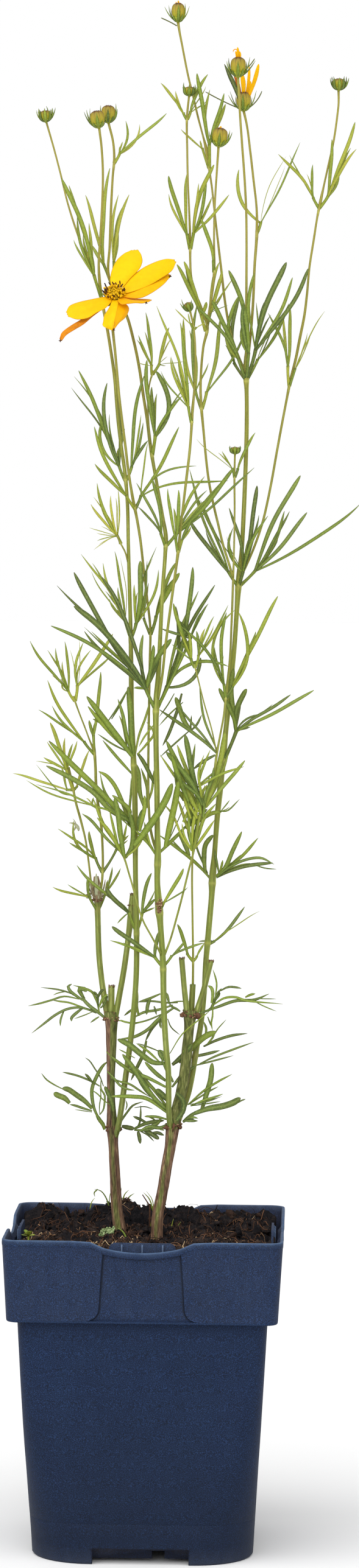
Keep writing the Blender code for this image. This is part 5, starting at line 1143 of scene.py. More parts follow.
def cutEnds():  # the frayed brown tops where the old growth was cut
    weave = Weave()
    rough = random.Random(7)
    for stem, run in cuts["ends"]:
        x, y, z, radius = stemTable[stem][run][-1]
        top = lay(x, y, z)
        for k in range(int(cuts["fibres"] + radius * cuts["fibresPerMm"])):
            turn = tau * rough.random()
            out = Vector((math.cos(turn), math.sin(turn), 0.0))
            start = top + out * radius * rough.uniform(0.5, 0.98) * mm - Vector((0, 0, 0.7)) * mm
            rise = Vector((out.x * 0.2, out.y * 0.2, rough.uniform(0.7, 1.3))) * mm
            tints = [(rough.uniform(0.3, 0.9), 0.0, 0.0, rough.random())] * 3
            tube(weave, [start, start + rise * 0.5, start + rise + out * 0.1 * mm],
                 [0.2 * mm, 0.2 * mm, 0.1 * mm], 4, tints)
    wound = lay(*cuts["wound"])
    for k in range(cuts["woundCrumbs"]):
        turn = tau * rough.random()
        reach = math.sqrt(rough.random())
        out = Vector((math.cos(turn) * reach * 1.1, -0.15 + reach * 0.5, math.sin(turn) * reach * 3.0))
        clump(weave, wound + out * mm, rough.uniform(0.3, 0.5) * mm, rough.uniform(0.6, 1.0), rough)
    weave.piece("cutCaneEnds", finishes["fibre"], "cane_bark")
    sheaths = Weave()
    for x, depth, z, tip, wide in sheathTips:
        foot = lay(*cuts["sheathFoot"])
        end = lay(x, depth, z)
        out = Vector((end.x - foot.x, end.y - foot.y, 0.0)).normalized()
        low = foot + out * 1.5 * mm
        knee = low.lerp(end, 0.5) + out * 0.7 * mm
        blade(sheaths, bent(low, knee, end, (0, 0.2, 0.4, 0.6, 0.8, 0.93, 1)),
              scaled(wide, (1.2, 1.1, 1.0, 0.9, 0.7, 0.4, 0.15)), 0.4 * mm, out, tip, rough.random())
    crease(sheaths.piece("frayedSheaths", finishes["withered"], "cane_bark"), "leaf")


leafStyle = {
    "thick": 0.34,
    "twist": 24.0,  # degrees that a lobe may be turned out of the front view
    "frondTwist": 16.0,
    "yellowFrom": 390.0,  # height above which the leaves are younger and yellower
    "denseFrom": 330.0,  # height above which finer lobes stand between the given ones, and how often
    "denseShare": 0.7,
    # leaves below that height that have them too, and how often
    "dense": ("leaf_d3", "leaf_l1", "leaf_k0", "leaf_e1", "leaf_m1", "leaf_b1", "leaf_e3"),
    "between": 0.75,
}
# a lobe's outline: width at the foot, where it is full, how it swells; where a pointed tip starts, how it
# narrows, and how far; where a rounded tip starts, and how it bulges
lobeShapes = {
    "leaf": (0.56, 0.42, 0.9, 0.66, 1.9, 0.9, 0.84, 2.0),
    "frond": (0.6, 0.35, 1.0, 0.64, 2.0, 0.88, 0.74, 2.4),
}


def lobeWidth(kind, t, blunt):  # share of the full width at t of the way to the tip
    foot, full, swell, taper, narrow, far, bulge, curve = lobeShapes[kind]
    opening = foot + (1.0 - foot) * min(t / full, 1.0) ** swell
    pointed = 1.0 - max(0.0, (t - taper) / (1.0 - taper)) ** narrow * far
    rounded = math.sqrt(max(0.02, 1.0 - max(0.0, (t - bulge) / (1.0 - bulge)) ** curve))
    return opening * (pointed + (rounded - pointed) * blunt)


def makeLeaf(name, entry):
    stem, run, z, tone, leaflets = entry
    where, ahead = stemPoint(stem, run, z)
    depth = where[1]
    centre = lay(*where)
    tone += max(0.0, z - leafStyle["yellowFrom"]) / 520
    rough = random.Random(name)
    weave = Weave()
    for hubX, hubZ, hubStep, tipStep, fan, tips in leaflets:
        hub = lay(hubX, depth + hubStep, hubZ)
        out = hub - centre
        out = (out - ahead * out.dot(ahead)).normalized()
        middle = centre.lerp(hub, 0.5) + out * 0.7 * mm
        widest = max(tip[-1] for tip in tips)
        facing = turned(Vector((0.0, -1.0, 0.25)), hub - centre, rough.uniform(-18, 18))
        stalk = bent(centre, middle, hub, (0.0, 0.2, 0.4, 0.6, 0.8, 1.0))
        widths = scaled(0.85 + 0.3 * widest, (1.3, 1.1, 0.95, 0.9, 0.95, 1.05))
        blade(weave, stalk, widths, 0.8 * mm, facing, tone, rough.random())
        leave = (hub - middle).normalized()
        for k, (tipX, tipZ, *bowed, width) in enumerate(tips):
            bow = bowed[0] if bowed else 0.0
            share = k / max(len(tips) - 1, 1) - 0.5
            tip = lay(tipX, depth + tipStep + fan * share, tipZ)
            start = hub - leave * 0.7 * mm
            makeLobe(weave, start, leave, tip, bow, width, tone, rough)
            # a finer lobe behind and between
            if k and z > leafStyle["denseFrom"] and rough.random() < leafStyle["denseShare"]:
                between = hub.lerp(last.lerp(tip, rough.uniform(0.25, 0.75)), rough.uniform(0.55, 0.9))
                between.y += rough.uniform(2, 7) * mm
                makeLobe(weave, start, leave, between, bow, width * 0.85, tone + 0.08, rough)
            last = tip
    leafPiece(weave, name)


def leafPiece(weave, name):  # some leaves have no solid of their own
    nodes = (name,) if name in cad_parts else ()
    crease(weave.piece(name + "_fine", finishes["leaf"], "leaf", nodes), "leaf")


def turned(facing, axis, degrees):
    return Matrix.Rotation(math.radians(degrees), 3, axis.normalized()) @ facing


def makeLobe(weave, start, leave, tip, bow, width, tone, rough):
    chord = tip - start
    reach = chord.length
    straight = chord.normalized()
    across = Vector((-chord.z, 0.0, chord.x)).normalized()
    lean = leave - straight * leave.dot(straight)
    sway = rough.uniform(-0.05, 0.05) * reach
    bow += rough.choice((-1, 1)) * rough.uniform(0.02, 0.055) * reach / mm
    tone += (1.3 - width) * 0.12
    fat = 1.12 - 0.14 * min(max((width - 1.2) / 0.7, 0.0), 1.0)
    count = max(8, int(reach / (1.9 * mm)))
    blunt = min(max((width - 1.1) / 0.7, 0.0), 1.0)
    places = []
    widths = []
    for t in [k / count for k in range(count)] + [1 - 0.45 / count, 1 - 0.15 / count, 1.0]:
        place = start + chord * t + across * (4 * t * (1 - t) * bow * mm)
        place += lean * (0.3 * reach * t * (1 - t) ** 3)
        place += across * (math.sin(7 * t + bow * 3) * t * 0.012 * reach)
        place += Vector((0.0, sway * 4 * t * (1 - t), 0.0))
        places.append(place)
        widths.append(width * fat * mm * lobeWidth("leaf", t, blunt))
    twist = leafStyle["twist"]
    facing = turned(Vector((0.0, -1.0, 0.2)), chord, rough.uniform(-twist, twist))
    blade(weave, places, widths, leafStyle["thick"] * mm, facing, tone, rough.random())


def lobesBetween(lobes, rough):  # finer lobes that stand between and behind two drawn ones
    extra = []
    for (wide, near, far, line), (otherWide, _, otherFar, other) in zip(lobes, lobes[1:]):
        if math.dist(line[0], other[0]) > 2.5 or rough.random() > leafStyle["between"]:
            continue
        share = rough.uniform(0.3, 0.7)
        reach = rough.uniform(0.6, 0.92)
        path = [line[0]]
        for t in (0.35 * reach, 0.7 * reach, reach):
            (x, z), (u, v) = spline(line, t), spline(other, t)
            path.append((x + (u - x) * share, z + (v - z) * share))
        extra.append((min(wide, otherWide) * 0.8, near, max(far, otherFar) + rough.uniform(3, 9), path))
    return extra


def makeFrond(name, entry):  # a leaf whose lobes follow drawn lines
    tone, lobes = entry
    rough = random.Random(name)
    weave = Weave()
    lobes = [(width, near, far, list(zip(flat[::2], flat[1::2]))) for width, near, far, *flat in lobes]
    if name in leafStyle["dense"]:
        lobes = lobes + lobesBetween(lobes, rough)
    for width, near, far, line in lobes:
        blunt = min(max((width - 1.2) / 0.6, 0.0), 1.0)
        reach = sum(math.dist(low, high) for low, high in zip(line, line[1:]))
        count = max(8, int(reach / 1.3))
        places = []
        widths = []
        for t in [k / count for k in range(count)] + [1 - 0.4 / count, 1.0]:
            x, z = spline(line, t)
            places.append(lay(x, near + (far - near) * t, z))
            widths.append(width * 1.12 * mm * lobeWidth("frond", t, blunt))
        twist = leafStyle["frondTwist"]
        facing = turned(Vector((0.0, -1.0, 0.2)), places[-1] - places[0], rough.uniform(-twist, twist))
        deep = tone + (1.3 - width) * 0.07
        blade(weave, places, widths, leafStyle["thick"] * mm, facing, deep, rough.random())
    leafPiece(weave, name)


# closed heads: base x, depth, base z, height, radius, tilt, and the spreading bracts' tips (x, z)
budTable = {
    "bud_top": (8.1, 6.5, 608.9, 7.4, 2.6, 0.0, [(2.7, 614.7), (4.3, 615.3), (10.8, 616.0), (12.5, 615.0)]),
    "bud_yellow_tip": (32.1, -4, 587.3, 7.7, 3.0, 0.0, [(27.5, 593.4), (28.3, 594.6), (35.4, 593.2),
                                                       (36.7, 595.0), (38.9, 593.7)]),
    "bud_pair_right": (-19.3, 8.5, 568.9, 6.8, 2.8, 0.0, [(-16.4, 576.3), (-22.4, 575.6), (-15.8, 574.3)]),
    "bud_pair_left": (-23.1, 0, 566.9, 6.7, 2.9, -0.15, [(-29, 573), (-28, 573.8), (-26.6, 574.4)]),
    "bud_far_left": (-44.1, 10, 569.1, 4.4, 2.4, -0.1, [(-48, 573.5), (-47, 574.2), (-44, 575.2),
                                                       (-41.5, 574.4), (-40.4, 574.6)]),
    "bud_centre": (24.7, -4, 559.7, 7.3, 3.0, 0.1, [(29, 566), (30, 565.3), (20.8, 565.8), (22, 565.7)]),
    "bud_far_right": (72.1, 16, 582.3, 4.5, 2.6, 0.0, [(68.7, 587), (69.5, 587.4), (75, 587.5), (76, 587)]),
    "bud_small_top": (12.9, 1, 579.7, 3.5, 2.3, 0.0, [(10.6, 584.8), (12.8, 584.6), (15, 584.2),
                                                     (16.6, 585)]),
    "bud_small_middle": (13.85, -12, 494.5, 3.4, 1.7, -0.4, [(10.4, 499.0), (9.9, 497.4)]),
    "bud_small_low": (32.3, 2, 437.9, 2.6, 1.9, 0.0, [(30.2, 441), (34.4, 441)]),
}
budStyle = {
    "scales": 8,
    "crease": 0.05,
    "rings": 20,
    "columns": 64,
    "ripeHeight": 5.0,  # a head taller than this is ripe: longer bracts, brown top
    "bractWidth": 0.95,
}
# how wide a head is up its height, as shares of the two
budGirth = (
    (0.0, 0.3), (0.07, 0.55), (0.18, 0.78), (0.32, 0.93), (0.5, 1.0), (0.68, 1.0), (0.82, 0.92),
    (0.92, 0.72), (1.0, 0.34)
)


def girthAt(t):
    return float(np.interp(t, [row[0] for row in budGirth], [row[1] for row in budGirth]))


def budAxes(tilt):
    axis = Vector((math.sin(tilt), 0.0, math.cos(tilt)))
    side = Vector((math.cos(tilt), 0.0, -math.sin(tilt)))
    return axis, side, axis.cross(side)


def makeBud(name, values):
    x, y, z, height, radius, tilt, bracts = values
    base = lay(x, y, z)
    axis, side, other = budAxes(tilt)
    rough = random.Random(name)
    ripe = height > budStyle["ripeHeight"]
    globe = Weave()
    rings = []
    for k in range(budStyle["rings"] + 1):
        t = k / budStyle["rings"]
        circle = []
        tints = []
        for column in range(budStyle["columns"]):
            turn = tau * column / budStyle["columns"] + 0.2
            ridge = abs(math.cos(budStyle["scales"] * turn / 2))
            reach = radius * girthAt(t) * (1 + budStyle["crease"] * (ridge ** 0.5 - 0.8))
            notch = 0.6 * (1 - ridge) ** 2 * max(0.0, t - 0.6) * height * 0.25
            out = side * math.cos(turn) + other * math.sin(turn)
            circle.append(base + (out * reach + axis * (height * t - notch)) * mm)
            seam = max(0.0, 1.0 - ridge * 3.2)
            rim = max(0.0, (t - 0.84) / 0.16) if ripe else max(0.0, (t - 0.6) / 0.4)
            tints.append((t if ripe else 0.1 + 0.4 * t, seam, rim, rough.random()))
        rings.append(globe.ring(circle, tints))
    globe.stack(rings)
    globe.piece(name + "_globe", finishes["bud"], "flower_bud", (name,))
    spreading = [lay(tipX, y - 0.6, tipZ) for tipX, tipZ in bracts]
    makeBracts(name, base, (axis, side, other), height, radius, ripe, spreading)


def makeBracts(name, base, axes, height, radius, ripe, spreading):
    axis, side, other = axes
    weave = Weave()
    rough = random.Random(name + "bracts")
    wide = budStyle["bractWidth"] * (1.0 if ripe else 1.15)
    # eight lie up against the globe, one of them facing forward; on a ripe head every second one is short
    for k in range(budStyle["scales"]):
        turn = tau * k / budStyle["scales"] - math.pi / 2 + rough.uniform(-0.1, 0.1)
        out = side * math.cos(turn) - other * math.sin(turn)
        top = rough.uniform(0.72, 0.86) if ripe else rough.uniform(0.95, 1.2)
        if ripe and k % 2:
            top = rough.uniform(0.3, 0.42)
        path = []
        shares = []
        for step in range(11):
            t = step / 10
            rise = top * t
            away = (0.45 if ripe else 0.9) * max(0.0, t - 0.75) * 2
            reach = radius * girthAt(min(rise, 0.75)) + 0.24 + away
            path.append(base + (out * reach + axis * (height * rise - 0.1)) * mm)
            pointed = 1 - max(0.0, (t - 0.55) / 0.45) ** 1.7 * 0.9
            shares.append((0.75 + 0.5 * math.sin(math.pi * min(t * 1.15, 1.0))) * pointed)
        blade(weave, path, scaled(wide, shares), 0.3 * mm, out, rough.uniform(0.3, 0.5), rough.random())
    for end in spreading:
        out = end - base
        out = (out - axis * out.dot(axis)).normalized()
        low = base + (out * radius * 0.3 + axis * 0.2) * mm
        knee = base + (out * radius * 1.3 + axis * height * 0.16) * mm
        thin = scaled(wide * rough.uniform(0.5, 0.8), (1.2, 1.1, 1.0, 0.95, 0.85, 0.7, 0.45, 0.15))
        facing = turned(Vector((0, -1, 0.2)), end - base, rough.uniform(-30, 30))
        blade(weave, bent(low, knee, end, (0, 0.15, 0.3, 0.45, 0.6, 0.75, 0.9, 1)), thin, 0.3 * mm, facing,
              rough.uniform(0.2, 0.5), rough.random())
    # the cup that the bracts grow from
    cup = [(-0.5, 0.42), (-0.1, radius * 0.42), (height * 0.08, radius * 0.68),
           (height * 0.16, radius * 0.86), (height * 0.2, radius * 0.8)]
    rings = []
    for rise, reach in cup:
        circle = around(base + axis * rise * mm, side, other, reach * mm)
        rings.append(weave.ring(circle, (0.75, 0.3, 0.5, 0.6)))
    weave.stack(rings)
    weave.piece(name + "_bracts", finishes["leaf"], "leaf")


budTufts = {  # yellow petal tips that show at the top of some heads: depth, then (x, z, width)
    "bud_yellow_tip": (-4, [(31.7, 598.9, 1.2), (30.9, 597.3, 0.9), (32.6, 597.2, 1.1), (31.5, 597.6, 1.1)]),
    "bud_top": (6.5, [(7.9, 617.2, 0.8), (7.0, 616.6, 0.7), (9.0, 616.3, 0.6)]),
    "bud_centre": (-4, [(25.3, 567.7, 0.9), (24.7, 567.3, 0.7)]),
}


def makeBudTufts():
    weave = Weave()
    rough = random.Random(3)
    for name, (depth, tips) in budTufts.items():
        x, _, z, height = budTable[name][:4]
        for tipX, tipZ, width in tips:
            low = lay(x + (tipX - x) * 0.5, depth, z + height - 1.0)
            tip = lay(tipX, depth + rough.uniform(-0.8, 0.8), tipZ)
            path = [low.lerp(tip, t) + Vector((0.25 * math.sin(3 * t), 0, 0)) * mm
                    for t in (0, 0.25, 0.5, 0.75, 0.9, 1)]
            widths = scaled(width, (1.1, 1.1, 1.0, 0.85, 0.6, 0.25))
            blade(weave, path, widths, 0.5 * mm, Vector((0.2, -1, 0)), 0.3, rough.random())
    # one curls over beside the tallest tuft
    turns = (-0.6, 0.2, 1.0, 1.8, 2.6, 3.4)
    curl = [lay(30.9 + 0.9 * math.cos(turn), -4.4, 597.2 + 0.9 * math.sin(turn)) for turn in turns]
    tube(weave, [lay(31.6, -4.2, 595.4)] + curl, [0.3 * mm, 0.26 * mm] + [0.2 * mm] * 4 + [0.08 * mm], 6,
         [(0.5, 0.3, 0, 0.5)] * 7)
    weave.piece("budPetalTips", finishes["petal"], "petal")


flower = {
    "centre": (-16.4, -8.0, 500.9),
    "face": (0.06, -0.72, 0.69),
    "discRadius": 4.7,
    # the cushion that the florets stand on, with the cup behind it: radius, rise, tone
    "cushion": ((1.2, -4.9, 0.0), (2.2, -4.6, 0.0), (3.0, -3.3, 0.05), (3.3, -1.8, 0.1), (3.5, -0.8, 0.1),
                (3.2, 0.1, 0.1), (2.1, 0.6, 0.12), (0.9, 0.8, 0.12)),
    "bracts": 8,
    "florets": 86,
    "spiral": 137.5,  # degrees from one floret to the next
    "openFrom": 0.3,  # florets further out than this share of the disc may be open, and how often
    "openShare": 0.72,
    "antherFrom": 0.36,  # the same for dark anthers, that crowd the back and the two sides
    "antherShare": 0.14,
    "antherCrowd": 0.5,
    "bowl": 1.5,  # how far petals cup, in mm
    "thick": 0.22,
    "toothedFrom": 0.86,  # how far out the teeth of the tip start
    "steps": 30,  # along each petal, and across it
    "columns": 18,
    # each petal: (one edge x, z, other edge x, z, steps back of the two edges) from the base to the tip,
    # then how deep its colour is and how many teeth its tip has
    "petals": {
        "rear": ([(-17.2, 503.4, -12.9, 503.6, 0, 0), (-18.0, 506.5, -9.8, 507.4, 0, -0.4),
                  (-17.4, 510.2, -6.6, 510.6, 0.6, -0.6), (-15.6, 514.0, -5.3, 513.6, 1.0, -0.4),
                  (-13.0, 516.6, -5.6, 516.0, 1.2, 0), (-10.3, 518.3, -6.6, 518.6, 1.0, 0.2)], 0.0, 3),
        "high": ([(-13.4, 502.8, -12.2, 501.0, 0.5, -0.5), (-9.6, 507.6, -7.4, 502.4, 0.6, -1.0),
                  (-5.1, 511.2, -2.4, 504.4, 0.6, -1.2), (-0.3, 513.6, 2.2, 507.2, 0.4, -1.2),
                  (3.6, 514.8, 6.2, 510.0, 0.2, -0.6), (7.3, 515.1, 8.4, 513.4, 0, 0)], 0.04, 2),
        "right": ([(-14.0, 502.8, -14.0, 499.9, 1.5, 0.2), (-8.5, 504.4, -9.6, 499.3, 2.0, -0.8),
                   (-4.1, 506.4, -5.5, 499.5, 2.2, -1.4), (0.2, 508.1, -1.2, 501.6, 2.4, -1.2),
                   (3.6, 509.2, 2.7, 504.4, 2.2, -0.4), (6.0, 509.0, 5.7, 507.3, 2.0, 1.2)], 0.3, 2),
        "near": ([(-14.0, 500.4, -15.0, 498.1, 1.0, -1.5), (-11.6, 500.0, -13.4, 496.8, 2.2, -3.4),
                  (-8.9, 499.2, -10.8, 497.1, 3.0, -3.8), (-6.0, 499.0, -7.9, 497.4, 3.2, -3.6),
                  (-3.2, 498.9, -5.2, 497.3, 2.8, -2.2), (-1.0, 498.7, -2.9, 497.7, 1.6, -0.6)], 0.34, 2),
        "lowSide": ([(-15.4, 498.4, -12.6, 497.6, 0, 0.6), (-15.6, 495.6, -10.8, 496.0, -1.2, 2.2),
                     (-15.9, 492.9, -10.6, 494.2, -2.0, 2.6), (-16.6, 490.4, -12.0, 491.5, -2.0, 1.8),
                     (-17.0, 488.2, -14.4, 489.4, -1.4, 0.6),
                     (-17.0, 486.4, -16.3, 486.7, -0.4, 0.2)], 0.38, 2),
        "low": ([(-17.0, 498.6, -14.4, 498.4, 0, -0.4), (-18.4, 495.3, -15.0, 495.4, 1.0, -1.6),
                 (-20.2, 492.4, -15.5, 492.8, 1.4, -2.4), (-20.6, 490.0, -16.1, 490.3, 1.4, -2.2),
                 (-20.8, 488.3, -16.5, 488.0, 1.0, -1.6), (-18.9, 487.0, -16.9, 486.3, 0.4, -0.6)], 0.06, 3),
        "left": ([(-17.4, 500.0, -17.2, 498.2, 0, 0), (-20.8, 499.6, -19.6, 495.4, 0.8, -0.6),
                  (-25.4, 498.7, -23.2, 493.5, 1.2, -1.0), (-30.2, 497.6, -26.6, 491.4, 1.2, -1.0),
                  (-33.8, 496.2, -30.6, 490.7, 0.8, -0.4), (-35.7, 493.9, -34.6, 491.4, 0.2, 0)], 0.16, 3),
        "curled": ([(-21.0, 496.6, -20.0, 495.6, 3.6, 3.4), (-25.8, 493.6, -24.6, 492.1, 3.8, 3.2),
                    (-29.6, 490.6, -28.4, 488.8, 3.4, 2.2), (-33.2, 488.4, -32.0, 486.6, 2.6, 1.4),
                    (-36.9, 485.6, -35.4, 484.4, 1.8, 1.0), (-38.2, 482.9, -37.1, 482.0, 1.6, 1.4)], 0.84, 1),
    },
    # dark withered points on four of the tips: x, z, step back
    "spots": [(5.9, 508.1, 1.6), (-3.6, 497.5, -1.0), (-16.4, 486.8, -0.6), (-37.7, 482.2, 1.4)],
}


def spline(keys, t):  # a smooth value through evenly spaced rows of numbers
    keys = np.asarray(keys, dtype=float)
    slopes = np.gradient(keys, axis=0)
    k = min(int(t * (len(keys) - 1)), len(keys) - 2)
    u = t * (len(keys) - 1) - k
    return ((1 + 2 * u) * (1 - u) ** 2 * keys[k] + u * (1 - u) ** 2 * slopes[k]
            + u * u * (3 - 2 * u) * keys[k + 1] + u * u * (u - 1) * slopes[k + 1])


def planeDepth(x, z):  # how far back the flower's own plane lies behind a point of the front view
    centre = flower["centre"]
    face = flower["face"]
    return centre[1] - (face[0] * (x - centre[0]) + face[2] * (z - centre[2])) / face[1]


def makePetals():
    weave = Weave()
    rough = random.Random(11)
    steps, columns = flower["steps"], flower["columns"]
    for sections, deep, teeth in flower["petals"].values():
        chance = rough.random()
        rows = []
        for k in range(steps + 1):
            t = k / steps
            leftX, leftZ, rightX, rightZ, leftStep, rightStep = spline(sections, t)
            row = []
            tints = []
            wide = math.hypot(rightX - leftX, rightZ - leftZ)
            for j in range(columns + 1):
                s = j / columns
                x = leftX + (rightX - leftX) * s
                z = leftZ + (rightZ - leftZ) * s
                arch = 4 * s * (1 - s)
                y = planeDepth(x, z) + leftStep + (rightStep - leftStep) * s
                cupped = math.sin(math.pi * min(t + 0.1, 1.0))
                y -= flower["bowl"] * (arch - 0.6) * min(wide / 8, 1.0) * cupped
                y += 1.6 * t * t - 0.9 * math.sin(math.pi * t)
                y += 0.16 * math.cos(9.4 * s + chance * 6) * min(t * 3, 1.0)
                y += 0.25 * math.sin(6 * t + chance * 9) * (1 - arch)
                if t > flower["toothedFrom"]:
                    pull = (t - flower["toothedFrom"]) / (1.0 - flower["toothedFrom"])
                    scallop = (0.5 + 0.5 * math.cos(tau * teeth * s)) * 0.6 + (1 - arch) * 0.25
                    back = spline(sections, 0.82)
                    middleX = (back[0] + back[2]) / 2
                    middleZ = (back[1] + back[3]) / 2
                    x += (middleX - x) * scallop * pull * 0.16
                    z += (middleZ - z) * scallop * pull * 0.16
                row.append(lay(x, y, z))
                edge = max(abs(2 * s - 1) ** (1.5 + wide * 0.3), t ** 14)
                tints.append((deep, t, edge, chance))
            rows.append(weave.ring(row, tints))
        weave.sheet(rows)
    made = weave.piece("openPetals", finishes["petal"], "petal", ("flower_petals",), solid=False)
    shell = made.modifiers.new("thickness", "SOLIDIFY")
    shell.thickness = flower["thick"] * mm
    shell.offset = 0.0
    withered = Weave()
    for x, z, step in flower["spots"]:
        spot = lay(x, planeDepth(x, z) + step + 1.0, z)
        for k in range(4):
            turn = tau * k / 4 + x
            out = Vector((math.cos(turn), -0.4, math.sin(turn))) * 0.5 * mm
            tube(withered, [spot, spot + out * 0.6, spot + out * 1.3], [0.26 * mm, 0.2 * mm, 0.06 * mm], 5,
                 [(0.0, 0, 0, 0)] * 3)
    withered.piece("petalTips", finishes["char"], "petal")


def makeDisc():
    centre = lay(*flower["centre"])
    face = Vector(flower["face"]).normalized()
    side = face.cross(Vector((0, 0, 1))).normalized()
    other = face.cross(side)
    rough = random.Random(5)
    weave = Weave()
    rings = []
    for reach, rise, level in flower["cushion"]:
        circle = around(centre + face * rise * mm, side, other, reach * mm)
        rings.append(weave.ring(circle, (level, 0.0, 0.0, 0.5)))
    weave.stack(rings)
    for k in range(flower["florets"]):
        share = (k + 0.5) / flower["florets"]
        turn = k * math.radians(flower["spiral"])
        reach = flower["discRadius"] * math.sqrt(share)
        out = side * math.cos(turn) + other * math.sin(turn)
        foot = centre + (out * reach * 0.74 + face * (0.6 * (1 - share * share) - 0.2)) * mm
        lean = face + out * 0.55 * share + Vector((rough.uniform(-1, 1), 0, rough.uniform(-1, 1))) * 0.22
        lean.normalize()
        openFloret = share > flower["openFrom"] and rough.random() < flower["openShare"]
        tall = (rough.uniform(1.4, 2.5) if openFloret else rough.uniform(0.9, 1.5)) * mm
        wide = rough.uniform(0.26, 0.38) * mm
        level = rough.uniform(0.52, 0.72) if openFloret else rough.uniform(0.36, 0.6)
        path = [foot, foot + lean * tall * 0.5, foot + lean * tall * 0.85, foot + lean * tall]
        # each floret's foot is painted darker: painted shade in the gaps between the florets
        tints = [(level * 0.5, 0.2, 0.0, 0.5)] + [(level, 0.2, 0.0, 0.5)] * 3
        tube(weave, path, [wide * 0.6, wide * 0.8, wide * 1.45, wide * 1.0], 6, tints, 0.3, 3)
        often = flower["antherCrowd" if out.z > 0.1 or abs(out.x) > 0.75 else "antherShare"]
        if share > flower["antherFrom"] and rough.random() < often:
            bend = lean * rough.uniform(1.0, 2.2) * mm + Vector((rough.uniform(-0.8, 0.8), 0, 0.3)) * mm
            top = foot + lean * tall * 0.85
            dark = rough.uniform(0.95, 1.0)
            tube(weave, [top, top + bend * 0.5, top + bend], [0.24 * mm, 0.3 * mm, 0.24 * mm], 5,
                 [(0.8, 0, 0, 0.5), (dark, 0, 0, 0.5), (dark, 0, 0, 0.5)])
    weave.piece("flowerFlorets", finishes["floret"], "flower_disc", ("flower_disc",))
    collar = Weave()
    for k in range(flower["bracts"]):
        turn = tau * (k + 0.3) / flower["bracts"]
        out = side * math.cos(turn) + other * math.sin(turn)
        low = centre - face * 4.3 * mm + out * 1.6 * mm
        knee = centre - face * 2.9 * mm + out * 4.0 * mm
        end = centre - face * 2.0 * mm + out * 5.8 * mm
        blade(collar, bent(low, knee, end, (0, 0.25, 0.5, 0.75, 1)), scaled(1.0, (1.2, 1.3, 1.1, 0.8, 0.2)),
              0.4 * mm, -face, 0.5, rough.random())
    collar.piece("flowerCollar", finishes["leaf"], "leaf")


# the opening head: a cup like the closed ones, with unfolding petals (tip x, tip z, step back, width)
opening = {
    "cup": (34.4, 9.0, 573.9, 7.4, 2.9, 0.0, [(29, 581.5), (28.3, 580), (39.4, 581.8)]),
    "petals": [(40.2, 592.3, -3, 1.7), (36.5, 591.2, 2, 1.25), (33.5, 588.6, -2, 2.0), (30.4, 588.6, 3, 1.5),
               (37.0, 585.5, 4, 1.4)],
    "longBract": [(33.0, 577.0), (31.0, 583.0), (28.6, 588.0), (26.6, 592.2)],
    # loose hair-like bracts, of the tallest heads too: three points of the line, depth
    "hairs": [((31.5, 575.2), (26.0, 577.4), (19.2, 581.2), 9.0),
              ((7.6, 607.2), (4.6, 609.0), (1.3, 610.3), 6.5),
              ((34.0, 573.6), (39.6, 576.0), (41.6, 581.6), 9.0),
              ((32.4, 588.2), (36.4, 590.6), (38.6, 594.4), -4.0)],
}


def makeOpening():
    makeBud("flower_opening", opening["cup"])
    x, y, z = opening["cup"][:3]
    weave = Weave()
    rough = random.Random(9)
    for tipX, tipZ, step, width in opening["petals"]:
        low = lay(x + (tipX - x) * 0.3, y + step * 0.2, z + 5.0)
        tip = lay(tipX, y + step, tipZ)
        path = [low.lerp(tip, t) + Vector((math.sin(math.pi * t) * 0.45, 0, 0)) * mm
                for t in (0, 0.12, 0.26, 0.4, 0.55, 0.7, 0.84, 0.94, 1)]
        widths = scaled(width, (0.7, 0.75, 0.8, 0.9, 1.0, 1.0, 0.85, 0.6, 0.25))
        deep = 0.95 if tipX < 32 else 0.25  # the two on the left have withered
        blade(weave, path, widths, 0.9 * mm, Vector((0.3, -1, 0.1)), deep, rough.random())
    weave.piece("openingPetals", finishes["petal"], "petal")
    green = Weave()
    keys = [tuple(lay(px, y - 2.0, pz)) for px, pz in opening["longBract"]]
    path = [Vector(spline(keys, t / 12)) for t in range(13)]
    widths = scaled(1.9, (0.4, 0.55, 0.7, 0.85, 0.95, 1.0, 1.0, 0.95, 0.85, 0.7, 0.55, 0.35, 0.12))
    blade(green, path, widths, 0.4 * mm, Vector((-0.3, -1, 0.1)), 0.05, 0.1)
    for *line, depth in opening["hairs"]:
        low, knee, end = [lay(px, depth, pz) for px, pz in line]
        path = bent(low, knee, end, (0, 0.15, 0.3, 0.45, 0.6, 0.75, 0.9, 1.0))
        tube(green, path, [0.24 * mm] * 7 + [0.14 * mm], 6, [(0.3, 0.97, 0.3, 0.3)] * 8)
    green.piece("openingBracts", finishes["leaf"], "leaf")


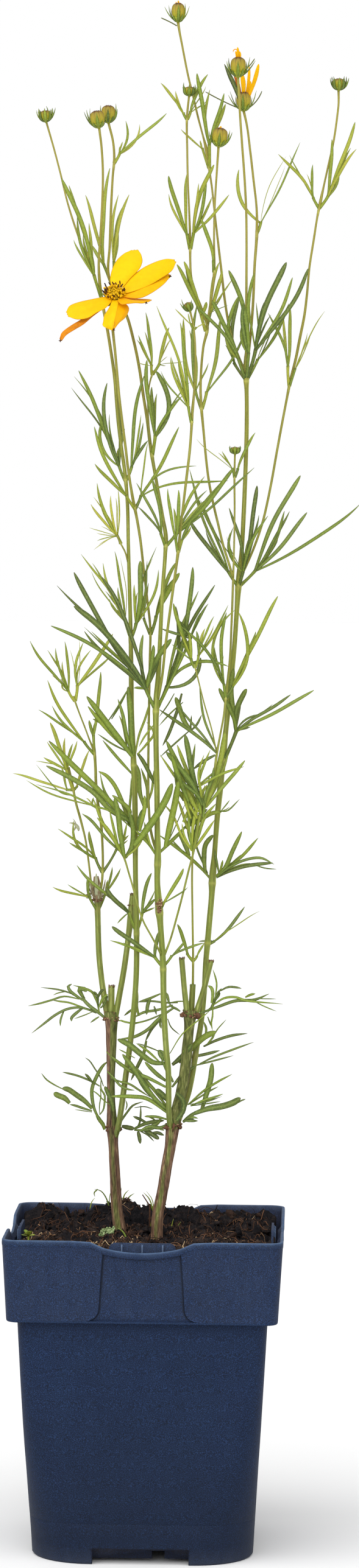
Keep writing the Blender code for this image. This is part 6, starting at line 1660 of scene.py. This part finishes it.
soil = {
    "half": 51.6,  # mm from the middle to the wall
    "level": 121.6,
    "under": 104.0,
    "cells": 150,
    "corners": 0.035,  # how far they are pulled in to the pot's rounded ones
    "rise": 0.045,  # the peat climbs towards the back
    # heaps: x, y, height, reach
    "lumps": [
        (-13, 20, 5.0, 6.0), (-21, 31, 5.0, 5.0), (-9.5, 32, 8.0, 5.5), (-1, 30, 4.0, 5.0),
        (5, 27, 5.5, 5.0), (13, 32, 5.0, 6.0), (18, 30, 3.5, 4.0), (-49, 34, 4.0, 4.0), (-42, 33, 5.0, 6.0),
        (26, 33, 2.5, 6.0), (48, 34, 6.5, 4.5), (41, 12, 3.0, 6.5), (-36, -12, 2.4, 9.0),
        (-30, 6, 2.5, 6.0), (27, -18, 2.5, 9.0), (6, 2, 3.0, 6.0), (16, 4, 3.0, 6.0), (-6, -24, 1.6, 8.0),
        (-46, -30, 1.6, 7.0), (44, -28, 1.8, 7.0)],
    # finer unevenness: how closely it is spaced, its own pattern, its height in mm
    "rugged": ((0.09, 1.0, 2.6), (0.24, 4.0, 2.2), (0.6, 9.0, 1.5), (1.5, 2.0, 0.7)),
    "fibres": 1900,
    "crumbs": 1100,
    "fibreEdge": 50.6,  # no fibre reaches further from the middle
}


def soilHeight(x, y):
    height = soil["level"] + soil["rise"] * (y + soil["half"])
    for lumpX, lumpY, rise, reach in soil["lumps"]:
        height += rise * math.exp(-((x - lumpX) ** 2 + (y - lumpY) ** 2) / reach ** 2)
    rugged = sum(noise.noise(Vector((x * near, y * near, own))) * tall for near, own, tall in soil["rugged"])
    edge = max(abs(x), abs(y))
    return height + rugged - 1.6 * max(0.0, (edge - 44) / 8)


def soilLight(x, y):  # the front and the left are paler and more fibrous than the back
    patch = 0.5 + noise.noise(Vector((x * 0.06 + 3, y * 0.06, 5.0))) * 1.1
    return min(max(patch - y / 95 - 0.1, 0.0), 1.0)


def makeSoil():
    cells = soil["cells"]
    half = soil["half"]
    weave = Weave()
    rows = []
    for j in range(cells + 1):
        row = []
        tints = []
        for i in range(cells + 1):
            x = (i / cells * 2 - 1) * half
            y = (j / cells * 2 - 1) * half
            corner = min(abs(x), abs(y)) / half
            shrink = 1.0 - soil["corners"] * max(0.0, corner - 0.7) / 0.3
            row.append(Vector((x * shrink, y * shrink, soilHeight(x, y))) * mm)
            tints.append((soilLight(x, y), 0.0, 0.0, 0.5))
        rows.append(weave.ring(row, tints))
    weave.sheet(rows)
    border = [row[0] for row in rows] + rows[-1][1:] + [row[-1] for row in reversed(rows[:-1])]
    border += list(reversed(rows[0][1:-1]))
    skirt = []
    for index in border:
        x, y, _ = weave.points[index]
        skirt.append(Vector((x * 0.95, y * 0.95, soil["under"] * mm)))
    under = weave.ring(skirt, (0.5, 0.0, 0.0, 0.5))
    weave.join(border, under)
    weave.lid(under)
    weave.piece("peatBlock", finishes["peat"], "peat", ("soil",))


def soilSpot(rough, reach=0.93):
    x = rough.uniform(-1, 1) * soil["half"] * reach
    y = rough.uniform(-1, 1) * soil["half"] * reach
    return x, y, soilHeight(x, y)


def makeFibres():
    rough = random.Random(21)
    weave = Weave()
    for k in range(soil["fibres"]):
        x, y, z = soilSpot(rough)
        pale = soilLight(x, y)
        if rough.random() > 0.35 + pale:
            continue
        turn = rough.uniform(0, tau)
        reach = rough.uniform(1.6, 5.0) if rough.random() < 0.86 else rough.uniform(5.0, 12.0)
        bend = rough.uniform(-1.2, 1.2)
        lift = rough.uniform(-0.3, 0.9)
        wide = rough.uniform(0.09, 0.3) * mm * (1.0 if reach < 5 else 0.7)
        light = min(rough.choice((0.0, 0.1, 0.2, 0.3, 0.42, 0.55, 0.7, 0.95)) * (0.45 + pale * 0.8), 1.0)
        rising = rough.random() < 0.12
        path = []
        for t in (0.0, 0.25, 0.5, 0.75, 1.0):
            heading = turn + bend * (t - 0.5)
            across = reach * (0.35 if rising else 1.0)
            u = min(max(x + math.cos(heading) * across * (t - 0.5), -soil["fibreEdge"]), soil["fibreEdge"])
            v = min(max(y + math.sin(heading) * across * (t - 0.5), -soil["fibreEdge"]), soil["fibreEdge"])
            rise = 0.2 + lift * reach * 0.25 * math.sin(math.pi * t)
            rise += t * min(reach, 4.5) * 0.7 if rising else 0.0
            path.append(Vector((u, v, soilHeight(u, v) + rise)) * mm)
        widths = [wide * share for share in (0.6, 1.0, 1.0, 0.9, 0.4)]
        tube(weave, path, widths, 4, [(light, 0, 0, rough.random())] * 5)
    weave.piece("peatFibres", finishes["fibre"], "peat")
    crumbs = Weave()
    for k in range(soil["crumbs"]):
        x, y, z = soilSpot(rough, 0.96)
        size = rough.uniform(0.4, 1.2) if rough.random() < 0.88 else rough.uniform(1.2, 2.3)
        clump(crumbs, Vector((x, y, z + size * 0.2)) * mm, size * mm, soilLight(x, y), rough)
    crumbs.piece("peatCrumbs", finishes["peat"], "peat")


def clump(weave, centre, size, light, rough):  # a ragged crumb of peat
    spin = rough.uniform(0, tau)
    axis = Vector((rough.uniform(-1, 1), rough.uniform(-1, 1), 1)).normalized()
    lean = Matrix.Rotation(spin, 3, axis)
    strand = 1.0 if rough.random() < 0.25 else 0.0
    flat = rough.uniform(0.4, 0.9)
    rings = []
    for z, girth in ((-0.8, 0.5), (-0.2, 1.0), (0.4, 0.8), (0.9, 0.3)):
        circle = []
        for k in range(7):
            turn = tau * k / 7 + z
            out = Vector((math.cos(turn) * girth, math.sin(turn) * girth, z * flat))
            circle.append(centre + lean @ (out * rough.uniform(0.45, 1.45)) * size)
        rings.append(weave.ring(circle, (light, strand, 0.0, rough.random())))
    weave.stack(rings)


sprouts = {
    # grass blades: depth, points (x, z), width
    "grass": [
        (30, [(-15.2, 135), (-16.4, 139), (-18.6, 142), (-21.4, 142.4)], 0.6),
        (30, [(-20, 142.4), (-21.6, 141), (-21, 139.4)], 0.6),
        (31, [(-15, 135), (-15.4, 139), (-14.4, 142.5)], 0.5),
        (33, [(-10, 137), (-9.4, 140.4), (-7.4, 142.4)], 0.6),
        (33, [(-10, 137), (-10.8, 140.6), (-10.4, 143.2)], 0.5),
        (33, [(-8.6, 137), (-7.4, 139.6), (-5.2, 141)], 0.6),
        (32, [(-12, 137), (-12.8, 139.4), (-13.6, 140.6)], 0.5),
        (31, [(-23, 134.4), (-22.4, 137.4), (-21, 139)], 0.5),
        (9, [(1, 126), (2.2, 131), (2.6, 138), (-0.5, 142)], 0.6),
        (26, [(2.5, 134), (3.6, 138), (5.5, 140.5)], 0.6),
        (26, [(2.2, 134), (1.2, 138.6), (-1.6, 141.4)], 0.6),
        (4, [(9.4, 125), (9.8, 128), (10.6, 131)], 0.5),
        (4, [(11, 125), (12.2, 128), (13.6, 129.8)], 0.5),
        (30, [(46.6, 124), (48.2, 127.5), (50.6, 128)], 1.0),
        (30, [(46.6, 124), (45.4, 128), (43.6, 129.6)], 0.9),
        (-14, [(-8, 122), (-9.5, 125.5), (-12, 127)], 0.8),
    ],
    # the cushion of moss: middle, reach and height in mm, and its number of crumbs
    "moss": {"x": -16, "y": -3, "reach": 2.6, "dome": 2.7, "crumbs": 110},
    # dry twigs: points (x, z), depth, radius
    "twigs": [
        ([(1, 124), (1, 136), (-2, 140.5)], 8, 0.35),
        ([(33, 123), (38, 126), (43, 126.4)], 10, 0.4),
        ([(-30, 123), (-26, 125.4), (-21, 125)], -8, 0.35),
    ],
}


def makeSprouts():
    rough = random.Random(4)
    weave = Weave()
    for depth, line, width in sprouts["grass"]:
        keys = [lay(x, depth, z) for x, z in line]
        path = []
        for low, high in zip(keys, keys[1:]):
            path += [low.lerp(high, t) for t in (0.0, 0.34, 0.67)]
        path.append(keys[-1])
        middles = [(path[k - 1] + path[k] + path[k + 1]) / 3 for k in range(1, len(path) - 1)]
        path = [path[0]] + middles + [path[-1]]
        count = len(path) - 1
        widths = [width * mm * (1.0 - 0.85 * (k / count) ** 3) for k in range(count + 1)]
        facing = turned(Vector((0, -1, 0.3)), keys[-1] - keys[0], rough.uniform(-40, 40))
        blade(weave, path, widths, 0.3 * mm, facing, 0.55, rough.random())
    weave.piece("soilGrass", finishes["leaf"], "leaf")
    moss = Weave()
    cushion = sprouts["moss"]
    for k in range(cushion["crumbs"]):
        turn = rough.uniform(0, tau)
        reach = cushion["reach"] * math.sqrt(rough.random())
        x = cushion["x"] + reach * math.cos(turn) * 1.15
        y = cushion["y"] + reach * math.sin(turn)
        dome = cushion["dome"] * math.sqrt(max(0.0, 1.0 - (reach / 2.8) ** 2))
        place = Vector((x, y, soilHeight(x, y) + dome * rough.uniform(0.6, 1.0))) * mm
        clump(moss, place, rough.uniform(0.45, 0.8) * mm, 0.5, rough)
    moss.piece("mossTuft", finishes["moss"], "leaf")
    twigs = Weave()
    for line, depth, wide in sprouts["twigs"]:
        keys = [lay(x, depth, z) for x, z in line]
        radii = [wide * mm, wide * mm, wide * 0.6 * mm]
        tube(twigs, keys, radii, 6, [(0.45, 0, 0, rough.random())] * 3)
    twigs.piece("soilTwigs", finishes["fibre"], "peat")


seedling = {
    "leaves": 7,
    "neck": 0.45,  # share of the height where the leaves start
    "widths": (2.2, 2.9),
    "tone": 0.62,
}


def makeSeedling():
    low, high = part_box("seedling")
    rough = random.Random(8)
    weave = Weave()
    foot = Vector(((low[0] + high[0]) / 2, (low[1] + high[1]) / 2, low[2]))
    neck = Vector((foot.x, foot.y, low[2] + (high[2] - low[2]) * seedling["neck"]))
    stalk = [foot - Vector((0, 0, 1.5)) * mm, foot.lerp(neck, 0.5), neck]
    tube(weave, stalk, [0.5 * mm, 0.45 * mm, 0.4 * mm], 8, [(0.7, 0, 0.4, 0.5)] * 3)
    for k in range(seedling["leaves"]):
        turn = tau * k / seedling["leaves"] + 0.6
        share = (k % 3) / 3
        reach = (high[0] - low[0]) * 0.5 * (0.95 - 0.3 * share)
        tall = (high[2] - neck.z) * (0.12 + 0.5 * share)
        out = Vector((math.cos(turn), math.sin(turn), 0))
        end = neck + out * reach + Vector((0, 0, tall))
        knee = neck + out * reach * 0.5 + Vector((0, 0, tall * 0.9))
        widths = scaled(rough.uniform(*seedling["widths"]), (0.25, 0.35, 0.7, 1.0, 1.0, 0.7, 0.12))
        blade(weave, bent(neck, knee, end, (0, 0.16, 0.32, 0.5, 0.68, 0.84, 1)), widths, 0.35 * mm,
              Vector((out.x * 0.2, out.y * 0.2, 1.0)), seedling["tone"], rough.random())
    weave.piece("seedling_fine", finishes["leaf"], "leaf", ("seedling",))


pot = {
    # rings of the floor and up the outside: height, half-width and corner radius in mm
    "floor": ((2.4, 8.0, 4.0), (2.4, 30.0, 14.0), (2.0, 38.0, 19.0), (0.0, 40.6, 21.5)),
    "rows": [
        (0.0, 43.3, 23.4), (0.8, 44.0, 24.0), (3.0, 44.15, 24.0), (7.0, 44.35, 23.6), (11.0, 44.55, 22.6),
        (15.6, 44.8, 21.0), (16.1, 44.68, 20.8), (16.6, 44.85, 20.6), (23.0, 45.2, 18.4), (30.0, 45.55, 16.0),
        (37.0, 45.9, 13.6), (45.0, 46.4, 11.4), (54.0, 46.9, 9.4), (72.0, 47.85, 7.0), (90.0, 48.75, 6.0),
        (96.6, 49.1, 5.8)],
    "skirtLow": (97.0, 53.15, 5.2),
    "skirtTop": (129.4, 55.0, 5.6),
    "panelDepth": 1.1,
    "panelTop": 15.2,
    "panelLow": 17.2,
    "panelFlare": 4.6,  # how far the flaps' lower corners are rounded
    "lipBand": 0.8,
    "footWidth": 38.0,
    "footHeight": 6.4,
    "slotLower": 1.8,  # how much lower the slot behind a notch is
    "cornerSteps": 10,
    # the skirt's lower edge: rise, inset, wear and painted highlight
    "skirtEdge": ((-0.25, 3.4, 0.0), (-0.3, 1.2, 0.0), (-0.2, 0.35, 0.0), (0.15, 0.05, 0.12),
                  (0.5, 0.0, 0.06), (0.72, 0.0, 0.05)),
    # heights of the rings on the skirt: close together on the lip band, then up to the bead
    "lipRings": (-0.05, 0.2, 0.9, 1.7, 2.7, 3.7, 4.6),
    "skirtRings": (7.5, 10.5, 14.0, 18.0, 22.0, 25.5, 28.0, 29.4, 29.75),
    # the bead along the top edge: rise, inset, wear and painted highlight, painted shadow under the bead
    "bead": ((-2.55, 0.13, 0.0, 0.7), (-2.4, 0.06, 0.05, 0.1), (-1.6, -0.02, 0.1, 0.0),
             (-0.8, 0.02, 0.2, 0.0), (-0.35, 0.06, 0.45, 0.0), (-0.08, 0.16, 0.9, 0.0),
             (0.0, 0.45, 0.75, 0.0), (0.0, 0.85, 0.7, 0.0), (-0.16, 1.16, 0.6, 0.0), (-0.6, 1.32, 0.3, 0.0)),
    "inside": (2.5, 6.0, 10.0, 16.0, 24.0),  # depths of the rings down the inside
}
insideColumns = (
    -1.0, -0.985, -0.965, -0.93, -0.85, -0.7, -0.45, -0.2, 0.0, 0.2, 0.45, 0.7, 0.85, 0.93, 0.965, 0.985,
    1.0
)
outsideColumns = (0.012, 0.04, 0.14, 0.35, 0.6, 0.85, 1.0)


def potRing(z, half, corner, panelHalf=None, depth=0.0, dip=0.0):  # one loop round the pot, side by side
    flat = half - corner
    panelHalf = min(panelHalf or pot["panelLow"], flat * 0.8)
    columns = [-(panelHalf + q * (flat - panelHalf)) for q in reversed(outsideColumns)]
    columns += [s * panelHalf for s in insideColumns]
    columns += [panelHalf + q * (flat - panelHalf) for q in outsideColumns]
    loop = []
    for side in range(4):
        turn = Matrix.Rotation(side * math.pi / 2, 3, "Z")
        for u in columns:
            inner = min(max((1.0 - abs(u) / panelHalf) / 0.035, 0.0), 1.0)
            loop.append(turn @ Vector((u, -half + depth * inner, z - rimDip(u) * dip)))
        for k in range(1, pot["cornerSteps"]):
            angle = -math.pi / 2 + k / pot["cornerSteps"] * math.pi / 2
            loop.append(turn @ Vector((flat + corner * math.cos(angle), -flat + corner * math.sin(angle), z)))
    return [place * mm for place in loop]


def potTints(wearAndHighlight, dust, deep, start, stop):  # painted shade between two shares of the panel's width
    row = [deep if start < abs(s) < stop else 0.0 for s in insideColumns]
    outer = [0.0] * len(outsideColumns)
    side = outer + row + outer + [0.0] * (pot["cornerSteps"] - 1)
    return [(wearAndHighlight, dust, shade, 0.5) for shade in side * 4]


def rimDip(u):
    slope = min(max((22 - abs(u)) / 7.5, 0.0), 1.0)
    return 2.4 * slope * slope * (3 - 2 * slope) + 2.1 * max(0.0, 1 - (u / 16) ** 2)


def panelHalfAt(z):
    low, high = pot["skirtLow"][0] + pot["lipBand"], pot["skirtTop"][0]
    share = min(max((z - low) / (high - low), 0.0), 1.0)
    half = pot["panelLow"] + (pot["panelTop"] - pot["panelLow"]) * share
    left = max(0.0, 1.0 - (z - low) / pot["panelFlare"])
    return half + pot["panelFlare"] * (1.0 - math.sqrt(max(0.0, 1.0 - min(left, 1.0) ** 2)))


def makePot():
    weave = Weave()
    rings = []
    for z, half, corner in pot["floor"]:
        rings.append(weave.ring(potRing(z, half, corner), (0.1, 0.4, 0.0, 0.5)))
    for z, half, corner in pot["rows"]:
        low = max(0.0, 1.0 - z / 5.0)
        # the body is painted darker towards the bottom: painted shade
        shade = 0.17 + 0.5 * max(0.0, 1.0 - z / 66.0)
        rings.append(weave.ring(potRing(z, half, corner), (0.03 + 0.1 * low, 0.12 * low, shade, 0.5)))
    z, half, corner = pot["skirtLow"]
    for rise, inset, wearAndHighlight in pot["skirtEdge"]:
        rings.append(weave.ring(potRing(z + rise, half - inset, corner - inset * 0.7), (wearAndHighlight, 0.0, 0.0, 0.5)))
    top, wide, topCorner = pot["skirtTop"]
    band = pot["lipBand"]
    for rise in [band + step for step in pot["lipRings"]] + list(pot["skirtRings"]):
        t = rise / (top - z)
        depth = pot["panelDepth"] * min(max((rise - band + 0.05) / 0.25, 0.0), 1.0)
        share = max(0.0, (t - 0.55) / 0.45)
        paintedShade = 0.9 if depth > 0.8 else 0.0
        loop = potRing(z + rise, half + (wide - half) * t, corner + (topCorner - corner) * t,
                       panelHalfAt(z + rise), depth, share)
        # the crack beside each flap is painted in shade
        rings.append(weave.ring(loop, potTints(0.06, 0.05, paintedShade, 0.96, 0.999)))
    # the lowest ring of the bead is painted dark: painted shadow under the bead
    for rise, inset, wearAndHighlight, shade in pot["bead"]:
        loop = potRing(top + rise, wide - inset, topCorner - inset * 0.6, pot["panelTop"] + 0.2, 0.15, 1.0)
        rings.append(weave.ring(loop, potTints(wearAndHighlight, 0.22 if inset > 0.5 else 0.03, shade, -1.0, 1.0)))
    for drop in pot["inside"]:
        share = max(0.0, 1.0 - drop / 12.0)
        loop = potRing(top - drop, wide - 1.4 - drop * 0.057, topCorner - 1.0, pot["panelTop"],
                       pot["panelDepth"], share)
        rings.append(weave.ring(loop, (0.05, 0.1 + 0.2 * min(drop / 8, 1.0), 0.0, 0.5)))
    weave.stack(rings)
    made = weave.piece("pot_fine", finishes["pot"], "pot_plastic", ("pot",))
    cutFeet(made)
    labelTabs()


def boxAt(shape, low, high):  # a plain block between two corners, in mm
    corners = []
    for x in (low[0], high[0]):
        for y in (low[1], high[1]):
            for z in (low[2], high[2]):
                corners.append(shape.verts.new(Vector((x, y, z)) * mm))
    for a, b, c, d in ((0, 1, 3, 2), (4, 6, 7, 5), (0, 4, 5, 1), (2, 3, 7, 6), (0, 2, 6, 4), (1, 5, 7, 3)):
        shape.faces.new((corners[a], corners[b], corners[c], corners[d]))


def cutFeet(made):  # the drain notch in the foot of each side, and the slot behind it
    shape = bmesh.new()
    half = pot["footWidth"] / 2
    quarter = Matrix.Rotation(math.pi / 2, 3, "Z")
    for side in range(4):
        boxAt(shape, (-half, -50.0, -1.0), (half, -38.5, pot["footHeight"]))
        boxAt(shape, (4.4, -39.5, -1.0), (9.4, -24.0, pot["footHeight"] - pot["slotLower"]))
        bmesh.ops.rotate(shape, verts=shape.verts, cent=(0, 0, 0), matrix=quarter)
    bmesh.ops.recalc_face_normals(shape, faces=shape.faces)
    mesh = bpy.data.meshes.new("footCutter")
    shape.to_mesh(mesh)
    shape.free()
    mesh.materials.append(finishes["pot"])
    cutter = bpy.data.objects.new("footCutter", mesh)
    bpy.context.scene.collection.objects.link(cutter)
    cut = made.modifiers.new("foot", "BOOLEAN")
    cut.object = cutter
    cut.operation = "DIFFERENCE"
    cut.use_self = True
    bpy.context.view_layer.update()
    graph = bpy.context.evaluated_depsgraph_get()
    carved = bpy.data.meshes.new_from_object(made.evaluated_get(graph))
    made.modifiers.clear()
    made.data = carved
    for shade in carved.color_attributes["tint"].data:
        if min(shade.color) > 0.99:  # the points that the cut has made, painted dark: painted shade in the notch and the slot
            shade.color = (0.0, 0.03, 0.75, 0.5)
    bpy.data.objects.remove(cutter)
    crease(made, "pot")


tab = {  # outlines (x, z), and how far out each side of the tab and of its ribs stands
    "plate": [(-13, 104), (-13, 126.4), (-12.3, 127.7), (-11, 128.3), (11, 128.3), (12.3, 127.7), (13, 126.4),
              (13, 104)],
    "front": -50.85,
    "back": -49.95,
    "ribs": (-8, 0, 8),
    "ribFace": [(-0.25, 104), (-0.25, 127.0), (0.25, 127.0), (0.25, 104)],
    "ribRoot": [(-0.35, 104), (-0.35, 127.8), (0.35, 127.8), (0.35, 104)],
    "ribFront": -51.7,
    "ribBack": -50.8,
}


def labelTabs():  # the ribbed tab that stands behind the dip of each side
    weave = Weave()

    def plate(turn, outline, across, y, tint):
        return weave.ring([turn @ Vector((across + x, y, z)) * mm for x, z in outline], tint)

    for side in range(4):
        turn = Matrix.Rotation(side * math.pi / 2, 3, "Z")
        sides = (tab["front"], tab["back"])
        weave.stack([plate(turn, tab["plate"], 0, y, (0.15, 0.1, 0.0, 0.5)) for y in sides])
        for rib in tab["ribs"]:
            # the rib faces are painted lighter: wear and painted highlight
            weave.stack([plate(turn, tab["ribFace"], rib, tab["ribFront"], (1.0, 0.3, 0.0, 0.5)),
                         plate(turn, tab["ribRoot"], rib, tab["ribBack"], (0.6, 0.0, 0.0, 0.5))])
    crease(weave.piece("labelTabs", finishes["pot"], "pot_plastic"), "pot")


# short dry scraps caught among the leaves: x, depth, z, reach
scraps = [(-30, 12, 289, 4.4), (-35.7, 8, 346.3, 3.0), (-24.5, 9, 260.8, 2.4)]


def makeScraps():
    weave = Weave()
    rough = random.Random(31)
    for x, depth, z, reach in scraps:
        centre = lay(x, depth, z)
        for strand in range(3):
            turn = rough.uniform(0, tau)
            path = []
            for k in range(9):
                t = k / 8
                angle = turn + 1.7 * (t - 0.5)
                across, rise = math.cos(angle) - math.cos(turn), math.sin(angle) - math.sin(turn)
                path.append(centre + Vector((across, 0.8 * (t - 0.5), rise)) * reach * 0.75 * mm)
            widths = scaled(rough.uniform(0.6, 1.6), (0.4, 0.8, 1, 1, 0.9, 0.8, 0.6, 0.4, 0.15))
            tone = rough.uniform(0.5, 1.0)
            blade(weave, path, widths, 0.25 * mm, Vector((0.1, -1, 0.3)), tone, rough.random())
    weave.piece("witheredScraps", finishes["withered"], "leaf")


finishes = {
    "pot": potPlastic(),
    "peat": peatFinish(),
    "fibre": fibreFinish(),
    "stem": stemFinish(),
    "bark": barkFinish(),
    "leaf": leafFinish(),
    "withered": witheredFinish(),
    "bud": budFinish(),
    "petal": petalFinish(),
    "floret": floretFinish(),
    "moss": mossFinish(),
    "char": charFinish(),
}
print("finishes ready:", len(finishes))

makePot()
print("pot ready")
makeSoil()
makeFibres()
makeSprouts()
makeSeedling()
print("soil ready")
for stem in stemTable:
    woody = stem.startswith("cane")
    makeStem(stem, finishes["bark" if woody else "stem"], "cane_bark" if woody else "green_stem")
makeScars()
cutEnds()
print("stems ready:", len(stemTable))
for name, entry in leafTable.items():
    makeLeaf(name, entry)
for name, entry in fronds.items():
    makeFrond(name, entry)
makeScraps()
print("leaves ready:", len(leafTable) + len(fronds))
for name, values in budTable.items():
    makeBud(name, values)
makeBudTufts()
makePetals()
makeDisc()
makeOpening()
print("flower heads ready:", len(budTable) + 2)

stage = {
    "floor": (0.9, 0.9, 0.9, 1.0),
    "reach": 60.0,  # metres from the middle of the floor to its edge
    "room": 0.55,  # light from all round; the backdrop itself stays white
    # soft lamps: direction they shine from, strength, softness in degrees
    "lamps": {"keyLight": ((-0.5, -0.8, 0.95), 2.4, 75), "fillLight": ((0.9, -0.9, 0.55), 1.1, 85)},
}


def makeStage():
    mesh = bpy.data.meshes.new("paleFloor")
    reach = stage["reach"]
    corners = [(-reach, -reach, 0), (reach, -reach, 0), (reach, reach, 0), (-reach, reach, 0)]
    mesh.from_pydata(corners, [], [(0, 1, 2, 3)])
    plain = bpy.data.materials.new("paleFloor")
    plain.use_nodes = True
    plain.node_tree.nodes["Principled BSDF"].inputs["Base Color"].default_value = stage["floor"]
    plain.node_tree.nodes["Principled BSDF"].inputs["Roughness"].default_value = 0.8
    mesh.materials.append(plain)
    floor = bpy.data.objects.new("paleFloor", mesh)
    bpy.context.scene.collection.objects.link(floor)
    world = bpy.data.worlds.new("softRoom")
    world.use_nodes = True
    tree = world.node_tree
    seen = tree.nodes.new("ShaderNodeLightPath")
    strength = tree.nodes.new("ShaderNodeMapRange")
    tree.links.new(seen.outputs["Is Camera Ray"], strength.inputs["Value"])
    strength.inputs["To Min"].default_value = stage["room"]
    strength.inputs["To Max"].default_value = 1.0
    tree.nodes["Background"].inputs["Color"].default_value = (1.0, 1.0, 1.0, 1.0)
    tree.links.new(strength.outputs["Result"], tree.nodes["Background"].inputs["Strength"])
    bpy.context.scene.world = world


def makeLamps():
    for name, (source, strength, softness) in stage["lamps"].items():
        lamp = bpy.data.lights.new(name, "SUN")
        lamp.energy = strength
        lamp.angle = math.radians(softness)
        made = bpy.data.objects.new(name, lamp)
        made.location = source
        made.rotation_euler = Vector(source).to_track_quat("Z", "Y").to_euler()
        bpy.context.scene.collection.objects.link(made)


def makeCamera():
    lens = bpy.data.cameras.new("front")
    lens.lens = view["lens"]
    lens.sensor_width = 36.0
    made = bpy.data.objects.new("front", lens)
    turn = Matrix.Rotation(math.radians(view["turn"]), 4, "Z")
    tilt = Matrix.Rotation(math.radians(90 - view["down"]), 4, "X")
    roll = Matrix.Rotation(math.radians(view["roll"]), 4, "Z")
    made.matrix_world = Matrix.Translation(view["place"]) @ turn @ tilt @ roll
    bpy.context.scene.collection.objects.link(made)
    bpy.context.scene.camera = made


makeStage()
makeLamps()
makeCamera()
bpy.context.scene.view_settings.view_transform = "Standard"
print("stage ready")
